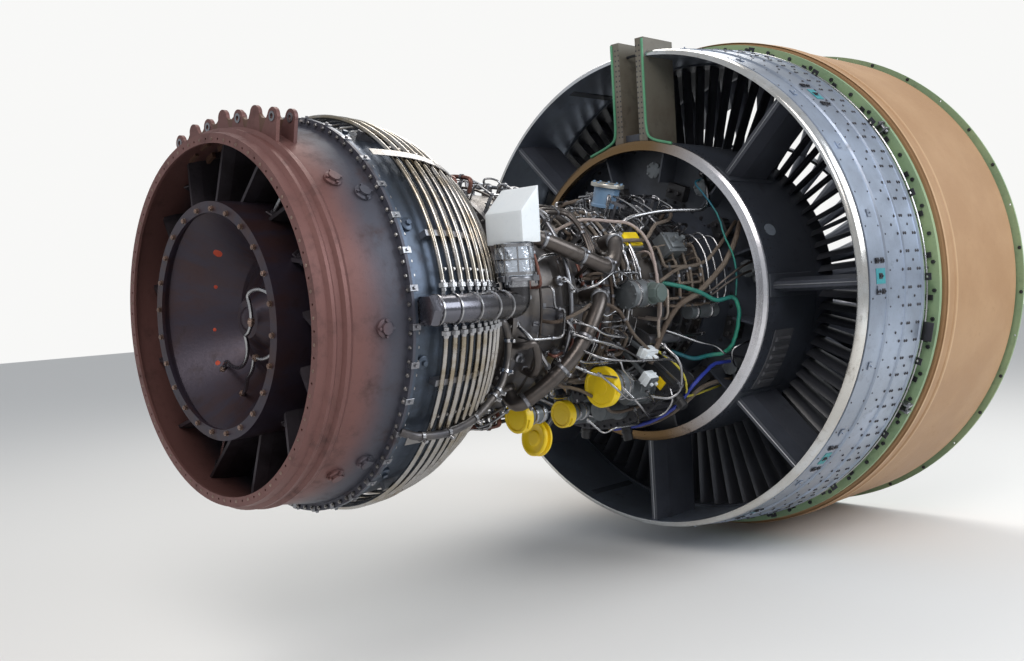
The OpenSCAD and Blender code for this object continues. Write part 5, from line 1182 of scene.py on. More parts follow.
BRIGHT_RUNS = (
    Run(0.006, ((-2.6, 0.52, 106.0), (-2.564, 0.6, 106.8), (-2.451, 0.6, 108.8), (-2.332, 0.6, 112.8),
                (-2.29, 0.52, 114.0)), 0.04, ()),
    Run(0.005, ((-2.6, 0.52, 100.6), (-2.568, 0.6, 101.4), (-2.499, 0.6, 104.9), (-2.33, 0.6, 107.6),
                (-2.3, 0.5, 108.0)), 0.04, ()),
    Run(0.0055, ((-2.59, 0.56, 111.6), (-2.562, 0.665, 112.0), (-2.352, 0.665, 114.6),
                 (-2.082, 0.665, 116.1), (-2.024, 0.665, 118.3), (-1.99, 0.56, 119.5)), 0.05, (0.5,)),
    Run(0.004, ((-2.44, 0.6, 113.6), (-2.44, 0.675, 114.2), (-2.421, 0.675, 116.7), (-2.336, 0.675, 121.5),
                (-2.281, 0.675, 123.6), (-2.24, 0.61, 125.0)), 0.03, ()),
    Run(0.0065, ((-2.07, 0.6, 113.0), (-2.055, 0.695, 115.7), (-1.989, 0.695, 122.8), (-1.933, 0.695, 130.7),
                 (-1.972, 0.695, 134.1), (-2.03, 0.64, 137.0)), 0.05, (0.6,)),
    Run(0.005, ((-2.47, 0.61, 122.0), (-2.431, 0.7, 123.9), (-2.32, 0.705, 129.5), (-2.183, 0.705, 129.5),
                (-2.087, 0.7, 134.3), (-2.05, 0.62, 136.0)), 0.04, ()),
    Run(0.0055, ((-2.26, 0.62, 131.0), (-2.219, 0.71, 132.7), (-2.037, 0.715, 142.9), (-1.944, 0.71, 142.0),
                 (-1.952, 0.705, 134.8), (-1.93, 0.62, 132.0)), 0.05, ()),
    Run(0.0045, ((-2.36, 0.64, 147.5), (-2.321, 0.72, 146.7), (-2.293, 0.72, 143.3), (-2.098, 0.72, 144.5),
                 (-2.06, 0.64, 145.5)), 0.03, ()),
    Run(0.0065, ((-1.595, 0.405, 54.0), (-1.655, 0.5, 57.0), (-1.642, 0.52, 68.6), (-1.66, 0.52, 89.0),
                 (-1.63, 0.52, 96.0), (-1.594, 0.41, 99.0)), 0.05, ()),
    Run(0.0065, ((-1.58, 0.41, 55.0), (-1.609, 0.53, 57.9), (-1.601, 0.53, 74.2), (-1.612, 0.53, 91.3),
                 (-1.6, 0.53, 97.0), (-1.58, 0.41, 101.0)), 0.05, ()),
    Run(0.006, ((-1.565, 0.42, 58.0), (-1.572, 0.555, 62.0), (-1.568, 0.555, 78.0), (-1.576, 0.555, 95.0),
                (-1.566, 0.42, 103.0)), 0.05, ()),
    Run(0.005, ((-2.44, 0.38, 112.0), (-2.402, 0.47, 113.0), (-2.183, 0.49, 120.0), (-2.14, 0.37, 121.0)),
        0.03, (0.5,)),
    Run(0.005, ((-2.44, 0.38, 104.0), (-2.405, 0.47, 106.9), (-2.32, 0.48, 111.1), (-2.197, 0.49, 112.9),
                (-2.15, 0.37, 113.0)), 0.03, (0.5,)),
    Run(0.006, ((-2.58, 0.455, 119.0), (-2.522, 0.52, 120.4), (-2.443, 0.52, 122.4), (-2.274, 0.52, 123.3),
                (-2.24, 0.37, 124.0)), 0.04, (0.5,)),
    Run(0.006, ((-2.6, 0.48, 121.0), (-2.547, 0.54, 121.9), (-2.473, 0.59, 123.4), (-2.3, 0.59, 127.0),
                (-2.26, 0.56, 131.0)), 0.05, (0.3,)),
    Run(0.005, ((-2.44, 0.37, 95.0), (-2.393, 0.46, 96.0), (-2.343, 0.47, 101.0), (-2.266, 0.47, 97.8),
                (-2.25, 0.38, 97.0)), 0.02, ()),
    Run(0.006, ((-2.52, 0.46, 86.0), (-2.49, 0.54, 85.2), (-2.34, 0.54, 78.4), (-2.24, 0.53, 82.0),
                (-2.215, 0.42, 85.0)), 0.04, (0.5,)),
    Run(0.005, ((-1.92, 0.38, 112.0), (-1.905, 0.45, 112.5), (-1.83, 0.5, 114.0), (-1.747, 0.56, 115.8),
                (-1.641, 0.6, 116.8), (-1.598, 0.63, 119.7), (-1.398, 0.64, 123.0)), 0.04, ()),
    Run(0.005, ((-1.398, 0.66, 112.0), (-1.53, 0.66, 114.0), (-1.575, 0.64, 117.0), (-1.52, 0.65, 124.0),
                (-1.398, 0.65, 130.0)), 0.04, ()),
    Run(0.008, ((-2.14, 0.38, 52.0), (-2.14, 0.45, 56.0), (-2.14, 0.45, 76.0), (-2.15, 0.38, 80.0)), 0.05,
        (0.5,)),
    Run(0.008, ((-2.36, 0.37, 20.0), (-2.36, 0.44, 24.0), (-2.36, 0.45, 58.0), (-2.5, 0.5, 66.0),
                (-2.74, 0.51, 70.0), (-2.76, 0.46, 72.0)), 0.05, (0.3, 0.7)),
    Run(0.01, ((-1.398, 0.66, 30.0), (-1.5, 0.66, 40.0), (-1.58, 0.61, 52.0), (-1.84, 0.54, 46.0),
               (-2.02, 0.48, 44.0), (-2.06, 0.38, 44.0)), 0.06, ()),
    Run(0.009, ((-1.952, 0.6, 174.0), (-2.2, 0.52, 176.0), (-2.5, 0.53, 178.0), (-2.8, 0.53, 166.0),
                (-2.86, 0.46, 162.0)), 0.06, (0.3, 0.6, 0.85)),
    Run(0.01, ((-2.88, 0.46, 100.0), (-2.86, 0.54, 106.0), (-2.7, 0.535, 122.0), (-2.52, 0.51, 146.0),
               (-2.3, 0.48, 156.0), (-2.28, 0.37, 158.0)), 0.06, (0.3, 0.6)),
    Run(0.01, ((-1.58, 0.4, 340.0), (-1.6, 0.49, 338.0), (-1.78, 0.49, 334.0), (-2.06, 0.46, 322.0),
               (-2.36, 0.45, 318.0), (-2.62, 0.53, 310.0), (-2.64, 0.46, 309.0)), 0.06, (0.25, 0.5, 0.8)),
    Run(0.012, ((-1.58, 0.4, 300.0), (-1.6, 0.5, 299.0), (-1.9, 0.48, 296.0), (-2.08, 0.47, 272.0),
                (-2.4, 0.47, 262.0), (-2.66, 0.54, 250.0), (-2.68, 0.46, 249.0)), 0.08, (0.25, 0.5, 0.8)),
    Run(0.009, ((-1.952, 0.59, 190.0), (-2.16, 0.5, 196.0), (-2.42, 0.47, 206.0), (-2.44, 0.47, 244.0),
                (-2.43, 0.38, 248.0)), 0.06, (0.3, 0.55, 0.8)),
)

DARK_RUNS = (
    Run(0.009, ((-2.64, 0.455, 43.5), (-2.567, 0.5, 42.7), (-2.4, 0.485, 40.7), (-2.398, 0.49, 52.7),
                (-2.419, 0.49, 70.8), (-2.405, 0.37, 76.0)), 0.05, (0.3, 0.6), False),
    Run(0.008, ((-2.64, 0.455, 40.5), (-2.567, 0.5, 39.7), (-2.372, 0.48, 37.7), (-2.37, 0.48, 52.7),
                (-2.39, 0.48, 69.8), (-2.38, 0.37, 74.0)), 0.05, (0.3, 0.6), False),
    Run(0.007, ((-2.64, 0.455, 37.5), (-2.567, 0.5, 36.7), (-2.346, 0.47, 34.7), (-2.344, 0.47, 52.7),
                (-2.36, 0.47, 68.8), (-2.355, 0.37, 73.0)), 0.05, (0.3, 0.6), False),
    Run(0.006, ((-1.7, 0.48, 95.0), (-1.687, 0.545, 93.4), (-1.645, 0.6, 88.2), (-1.58, 0.64, 85.0),
                (-1.398, 0.64, 82.0)), 0.05, (), False),
    Run(0.006, ((-1.72, 0.48, 92.0), (-1.7, 0.55, 91.4), (-1.66, 0.61, 86.2), (-1.59, 0.65, 82.0),
                (-1.398, 0.65, 78.0)), 0.05, (), False),
    Run(0.017, ((-2.9, 0.45, 111.0), (-2.892, 0.535, 108.8), (-2.846, 0.545, 107.0), (-2.801, 0.545, 115.1),
                (-2.776, 0.535, 124.5), (-2.77, 0.45, 127.0)), 0.06, (), False),
)

CABLES = (
    Run(0.0075, ((-2.48, 0.38, 44.0), (-2.361, 0.49, 46.4), (-2.209, 0.5, 48.9), (-2.06, 0.5, 50.2),
                 (-2.008, 0.5, 58.4), (-2.012, 0.5, 69.7),
                 (-2.022, 0.5, 80.9), (-2.02, 0.5, 93.8), (-2.012, 0.5, 107.0), (-1.976, 0.51, 116.0),
                 (-1.965, 0.38, 119.0)), 0.05, (), False, 0.002),
    Run(0.006, ((-2.026, 0.38, 84.0), (-2.03, 0.515, 86.1), (-2.022, 0.515, 103.9), (-2.0, 0.38, 107.0)),
        0.03, (), False, 0.002),
    Run(0.006, ((-1.955, 0.38, 85.0), (-1.957, 0.5, 87.5), (-1.947, 0.5, 104.4), (-1.945, 0.38, 107.0)),
        0.03, (), False, 0.002),
    Run(0.005, ((-1.99, 0.38, 62.0), (-1.99, 0.47, 66.0), (-1.985, 0.48, 84.0), (-1.96, 0.38, 90.0)), 0.03,
        (), False, 0.002),
)

HARNESS = (
    Run(0.013, ((-1.47, 0.66, 62.0), (-1.58, 0.6, 76.0), (-1.68, 0.54, 86.0), (-1.76, 0.52, 92.0),
                (-1.88, 0.49, 98.0), (-1.96, 0.49, 112.0), (-2.06, 0.56, 124.0)), 0.06, (), False, 0.003),
    Run(0.009, ((-1.398, 0.6, 58.0), (-1.56, 0.57, 68.0), (-1.64, 0.5, 76.0), (-1.86, 0.49, 78.0),
                (-1.96, 0.47, 84.0), (-1.975, 0.38, 88.0)), 0.06, (), False, 0.003),
    Run(0.009, ((-1.6, 0.39, 30.0), (-1.61, 0.49, 34.0), (-1.7, 0.49, 46.0), (-1.93, 0.52, 54.0),
                (-1.98, 0.48, 60.0), (-2.2, 0.45, 58.0), (-2.33, 0.37, 56.0)), 0.06, (0.8,), False, 0.004),
    Run(0.011, ((-1.398, 0.64, 134.0), (-1.6, 0.62, 138.0), (-1.74, 0.67, 146.0), (-1.78, 0.67, 172.0),
                (-1.7, 0.6, 178.0)), 0.06, (), False, 0.003),
    Run(0.008, ((-2.06, 0.53, 119.0), (-2.16, 0.5, 112.0), (-2.3, 0.49, 96.0), (-2.43, 0.48, 92.0),
                (-2.56, 0.52, 96.0), (-2.72, 0.53, 100.0), (-2.74, 0.455, 100.0)), 0.06, (0.3, 0.6), False,
                0.003),
    Run(0.01, ((-1.6, 0.39, 350.0), (-1.61, 0.49, 348.0), (-1.86, 0.49, 344.0), (-1.98, 0.47, 312.0),
               (-2.2, 0.46, 306.0), (-2.3, 0.46, 270.0), (-2.6, 0.53, 266.0), (-2.62, 0.46, 264.0)), 0.06,
               (0.4, 0.6, 0.8), False, 0.003),
    Run(0.008, ((-1.96, 0.61, 150.0), (-2.08, 0.6, 156.0), (-2.24, 0.56, 146.0), (-2.44, 0.52, 138.0),
                (-2.6, 0.54, 132.0), (-2.62, 0.46, 130.0)), 0.05, (), False, 0.003),
    Run(0.008, ((-1.96, 0.6, 196.0), (-2.12, 0.52, 206.0), (-2.3, 0.48, 236.0), (-2.5, 0.5, 244.0),
                (-2.8, 0.52, 252.0), (-2.82, 0.455, 253.0)), 0.05, (0.3, 0.6, 0.8), False, 0.003),
)

TAPED = (
    Run(0.01, ((-1.935, 0.436, 84.0), (-1.86, 0.47, 86.5), (-1.761, 0.54, 91.2), (-1.67, 0.565, 95.9),
               (-1.575, 0.6, 93.8), (-1.558, 0.62, 99.1), (-1.546, 0.62, 108.6),
                 (-1.545, 0.62, 116.7), (-1.554, 0.6, 121.3), (-1.604, 0.56, 124.5), (-1.7, 0.545, 127.0),
                 (-1.79, 0.47, 127.0)), 0.03, (), False, 0.002),
    Run(0.0045, ((-1.398, 0.66, 33.0), (-1.54, 0.64, 36.0), (-1.566, 0.635, 45.3), (-1.58, 0.635, 57.7),
                 (-1.612, 0.63, 67.2), (-1.59, 0.635, 76.3),
                 (-1.592, 0.63, 85.3), (-1.575, 0.61, 93.5)), 0.03, (), False, 0.002),
)

YELLOW_RUN = (
    Run(0.0055, ((-1.975, 0.5, 121.0), (-1.896, 0.585, 124.5), (-1.859, 0.635, 128.0),
                 (-1.815, 0.662, 134.0), (-1.775, 0.66, 139.0), (-1.64, 0.64, 142.0), (-1.396, 0.62, 141.0)),
                 0.04, (), False, 0.002),
)

BLUE_RUN = (
    Run(0.009, ((-1.396, 0.61, 126.0), (-1.6, 0.6, 126.5), (-1.76, 0.655, 129.0), (-1.8, 0.664, 132.0),
                (-1.792, 0.666, 138.0), (-1.788, 0.668, 148.0), (-1.8, 0.668, 162.0), (-1.9, 0.662, 172.0)),
                0.04, (), False, 0.002),
)


@dataclass
class Clutter:
    """Short seeded tubes that cross the cases between two stations, feet on the case.

    Attributes:
        name: Name of the pieces.
        finish: Finish of the tubes.
        count: Number of tubes.
        feet: Stations where a tube may go down to the case.
        places: First and last place of the field, in degrees from 12 o'clock.
        lift: Least and largest height over the case.
        radii: Least and largest radius of a tube.
        seed: Seed of the field.
    """

    name: str
    finish: Finish
    count: int
    feet: tuple[float, ...]
    places: tuple[float, float]
    lift: tuple[float, float]
    radii: tuple[float, float] = (0.0035, 0.007)
    seed: int = 3

    def run(self, draw: random.Random) -> Run:
        """One tube of alternating legs along and round the case.

        Args:
            draw: Source of the seeded draws.

        Returns:
            The run of the tube.
        """
        x, a = draw.choice(self.feet), draw.uniform(*self.places)
        lift = draw.uniform(*self.lift)
        stops = [(x, core_radius(x) + lift, a + 0.5)]
        for leg in range(draw.choice((2, 3, 4))):
            if leg % 2:
                x = draw.choice([v for v in self.feet if abs(v - x) > 0.01])
            else:
                a = min(max(a + draw.choice((-1.0, 1.0)) * draw.uniform(8.0, 34.0), self.places[0]),
                        self.places[1])
            stops.append((x, core_radius(x) + lift, a))
        radius = draw.choice((self.radii[0], sum(self.radii) / 2.0, self.radii[1]))
        feet = [(v, core_radius(v) + 1.8 * radius, b) for v, _, b in (stops[0], stops[-1])]
        stops = [(feet[0][0], feet[0][1], feet[0][2] - 0.5), *stops,
                 (feet[1][0], feet[1][1], feet[1][2] + 0.8)]
        return Run(radius, tuple(stops), 0.025, (draw.uniform(0.25, 0.4), draw.uniform(0.6, 0.75)),
                   draw.random() < 0.6)

    def build(self) -> None:
        """Builds the field."""
        draw = random.Random(self.seed)
        Plumbing(self.name, self.finish, [self.run(draw) for _ in range(self.count)], 1).build()


REAR_FEET = tuple(-2.02 - 0.02 * k for k in range(20))
DIFFUSER_FEET = (-2.545, -2.575, -2.69, -2.72, -2.75, -2.805, -2.865)
RING_FEET = (-1.6, -1.681, -1.759, -1.837, -1.915, -1.94)

CLUTTER = (
    Clutter("rear_lines", BRIGHT_TUBE, 20, REAR_FEET, (0.0, 360.0), (0.02, 0.055), seed=11),
    Clutter("rear_lines_dark", RED_BROWN, 14, REAR_FEET, (0.0, 360.0), (0.016, 0.045), (0.004, 0.009), 12),
    Clutter("rear_lines_steel", HARNESS_BRAID, 18, REAR_FEET, (20.0, 150.0), (0.02, 0.075), (0.004, 0.009),
            13),
    Clutter("rear_lines_near", BRIGHT_TUBE, 16, REAR_FEET, (30.0, 132.0), (0.03, 0.09), (0.003, 0.006), 14),
    Clutter("diffuser_lines", BRIGHT_TUBE, 14, DIFFUSER_FEET, (0.0, 360.0), (0.066, 0.09), (0.004, 0.007),
            15),
    Clutter("diffuser_lines_dark", RED_BROWN, 10, DIFFUSER_FEET, (0.0, 360.0), (0.06, 0.08), (0.004, 0.01),
            16),
    Clutter("ring_lines", BRIGHT_TUBE, 12, RING_FEET, (206.0, 405.0), (0.092, 0.12), (0.004, 0.008), 17),
    Clutter("ring_lines_near", HARNESS_BRAID, 10, RING_FEET, (64.0, 98.0), (0.092, 0.125), (0.0035, 0.007),
            18),
    Clutter("ring_lines_top", BRIGHT_TUBE, 8, RING_FEET, (20.0, 50.0), (0.092, 0.125), (0.0035, 0.007), 19),
)


@dataclass
class CoreFlanges:
    """Bolts of every flange of the core cases."""

    circles: tuple[tuple[float, float, int, Facing], ...] = (
        (-1.561, 0.408, 60, Facing.AFT), (-2.099, 0.387, 54, Facing.FORE), (-2.121, 0.387, 54, Facing.AFT),
        (-2.439, 0.3755, 54, Facing.FORE), (-2.461, 0.379, 54, Facing.AFT), (-2.897, 0.479, 66, Facing.FORE),
        (-2.919, 0.477, 66, Facing.AFT), (-2.989, 0.469, 66, Facing.FORE), (-3.011, 0.47, 66, Facing.AFT),
        (-3.593, 0.722, 96, Facing.FORE), (-3.615, 0.72, 96, Facing.AFT))

    def build(self) -> None:
        """Builds the bolts and the silver clips of the turbine flange."""
        seats = [seat(x, r, (i + 0.5) * 360 / n, facing) for x, r, n, facing in self.circles
                 for i in range(n)]
        Bench.done(Bench.copies(hex_bolt(0.013, 0.008, False, 0.003), seats), "core_flange_bolts", CORE_BOLT)
        clip = Bench.join([Bench.block((0.034, 0.022, 0.0025), bevel=0.0008, steps=1),
                           Bench.block((0.0025, 0.022, 0.02), (-0.0155, 0.0, -0.018), 0.0008, 1),
                           Bench.rod(0.006, 0.008, 6, 0.001, 0.0008, 1)])
        Bench.done(Bench.copies(clip, [seat(-3.602, 0.7325, i * 10.0 + 4.0) for i in range(36)]),
                   "turbine_flange_clips", BARE_ALUMINIUM)


@dataclass
class FuelSystem:
    """Pigtails, second ring and lead brackets of the fuel nozzles."""

    nozzles: int = 20

    def build(self) -> None:
        """Builds the pigtails with their unions, the thin ring with its posts and the bosses of the case."""
        routes, ends = [], []
        for i in range(self.nozzles):
            a = (i + 0.5) * 360 / self.nozzles
            stops = ((-2.605, 0.5145, a + 5.2), (-2.612, 0.536, a + 5.0), (-2.64, 0.545, a + 2.6),
                     (-2.662, 0.54, a + 0.6), (-2.66, 0.524, a), (-2.648, 0.51, a))
            route = wound(stops, 0.016)
            routes.append(route)
            ends += [aimed(route[0], route[1] - route[0], 0.6), aimed(route[-1], route[-2] - route[-1], 0.6)]
        Bench.done(Bench.tubes(routes, [0.005] * len(routes), 1), "fuel_pigtails", BRIGHT_TUBE, smooth=60)
        flipped = [m @ Matrix.Rotation(math.pi, 4, "X") for m in ends]
        Bench.done(Bench.copies(tube_nut(0.01), flipped), "fuel_unions", BRIGHT_TUBE)
        line = [(0.4995 + 0.0055 * math.cos(t * math.pi / 4), -2.775 + 0.0055 * math.sin(t * math.pi / 4))
                for t in range(8)]
        Bench.done(Bench.lathe(line, 120, True), "sense_ring", DARK_PIPE)
        post = Bench.join([Bench.block((0.014, 0.004, 0.034), bevel=0.001, steps=1),
                           Bench.block((0.026, 0.018, 0.005), bevel=0.001, steps=1)])
        Bench.done(Bench.copies(post, [seat(-2.775, 0.4672, i * 24.0 + 5.0) for i in range(15)]),
                   "sense_ring_posts", BARE_ALUMINIUM)
        boss = Bench.join([Bench.lathe([(0.0, 0.0), (0.02, 0.0), (0.02, 0.01), (0.013, 0.014),
                                        (0.013, 0.024), (0.0, 0.024)], 20),
                                        Bench.rod(0.011, 0.01, 6, 0.022, 0.001, 1)])
        seats = [seat(-2.835, 0.4672, a) for a in (18.0, 52.0, 88.0, 118.0, 156.0, 204.0, 248.0, 292.0,
            336.0)]
        seats += [seat(-2.045, 0.3742, a) for a in (30.0, 70.0, 115.0, 160.0, 250.0, 310.0)]
        seats += [seat(-2.385, 0.3632, a) for a in (14.0, 44.0, 118.0, 190.0, 240.0, 300.0)]
        Bench.done(Bench.copies(boss, seats), "case_bosses", BARE_ALUMINIUM)


@dataclass
class BleedPipes:
    """Bleed pipes with bands and end flanges, in place of the faceted ones."""

    radius: float = 0.032
    routes: tuple[tuple[tuple[float, float, float], ...], ...] = (
        ((-2.8, 0.47, 62.0), (-2.8, 0.556, 62.0), (-2.59, 0.56, 71.0), (-2.378, 0.556, 79.0),
         (-2.262, 0.53, 62.0), (-2.26, 0.432, 60.0)),
        ((-2.4, 0.367, 88.0), (-2.4, 0.5, 88.0), (-2.589, 0.558, 113.0), (-2.7, 0.558, 127.0),
         (-2.81, 0.556, 140.0), (-2.81, 0.471, 140.0)))

    def build(self) -> None:
        """Builds the pipes, their bands and their foot flanges."""
        routes = [wound(stops, 0.085) for stops in self.routes]
        for route, stops in zip(routes, self.routes):
            route[0], route[-1] = place(*stops[0]), place(*stops[-1])
        Bench.done(Bench.tubes(routes, [self.radius] * 2, 7), "bleed_pipes_smooth", DARK_PIPE, smooth=60,
                   stands_for=("bleed_pipes",))
        band = Bench.join([Bench.lathe([(0.0322, -0.009), (0.0375, -0.006), (0.0375, 0.006),
                                        (0.0322, 0.009)], 32),
                           Bench.block((0.016, 0.012, 0.016), (0.042, 0.0, -0.008), 0.002),
                           Bench.rod(0.003, 0.03, 8, -0.015)])
        seats = []
        for route in routes:
            for share in (0.16, 0.42, 0.62, 0.86):
                where, direction = along(route, share)
                seats.append(aimed(where, direction))
        Bench.done(Bench.copies(band, seats), "bleed_pipe_bands", BARE_ALUMINIUM)
        foot = Bench.join([Bench.lathe([(0.0325, 0.0), (0.044, 0.0), (0.044, 0.008), (0.0365, 0.012),
                                        (0.0325, 0.02)], 32),
                           Bench.copies(hex_bolt(0.009, 0.005, False),
                                        [Matrix.Rotation(k * math.pi / 3, 4, "Z")
                                         @ Matrix.Translation((0.0395, 0.0, 0.008)) for k in range(6)])])
        ends = [seat(-2.8, 0.471, 62.0), seat(-2.4, 0.369, 88.0), seat(-2.81, 0.471, 140.0),
                seat(-2.26, 0.4315, 60.0)]
        Bench.done(Bench.copies(foot, ends), "bleed_pipe_feet", CORE_STEEL)


@dataclass
class Units:
    """Bands, covers and caps of the units round the compressor."""

    ports: tuple[tuple[float, float, float, float], ...] = ((-2.298, 0.55, 136.4, 0.066),
        (-2.338, 0.55, 161.6, 0.038), (-2.718, 0.556, 150.3, 0.038))

    def band(self, radius: float, width: float = 0.016) -> Piece:
        """A clamp band round a unit that lies along X, with its lug."""
        ring = Bench.lathe([(radius, -width / 2), (radius + 0.005, -width / 3), (radius + 0.005, width / 3),
                            (radius, width / 2)], 36)
        lug = Bench.block((0.014, 0.01, 0.012), (radius + 0.01, 0.0, -0.006), 0.0015, 1)
        return Bench.join([ring, lug])

    def build(self) -> None:
        """Builds bands, cap faces and box lids."""
        flat = Matrix.Rotation(math.pi / 2, 4, "Y")
        bands = []
        for x, r, a, radius in self.ports:
            for shift in (0.022, 0.075, 0.12):
                bands.append(Bench.copies(self.band(radius), [seat(x + shift, r, a) @ flat]))
        for x, r, a, radius in ((-2.09, 0.466, 90.0, 0.06), (-2.17, 0.466, 90.0, 0.06),
                                (-1.6, 0.472, 102.5, 0.033), (-1.71, 0.472, 102.5, 0.033)):
            bands.append(Bench.copies(self.band(radius), [seat(x, r, a) @ flat]))
        Bench.done(Bench.join(bands), "unit_bands", BRIGHT_TUBE)
        faces = []
        for (x, r, a, _), k in zip(self.ports, (0.09, 0.062, 0.068)):
            face = Bench.lathe([(0.0, 0.001), (0.4 * k, 0.001), (0.44 * k, -0.002), (0.8 * k, -0.002),
                                (0.84 * k, 0.003), (0.97 * k, 0.003), (k, 0.0),
                                (k, -0.036), (0.93 * k, -0.036), (0.93 * k, -0.014), (0.0, -0.014)], 48)
            tab = Bench.block((0.014, 0.04, 0.003), (1.02 * k, 0.0, -0.006), 0.001, 1)
            faces.append(Bench.copies(Bench.join([face, tab]), [seat(x - 0.014, r, a, Facing.AFT, 40.0)]))
        wheel = Bench.lathe([(0.0, 0.0), (0.03, 0.0), (0.036, -0.006), (0.058, -0.004), (0.066, 0.002),
                             (0.074, 0.002), (0.078, -0.003), (0.078, -0.012),
                             (0.066, -0.017), (0.066, -0.027), (0.078, -0.032), (0.078, -0.04),
                             (0.074, -0.045), (0.0, -0.045)], 48)
        faces.append(Bench.copies(wheel, [seat(-2.562, 0.63, 161.6, Facing.AFT)
                                          @ Matrix.Rotation(math.radians(-10), 4, "Y")]))
        Bench.done(Bench.join(faces), "cap_faces", YELLOW_PLASTIC)
        head = Bench.join([Bench.rod(0.046, 0.06, 8, 0.0, 0.006), Bench.rod(0.04, 0.008, 8, 0.06, 0.003, 1),
                           Bench.rod(0.052, 0.01, 8, 0.006, 0.002, 1)])
        Bench.done(Bench.copies(head, [seat(-2.085, 0.505, 90.0, turn=22.0)]), "canister_head",
                   CANISTER_GREEN)
        cover = Bench.lathe([(0.0, 0.01), (0.03, 0.008), (0.052, 0.002), (0.064, 0.002), (0.064, -0.01),
                             (0.0, -0.01)], 36)
        screws = Bench.copies(hex_bolt(0.01, 0.006),
                              [Matrix.Rotation(k * math.pi / 4, 4, "Z")
                               @ Matrix.Translation((0.057, 0.0, 0.002)) for k in range(8)])
        Bench.done(Bench.copies(Bench.join([cover, screws]), [seat(-2.21, 0.466, 90.0, Facing.AFT)]),
                   "canister_cover", GREY_ACCESSORY)
        lid = Bench.join([Bench.block((0.126, 0.106, 0.008), bevel=0.003),
                          Bench.block((0.09, 0.07, 0.014), (0.0, 0.0, 0.006), 0.004),
                          Bench.copies(hex_bolt(0.01, 0.005),
                                       [Matrix.Translation((sx * 0.054, sy * 0.044, 0.008))
                                        for sx in (-1, 1) for sy in (-1, 1)]),
                          Bench.copies(Bench.rod(0.012, 0.034, 14, 0.0, 0.002, 1),
                                       [Matrix.Translation((x, 0.0, 0.016)) for x in (-0.026, 0.026)])])
        Bench.done(Bench.copies(lid, [seat(-1.815, 0.4942, 60.0) @ Matrix.Translation((0.0, -0.025, 0.0))]),
                   "control_box_lid", GREY_ACCESSORY)
        white = Bench.join([Bench.block((0.064, 0.054, 0.05), bevel=0.004),
                            Bench.block((0.07, 0.06, 0.006), (0.0, 0.0, 0.022), 0.001, 1),
                            Bench.copies(Bench.rod(0.008, 0.022, 12, 0.0, 0.001, 1),
                                         [Matrix.Translation((x, 0.0, 0.048)) for x in (-0.016, 0.016)])])
        Bench.done(Bench.copies(white, [seat(-2.06, 0.5005, 121.0) @ Matrix.Diagonal((1.35, 1.0, 1.0, 1.0)),
                                        seat(-2.05, 0.5605, 131.0)]), "connector_boxes", WHITE_COVER)
        stub = Bench.join([Bench.lathe([(0.06, 0.0), (0.066, 0.0), (0.066, 0.012), (0.062, 0.016),
                                        (0.062, 0.088), (0.068, 0.094), (0.06, 0.094)], 40),
                           Bench.copies(hex_bolt(0.01, 0.007),
                                        [Matrix.Rotation(k * math.pi / 5, 4, "Z")
                                         @ Matrix.Translation((0.0685, 0.0, 0.1105)) for k in range(10)])])
        Bench.done(Bench.copies(stub, [seat(-1.899, 0.4342, 14.5)]), "bleed_stub_skin", BLUE_GREY)
        rim = Bench.lathe([(0.06, 0.096), (0.0795, 0.096), (0.08, 0.1), (0.08, 0.11), (0.0785, 0.113),
                           (0.06, 0.113)], 40)
        Bench.done(Bench.copies(rim, [seat(-1.899, 0.4342, 14.5)]), "bleed_stub_rim", STUB_RIM)


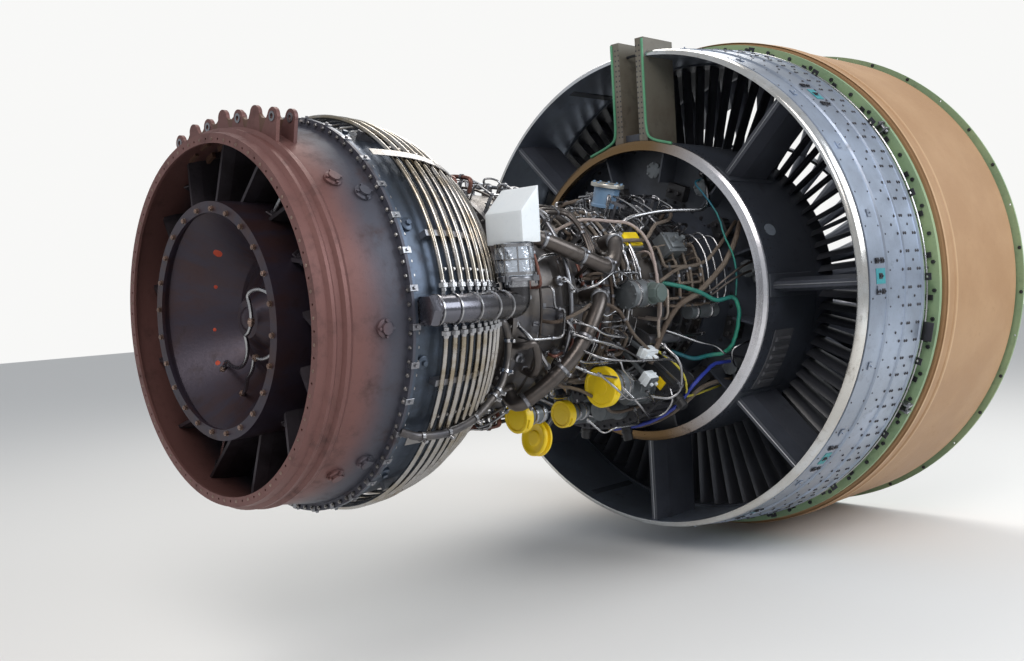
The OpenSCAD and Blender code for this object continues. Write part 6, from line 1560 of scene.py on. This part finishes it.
@dataclass
class Gearbox:
    """Ribs, cover bolts and pads of the accessory gearbox."""

    middle: float = -1.86
    radius: float = 0.565

    def pump(self) -> Piece:
        """A pump body with a flange, ports and a head.

        Returns:
            The piece, with its seat at the origin.
        """
        turned = Bench.lathe([(0.0, 0.0), (0.062, 0.0), (0.062, 0.012), (0.05, 0.016), (0.05, 0.06),
                              (0.056, 0.064), (0.056, 0.082), (0.048, 0.088),
                              (0.048, 0.15), (0.04, 0.16), (0.0, 0.16)], 32)
        port = Bench.rod(0.014, 0.04, 16, 0.0, 0.002, 1)
        port.rotation_euler = (math.pi / 2, 0.0, 0.0)
        port.location = (0.0, -0.036, 0.11)
        bolts = Bench.copies(hex_bolt(0.01, 0.006),
                             [Matrix.Rotation(k * math.pi / 4, 4, "Z")
                              @ Matrix.Translation((0.0555, 0.0, 0.012)) for k in range(8)])
        return Bench.join([turned, port, bolts])

    def build(self) -> None:
        """Builds ribs, bolts, pump bodies and filters."""
        bolts = []
        for x, facing in ((-1.77, Facing.FORE), (-1.95, Facing.AFT)):
            for r in (0.489, 0.641):
                bolts += [seat(x, r, 132.0 + i * 64.0 / 17, facing) for i in range(18)]
        Bench.done(Bench.copies(hex_bolt(0.012, 0.008), bolts), "gearbox_bolts", FASTENER)
        ribs = []
        for k in range(9):
            a = 134.0 + k * 7.5
            rib = Bench.block((0.15, 0.006, 0.012), bevel=0.002, steps=1)
            ribs.append(Bench.copies(rib, [seat(self.middle, 0.6485, a)]))
        belt = Bench.lathe([(0.6485, -1.782), (0.656, -1.784), (0.656, -1.796), (0.6485, -1.798)], 40, True,
                           130.6, 66.8)
        other = Bench.lathe([(0.6485, -1.922), (0.656, -1.924), (0.656, -1.936), (0.6485, -1.938)], 40, True,
                            130.6, 66.8)
        Bench.done(Bench.join(ribs + [belt, other]), "gearbox_ribs", GEARBOX_CAST)
        bowls = [seat(-1.95, 0.565, a, Facing.AFT, t) @ Matrix.Scale(0.62, 4)
                 for a, t in ((139.0, 0.0), (149.0, 120.0))]
        bowls += [seat(-1.77, 0.565, a, Facing.FORE, t) @ Matrix.Scale(0.8, 4)
                  for a, t in ((140.0, 30.0), (158.0, 200.0), (193.0, 90.0))]
        Bench.done(Bench.copies(self.pump(), bowls), "gearbox_pumps", GREY_ACCESSORY)
        filters = [seat(-1.86, 0.6485, a) @ Matrix.Scale(0.5, 4) for a in (137.5, 168.0, 190.0)]
        Bench.done(Bench.copies(self.pump(), filters), "gearbox_filters", DARK_UNIT)


# Turbine

@dataclass
class TurbineCase:
    """Unions of the cooling tubes, strap screws and bosses of the turbine case."""

    tubes: int = 9
    half_angle: float = 5.5

    def station(self, i: int) -> float:
        """Station of a cooling tube."""
        return -3.14 - 0.04325 * i

    def build(self) -> None:
        """Builds unions and their necks, screws, bosses and rails."""
        ends, necks = [], []
        for i in range(self.tubes):
            x = self.station(i)
            r = core_radius(x) + 0.0366
            for side in (-1.0, 1.0):
                a = 90.0 + side * self.half_angle
                where = place(x, r, a)
                inward = (place(x, r, a - side) - where).normalized()
                ends.append(aimed(where - inward * 0.006, inward, 0.9))
                necks.append([where.copy(), place(x, r - 0.004, 90.0 + side * 3.6)])
        Bench.done(Bench.copies(tube_nut(0.01), ends), "cooling_unions", BRIGHT_TUBE)
        Bench.done(Bench.tubes(necks, [0.0075] * len(necks), 1), "cooling_necks", BRIGHT_TUBE, smooth=60)
        rounds = []
        for i in range(self.tubes):
            x = self.station(i)
            rounds.append([place(x, core_radius(x) + 0.0366, 95.3 + 2.98 * k) for k in range(118)])
        Bench.done(Bench.tubes(rounds, [0.012 - 0.0012 * (i % 3) for i in range(self.tubes)], 2),
                   "cooling_tubes_smooth", TINTED_TUBE,
                   smooth=60, stands_for=("cooling_tubes",))
        drain = wound(((-3.05, 0.5, 96.0), (-3.045, 0.56, 96.5), (-2.985, 0.53, 102.0),
                       (-2.975, 0.54, 113.0), (-3.04, 0.61, 121.0),
                       (-3.235, 0.708, 125.5), (-3.41, 0.76, 125.0), (-3.56, 0.764, 123.6),
                       (-3.6, 0.732, 123.4)), 0.07)
        Bench.done(Bench.tubes([drain], [0.015], 4), "turbine_drain_duct", CORE_STEEL, smooth=60)
        band = Bench.join([Bench.lathe([(0.0151, -0.007), (0.0185, -0.007), (0.0185, 0.007),
                                        (0.0151, 0.007)], 24),
                           Bench.block((0.018, 0.012, 0.014), (0.026, 0.0, -0.007), 0.002, 1),
                           Bench.rod(0.0035, 0.034, 8, -0.017)])
        Bench.done(Bench.copies(band, [aimed(*along(drain, share))
                                       for share in (0.16, 0.3, 0.4, 0.44, 0.6, 0.78, 0.92)]),
                                       "drain_duct_bands", BRIGHT_TUBE)
        wide = []
        for a in (44.0, 125.0):
            route = [place(x, core_radius(x) + 0.051, a)
                     for x in (-3.59, -3.54, -3.48, -3.42, -3.36, -3.3, -3.24, -3.19)]
            for before, after in zip(route, route[1:]):
                length = (after - before).length
                strip = Bench.block((0.004, 0.034, length + 0.002), (0.0, 0.0, 0.0), 0.001, 1)
                wide.append(Bench.copies(strip, [aimed(before, after - before)]))
        Bench.done(Bench.join(wide), "wide_straps", CORE_BOLT)
        screws = []
        for s in range(9):
            for i in range(self.tubes - 1):
                x = self.station(i) - 0.0216
                screws.append(seat(x, core_radius(x) + 0.034, 39.5 + s * 40.0))
        Bench.done(Bench.copies(hex_bolt(0.009, 0.005), screws), "strap_screws", CORE_BOLT)
        boss = Bench.join([Bench.lathe([(0.0, -0.004), (0.024, -0.004), (0.024, 0.01), (0.015, 0.014),
                                        (0.0, 0.014)], 24), Bench.rod(0.011, 0.012, 6, 0.012, 0.001, 1)])
        seats = [seat(-3.555, core_radius(-3.555), a)
                 for a in (28.0, 66.0, 104.0, 142.0, 188.0, 226.0, 274.0, 322.0)]
        seats += [seat(-3.06, core_radius(-3.06), a)
                  for a in (20.0, 64.0, 126.0, 170.0, 214.0, 258.0, 304.0, 346.0)]
        Bench.done(Bench.copies(boss, seats), "turbine_bosses", TURBINE_CASE)


@dataclass
class FeedDuct:
    """Feed manifold, elbow, foil wrapped duct and white cover at 3 o'clock."""

    elbow: tuple[float, float, float] = (-3.11, -0.703, 0.0)
    radius: float = 0.05
    cover_half: tuple[float, float] = (0.0455, 0.0935)
    cover_front: float = 0.2005
    cover_back: float = 0.1105
    cover_foot: float = 0.2175

    def manifold(self) -> None:
        """Builds the round duct with its faceted end cap, seams and saddles."""
        x, y, _ = self.elbow
        route = bent([Vector((-3.555, -0.757, 0.0)), Vector((-3.4, -0.757, 0.0)), Vector((x, y, 0.0)),
                      Vector((x, y, 0.0615))], 0.075, 8)
        duct = Bench.tubes([route], [self.radius], 7)
        Bench.done(duct, "feed_duct", POLISHED, smooth=60, stands_for=("cooling_manifold",))
        cap = Bench.rod(0.0585, 0.046, 6, 0.0, 0.014, 2)
        Bench.done(Bench.copies(cap, [Matrix.Translation((-3.544, -0.757, 0.0))
                                      @ Matrix.Rotation(math.radians(-90), 4, "Y")]), "feed_duct_cap",
                                      POLISHED)
        seam = Bench.lathe([(0.05, -0.004), (0.0545, -0.003), (0.0545, 0.003), (0.05, 0.004)], 40)
        spots = [(Vector((-3.543, -0.757, 0.0)), Vector((-1.0, 0.0, 0.0)))] + [along(route, share)
            for share in (0.18, 0.36, 0.56, 0.72)]
        Bench.done(Bench.copies(seam, [aimed(w, d) for w, d in spots]), "feed_duct_seams", BRIGHT_TUBE)
        saddle = Bench.block((0.02, 0.07, 0.03), bevel=0.003)
        Bench.done(Bench.copies(saddle, [seat(sx, core_radius(sx) - 0.002, 90.0)
                                         for sx in (-3.56, -3.45, -3.34)]), "feed_duct_saddles", TURBINE_CASE)

    def wrapped(self) -> None:
        """Builds the stub, the crumpled foil sleeve with its tape and the clamp."""
        x, y, _ = self.elbow
        at = Matrix.Translation((x, y, 0.0))
        stub = Bench.lathe([(0.044, 0.06), (0.05, 0.06), (0.05, 0.1), (0.044, 0.1)], 40)
        Bench.done(Bench.copies(stub, [at]), "foil_duct_stub", BRIGHT_TUBE, smooth=60,
                   stands_for=("wrapped_duct",))
        rows = [0.1 + 0.117 * k / 12 for k in range(13)]
        outline = [(0.046, 0.0985), (0.069, 0.0985)] + [(0.072, h)
            for h in rows] + [(0.067, 0.217), (0.067, 0.108), (0.046, 0.108)]
        sleeve = Bench.lathe(outline, 64)
        draw = random.Random(5)
        waves = [(draw.uniform(20, 90), draw.uniform(2, 9), draw.uniform(0, 6)) for _ in range(9)]
        for v in sleeve.data.vertices:
            r = math.hypot(v.co.x, v.co.y)
            if r > 0.07:
                t = math.atan2(v.co.y, v.co.x)
                push = sum(math.sin(f * v.co.z + round(n) * t + s) for f, n, s in waves) / 9.0
                k = 1.0 - 0.0045 * abs(push) / r * 2.0
                v.co.x, v.co.y = v.co.x * k, v.co.y * k
        Bench.done(Bench.copies(sleeve, [at]), "foil_sleeve", FOIL, smooth=25)
        bands = [Bench.lathe([(0.069, h - w), (0.0728, h - w), (0.0728, h + w), (0.069, h + w)], 48)
                 for h, w in ((0.108, 0.006), (0.158, 0.003), (0.209, 0.006))]
        strips = [Bench.copies(Bench.block((0.0036, 0.006, 0.112), bevel=0.001, steps=1),
                               [Matrix.Rotation(math.radians(a), 4, "Z")
                                @ Matrix.Translation((0.0708, 0.0, 0.101))])
                  for a in (195.0, 235.0, 275.0, 330.0, 30.0, 90.0, 145.0)]
        Bench.done(Bench.copies(Bench.join(bands + strips), [at]), "foil_tape", BRIGHT_TUBE)
        clamp = Bench.lathe([(0.05, 0.0815), (0.062, 0.0815), (0.065, 0.086), (0.065, 0.094),
                             (0.062, 0.0985), (0.05, 0.0985)], 44)
        ears = Bench.copies(Bench.join([Bench.block((0.022, 0.008, 0.02), (0.0, 0.007, -0.01), 0.001, 1),
                                        Bench.block((0.022, 0.008, 0.02), (0.0, -0.007, -0.01), 0.001, 1),
                                        Bench.rod(0.004, 0.04, 8, -0.02)]),
                            [Matrix.Rotation(math.radians(a), 4, "Z")
                             @ Matrix.Translation((0.074, 0.0, 0.09)) for a in (200.0, 325.0, 80.0)])
        Bench.done(Bench.copies(Bench.join([clamp, ears]), [at]), "foil_duct_clamp", BARE_ALUMINIUM)

    def cover(self) -> None:
        """Builds the white cover with rounded folds and a slightly crumpled lower edge."""
        x, y, _ = self.elbow
        bpy.ops.object.select_all(action="DESELECT")
        bpy.ops.mesh.primitive_cube_add(size=2.0)
        box = bpy.context.object
        for v in box.data.vertices:
            top = v.co.z > 0
            height = (self.cover_front if v.co.x > 0 else self.cover_back) if top else 0.0
            v.co = Vector((v.co.x * self.cover_half[0], v.co.y * self.cover_half[1], height))
        with Bench.editing(box, "FACE"):
            bpy.ops.mesh.select_all(action="DESELECT")
        for face in box.data.polygons:
            face.select = face.normal.z < -0.9
        bpy.ops.object.mode_set(mode="EDIT")
        bpy.ops.mesh.delete(type="FACE")
        bpy.ops.mesh.select_all(action="SELECT")
        bpy.ops.mesh.subdivide(number_cuts=7)
        bpy.ops.object.mode_set(mode="OBJECT")
        draw = random.Random(9)
        waves = [(draw.uniform(25, 70), draw.uniform(25, 70), draw.uniform(0, 6)) for _ in range(6)]
        for v in box.data.vertices:
            low = max(0.0, 1.0 - v.co.z / 0.05)
            push = sum(math.sin(a * v.co.x + b * v.co.y + c) for a, b, c in waves) / 6.0
            side = Vector((math.copysign(1.0, v.co.x) if abs(v.co.x) > 0.04 else 0.0,
                           math.copysign(1.0, v.co.y) if abs(v.co.y) > 0.09 else 0.0, 0.0))
            v.co -= side * (0.0012 * abs(push) + 0.0045 * low * abs(push))
            v.co.z -= 0.004 * low * push if v.co.z < 0.001 else 0.0
        Bench.pick(box)
        skin = box.modifiers.new("wall", "SOLIDIFY")
        skin.thickness = 0.002
        skin.offset = -1.0
        bpy.ops.object.modifier_apply(modifier=skin.name)
        Bench.bevel(box, 0.0016, 2, 30.0)
        box.location = (x, y, self.cover_foot)
        Bench.done(box, "cover_skin", WHITE_COVER, smooth=30, stands_for=("duct_cover",))

    def build(self) -> None:
        """Builds the whole feed."""
        self.manifold()
        self.wrapped()
        self.cover()


# Exhaust

@dataclass
class ExhaustFrame:
    """Bosses, lug bushes, hub bolts, service tubes and oil tubes of the exhaust frame."""

    oil: tuple[tuple[tuple[float, float, float], ...], ...] = (
        ((-3.85, 0.366, 83.0), (-3.88, 0.314, 74.3), (-3.85, 0.136, 50.4), (-3.828, 0.065, 148.1),
         (-3.772, 0.262, 234.0), (-3.77, 0.314, 232.4)),
        ((-3.85, 0.372, 100.0), (-3.885, 0.355, 104.7), (-3.85, 0.179, 135.9), (-3.815, 0.212, 178.6),
         (-3.764, 0.306, 204.0)))

    reach: tuple[float, ...] = (0.722, 0.714, 0.736, 0.754)

    def build(self) -> None:
        """Builds the pieces from the frame inwards."""
        boss = Bench.join([Bench.lathe([(0.0, -0.006), (0.032, -0.006), (0.032, 0.006), (0.026, 0.01),
                                        (0.02, 0.01), (0.02, 0.02), (0.0, 0.02)], 28),
                           Bench.copies(hex_bolt(0.01, 0.006),
                                        [Matrix.Rotation(k * math.pi / 2, 4, "Z")
                                         @ Matrix.Translation((0.0262, 0.0, 0.009)) for k in range(4)])])
        seats = [seat(x, core_radius(x), a)
                 for x, a in ((-3.745, 49.0), (-3.665, 55.0), (-3.745, 142.0), (-3.665, 136.0), (-3.7, 94.0),
                              (-3.7, 190.0),
                                                        (-3.7, 236.0), (-3.745, 282.0), (-3.665, 322.0))]
        Bench.done(Bench.copies(boss, seats), "frame_bosses", HEAT_STAINED)
        webs = []
        for x0, x1 in ((-3.8262, -3.8398), (-3.7562, -3.7698)):
            for k in range(-3, 3):
                low = min(self.reach[abs(k)], self.reach[abs(k + 1)])
                web = Bench.lathe([(0.652, x0), (low + 0.01, x0), (low + 0.01, x1), (0.652, x1)], 10, True,
                                  k * 8.6 + 2.0, 4.6)
                for v in web.data.vertices:
                    r = math.hypot(v.co.y, v.co.z)
                    if r > 0.68:
                        t = (math.degrees(math.atan2(-v.co.y, v.co.z)) - (k * 8.6 + 4.3)) / 2.3
                        f = (r - 0.013 * max(0.0, 1.0 - t * t)) / r
                        v.co.y, v.co.z = v.co.y * f, v.co.z * f
                webs.append(web)
        Bench.done(Bench.join(webs), "lug_webs", LUG_BROWN)
        plug = Bench.lathe([(0.0, 0.016), (0.018, 0.014), (0.036, 0.007), (0.046, -0.003), (0.0, -0.003)], 32)
        Bench.done(Bench.copies(plug, [Matrix.Translation((-3.7965, 0.0, 0.0))
                                       @ Matrix.Rotation(math.radians(-90), 4, "Y")]), "cone_plug",
                                       DISH_METAL, smooth=60)
        marks = []
        for x, r, a, size in ((-3.787, 0.3205, 322.0, 0.024), (-3.763, 0.3005, 295.0, 0.009),
                              (-3.765, 0.302, 263.0, 0.008), (-3.779, 0.314, 238.5, 0.013)):
            out = place(0.0, 1.0, a)
            marks.append(Bench.copies(Bench.lathe([(0.0, 0.0016), (size * 0.7, 0.0012), (size, -0.0004),
                (0.0, -0.0016)], 24), [aimed(place(x, r, a), Vector((-0.64, -0.77 * out.y, -0.77 * out.z)))]))
        Bench.done(Bench.join(marks), "dish_marks", RED_MARK)
        bush = Bench.lathe([(0.0091, 0.0), (0.017, 0.0), (0.017, 0.003), (0.0091, 0.003)], 24)
        seats = []
        for x, facing in ((-3.84, Facing.AFT), (-3.826, Facing.FORE), (-3.77, Facing.AFT),
                          (-3.756, Facing.FORE)):
            seats += [seat(x, self.reach[abs(k)], k * 8.6, facing) for k in (-3, -1, 1, 3)]
        Bench.done(Bench.copies(bush, seats), "lug_bushes", BARE_ALUMINIUM)
        bolts = [seat(-3.934, 0.398, (i + 0.5) * 15.0, Facing.AFT) for i in range(24)]
        Bench.done(Bench.copies(hex_bolt(0.016, 0.009, True, 0.004), bolts), "hub_ring_bolts", HEAT_BOLT)
        rows = [seat(-3.9343, 0.638, i * 7.5 + 7.5, Facing.AFT) for i in range(48)]
        Bench.done(Bench.copies(Bench.lathe([(0.0, 0.003), (0.004, 0.0024), (0.0062, 0.0), (0.0, 0.0)], 8),
                                rows), "aft_ring_rivets", HEAT_BOLT, smooth=60)
        routes = [wound(stops, 0.05) for stops in self.oil]
        Bench.done(Bench.tubes(routes, [0.0075, 0.0075], 3), "oil_tubes_smooth", BRIGHT_TUBE, smooth=60,
                   stands_for=("oil_tubes",))
        ends = []
        for route in routes:
            ends += [aimed(route[0], route[0] - route[1], 0.75),
                     aimed(route[-1], route[-1] - route[-2], 0.75)]
            ends.append(aimed(*along(route, 0.45), 0.75))
        Bench.done(Bench.copies(tube_nut(0.01), ends), "oil_tube_unions", HEAT_BOLT)
        lines = [wound(((-3.8, 0.426, a), (-3.79, 0.54, a + 2.0), (-3.77, 0.655, a + 5.0)), 0.05)
                 for a in (33.0, 62.0, 118.0, 148.0, 205.0, 236.0, 262.0, 318.0)]
        Bench.done(Bench.tubes(lines, [0.009, 0.007] * 4, 2), "service_tubes", BRIGHT_TUBE, smooth=60)
        flanges = [aimed(line[0], line[1] - line[0], 1.3)
                   for line in lines] + [aimed(line[-1], line[-2] - line[-1], 1.3) for line in lines]
        pad = Bench.join([Bench.block((0.04, 0.028, 0.006), (0.0, 0.0, -0.002), 0.002, 1),
                          Bench.lathe([(0.0, 0.0), (0.011, 0.0), (0.011, 0.012), (0.0, 0.012)], 16)])
        Bench.done(Bench.copies(pad, flanges), "service_tube_pads", HOT_ALLOY)


# Camera, light and floor

@dataclass
class Studio:
    """Camera at the photograph's place, plain soft light and a pale floor."""

    eye: Vector = field(default_factory=lambda: Vector((-5.7467, -3.38, 0.0597)))
    yaw: float = 45.799
    pitch: float = -2.359
    roll: float = -3.298
    lens: float = 36.64
    floor_z: float = -1.352

    def camera(self) -> None:
        """Adds the camera."""
        yaw, pitch, roll = (math.radians(v) for v in (self.yaw, self.pitch, self.roll))
        ahead = Vector((math.cos(pitch) * math.cos(yaw), math.cos(pitch) * math.sin(yaw), math.sin(pitch)))
        side = Vector((math.sin(yaw), -math.cos(yaw), 0.0))
        up = side.cross(ahead)
        right = side * math.cos(roll) + up * math.sin(roll)
        top = up * math.cos(roll) - side * math.sin(roll)
        bpy.ops.object.camera_add()
        camera = bpy.context.object
        camera.matrix_world = Matrix((
            (right.x, top.x, -ahead.x, self.eye.x), (right.y, top.y, -ahead.y, self.eye.y),
            (right.z, top.z, -ahead.z, self.eye.z), (0.0, 0.0, 0.0, 1.0)))
        camera.data.lens = self.lens
        camera.data.sensor_width = 36.0
        camera.data.sensor_fit = "HORIZONTAL"
        bpy.context.scene.camera = camera

    def lamps(self) -> None:
        """Adds three large soft lamps that do not follow the camera."""
        for spot, aim, size, watts, tone in (
                ((1.2, -6.2, 3.2), (-1.2, -0.6, 0.0), 4.2, 300.0, (0.92, 0.96, 1.0)),
                ((-6.8, -3.4, 4.6), (-3.0, 0.0, 0.2), 3.6, 230.0, (1.0, 0.94, 0.9)),
                ((1.5, 2.5, 5.5), (-1.5, 0.0, 0.6), 4.0, 280.0, (1.0, 0.96, 0.9))):
            bpy.ops.object.light_add(type="AREA", location=spot)
            lamp = bpy.context.object
            lamp.data.energy = watts
            lamp.data.color = tone
            lamp.data.size = size
            lamp.rotation_mode = "QUATERNION"
            lamp.rotation_quaternion = (Vector(aim) - Vector(spot)).to_track_quat("-Z", "Y")

    def world(self) -> None:
        """Soft even light from all round, seen as white where no object is."""
        world = bpy.data.worlds.new("studio_world")
        bpy.context.scene.world = world
        world.use_nodes = True
        tree = world.node_tree
        tree.nodes.clear()
        out = tree.nodes.new("ShaderNodeOutputWorld")
        light = tree.nodes.new("ShaderNodeBackground")
        light.inputs["Color"].default_value = (0.93, 0.96, 1.0, 1.0)
        light.inputs["Strength"].default_value = 0.55
        shown = tree.nodes.new("ShaderNodeBackground")
        shown.inputs["Color"].default_value = (0.94, 0.94, 0.93, 1.0)
        shown.inputs["Strength"].default_value = 1.0
        path = tree.nodes.new("ShaderNodeLightPath")
        mix = tree.nodes.new("ShaderNodeMixShader")
        tree.links.new(path.outputs["Is Camera Ray"], mix.inputs[0])
        tree.links.new(light.outputs[0], mix.inputs[1])
        tree.links.new(shown.outputs[0], mix.inputs[2])
        tree.links.new(mix.outputs[0], out.inputs[0])

    def floor(self) -> None:
        """A plain pale floor."""
        bpy.ops.mesh.primitive_plane_add(size=60.0, location=(-2.0, 0.0, self.floor_z))
        ground = bpy.context.object
        ground.name = "floor"
        pale = bpy.data.materials.new("pale_floor")
        pale.use_nodes = True
        pale.node_tree.nodes["Principled BSDF"].inputs["Base Color"].default_value = (0.78, 0.78, 0.77, 1.0)
        pale.node_tree.nodes["Principled BSDF"].inputs["Roughness"].default_value = 0.85
        ground.data.materials.append(pale)

    def build(self) -> None:
        """Sets up the whole studio."""
        self.camera()
        self.lamps()
        self.world()
        self.floor()
        bpy.context.scene.view_settings.view_transform = "Standard"
        LOG.info("studio is set up")


def main() -> None:
    """Builds the studio and dresses the engine from the fan back to the exhaust."""
    logging.basicConfig(level=logging.INFO, format="%(message)s")
    Studio().build()
    dress_nodes()
    for assembly in (FrontFlange(), JointBand(), RearCase(), BypassDuct(), HubBack(), CoreFlanges(),
                     FuelSystem(), BleedPipes(),
                     Plumbing("bright_runs", BRIGHT_TUBE, BRIGHT_RUNS),
                     Plumbing("dark_runs", DARK_PIPE, DARK_RUNS),
                     Plumbing("pale_cables", PALE_CABLE, CABLES),
                     Plumbing("core_harness", HARNESS_BRAID, HARNESS),
                     Plumbing("taped_harness", TAPE_TEAL, TAPED),
                     Plumbing("yellow_harness", YELLOW_CABLE, YELLOW_RUN),
                     Plumbing("blue_harness", TAPE_BLUE, BLUE_RUN), *CLUTTER, Units(), Gearbox(),
                     TurbineCase(), FeedDuct(), ExhaustFrame()):
        LOG.info("building %s", type(assembly).__name__)
        assembly.build()


if __name__ == "__main__":
    main()
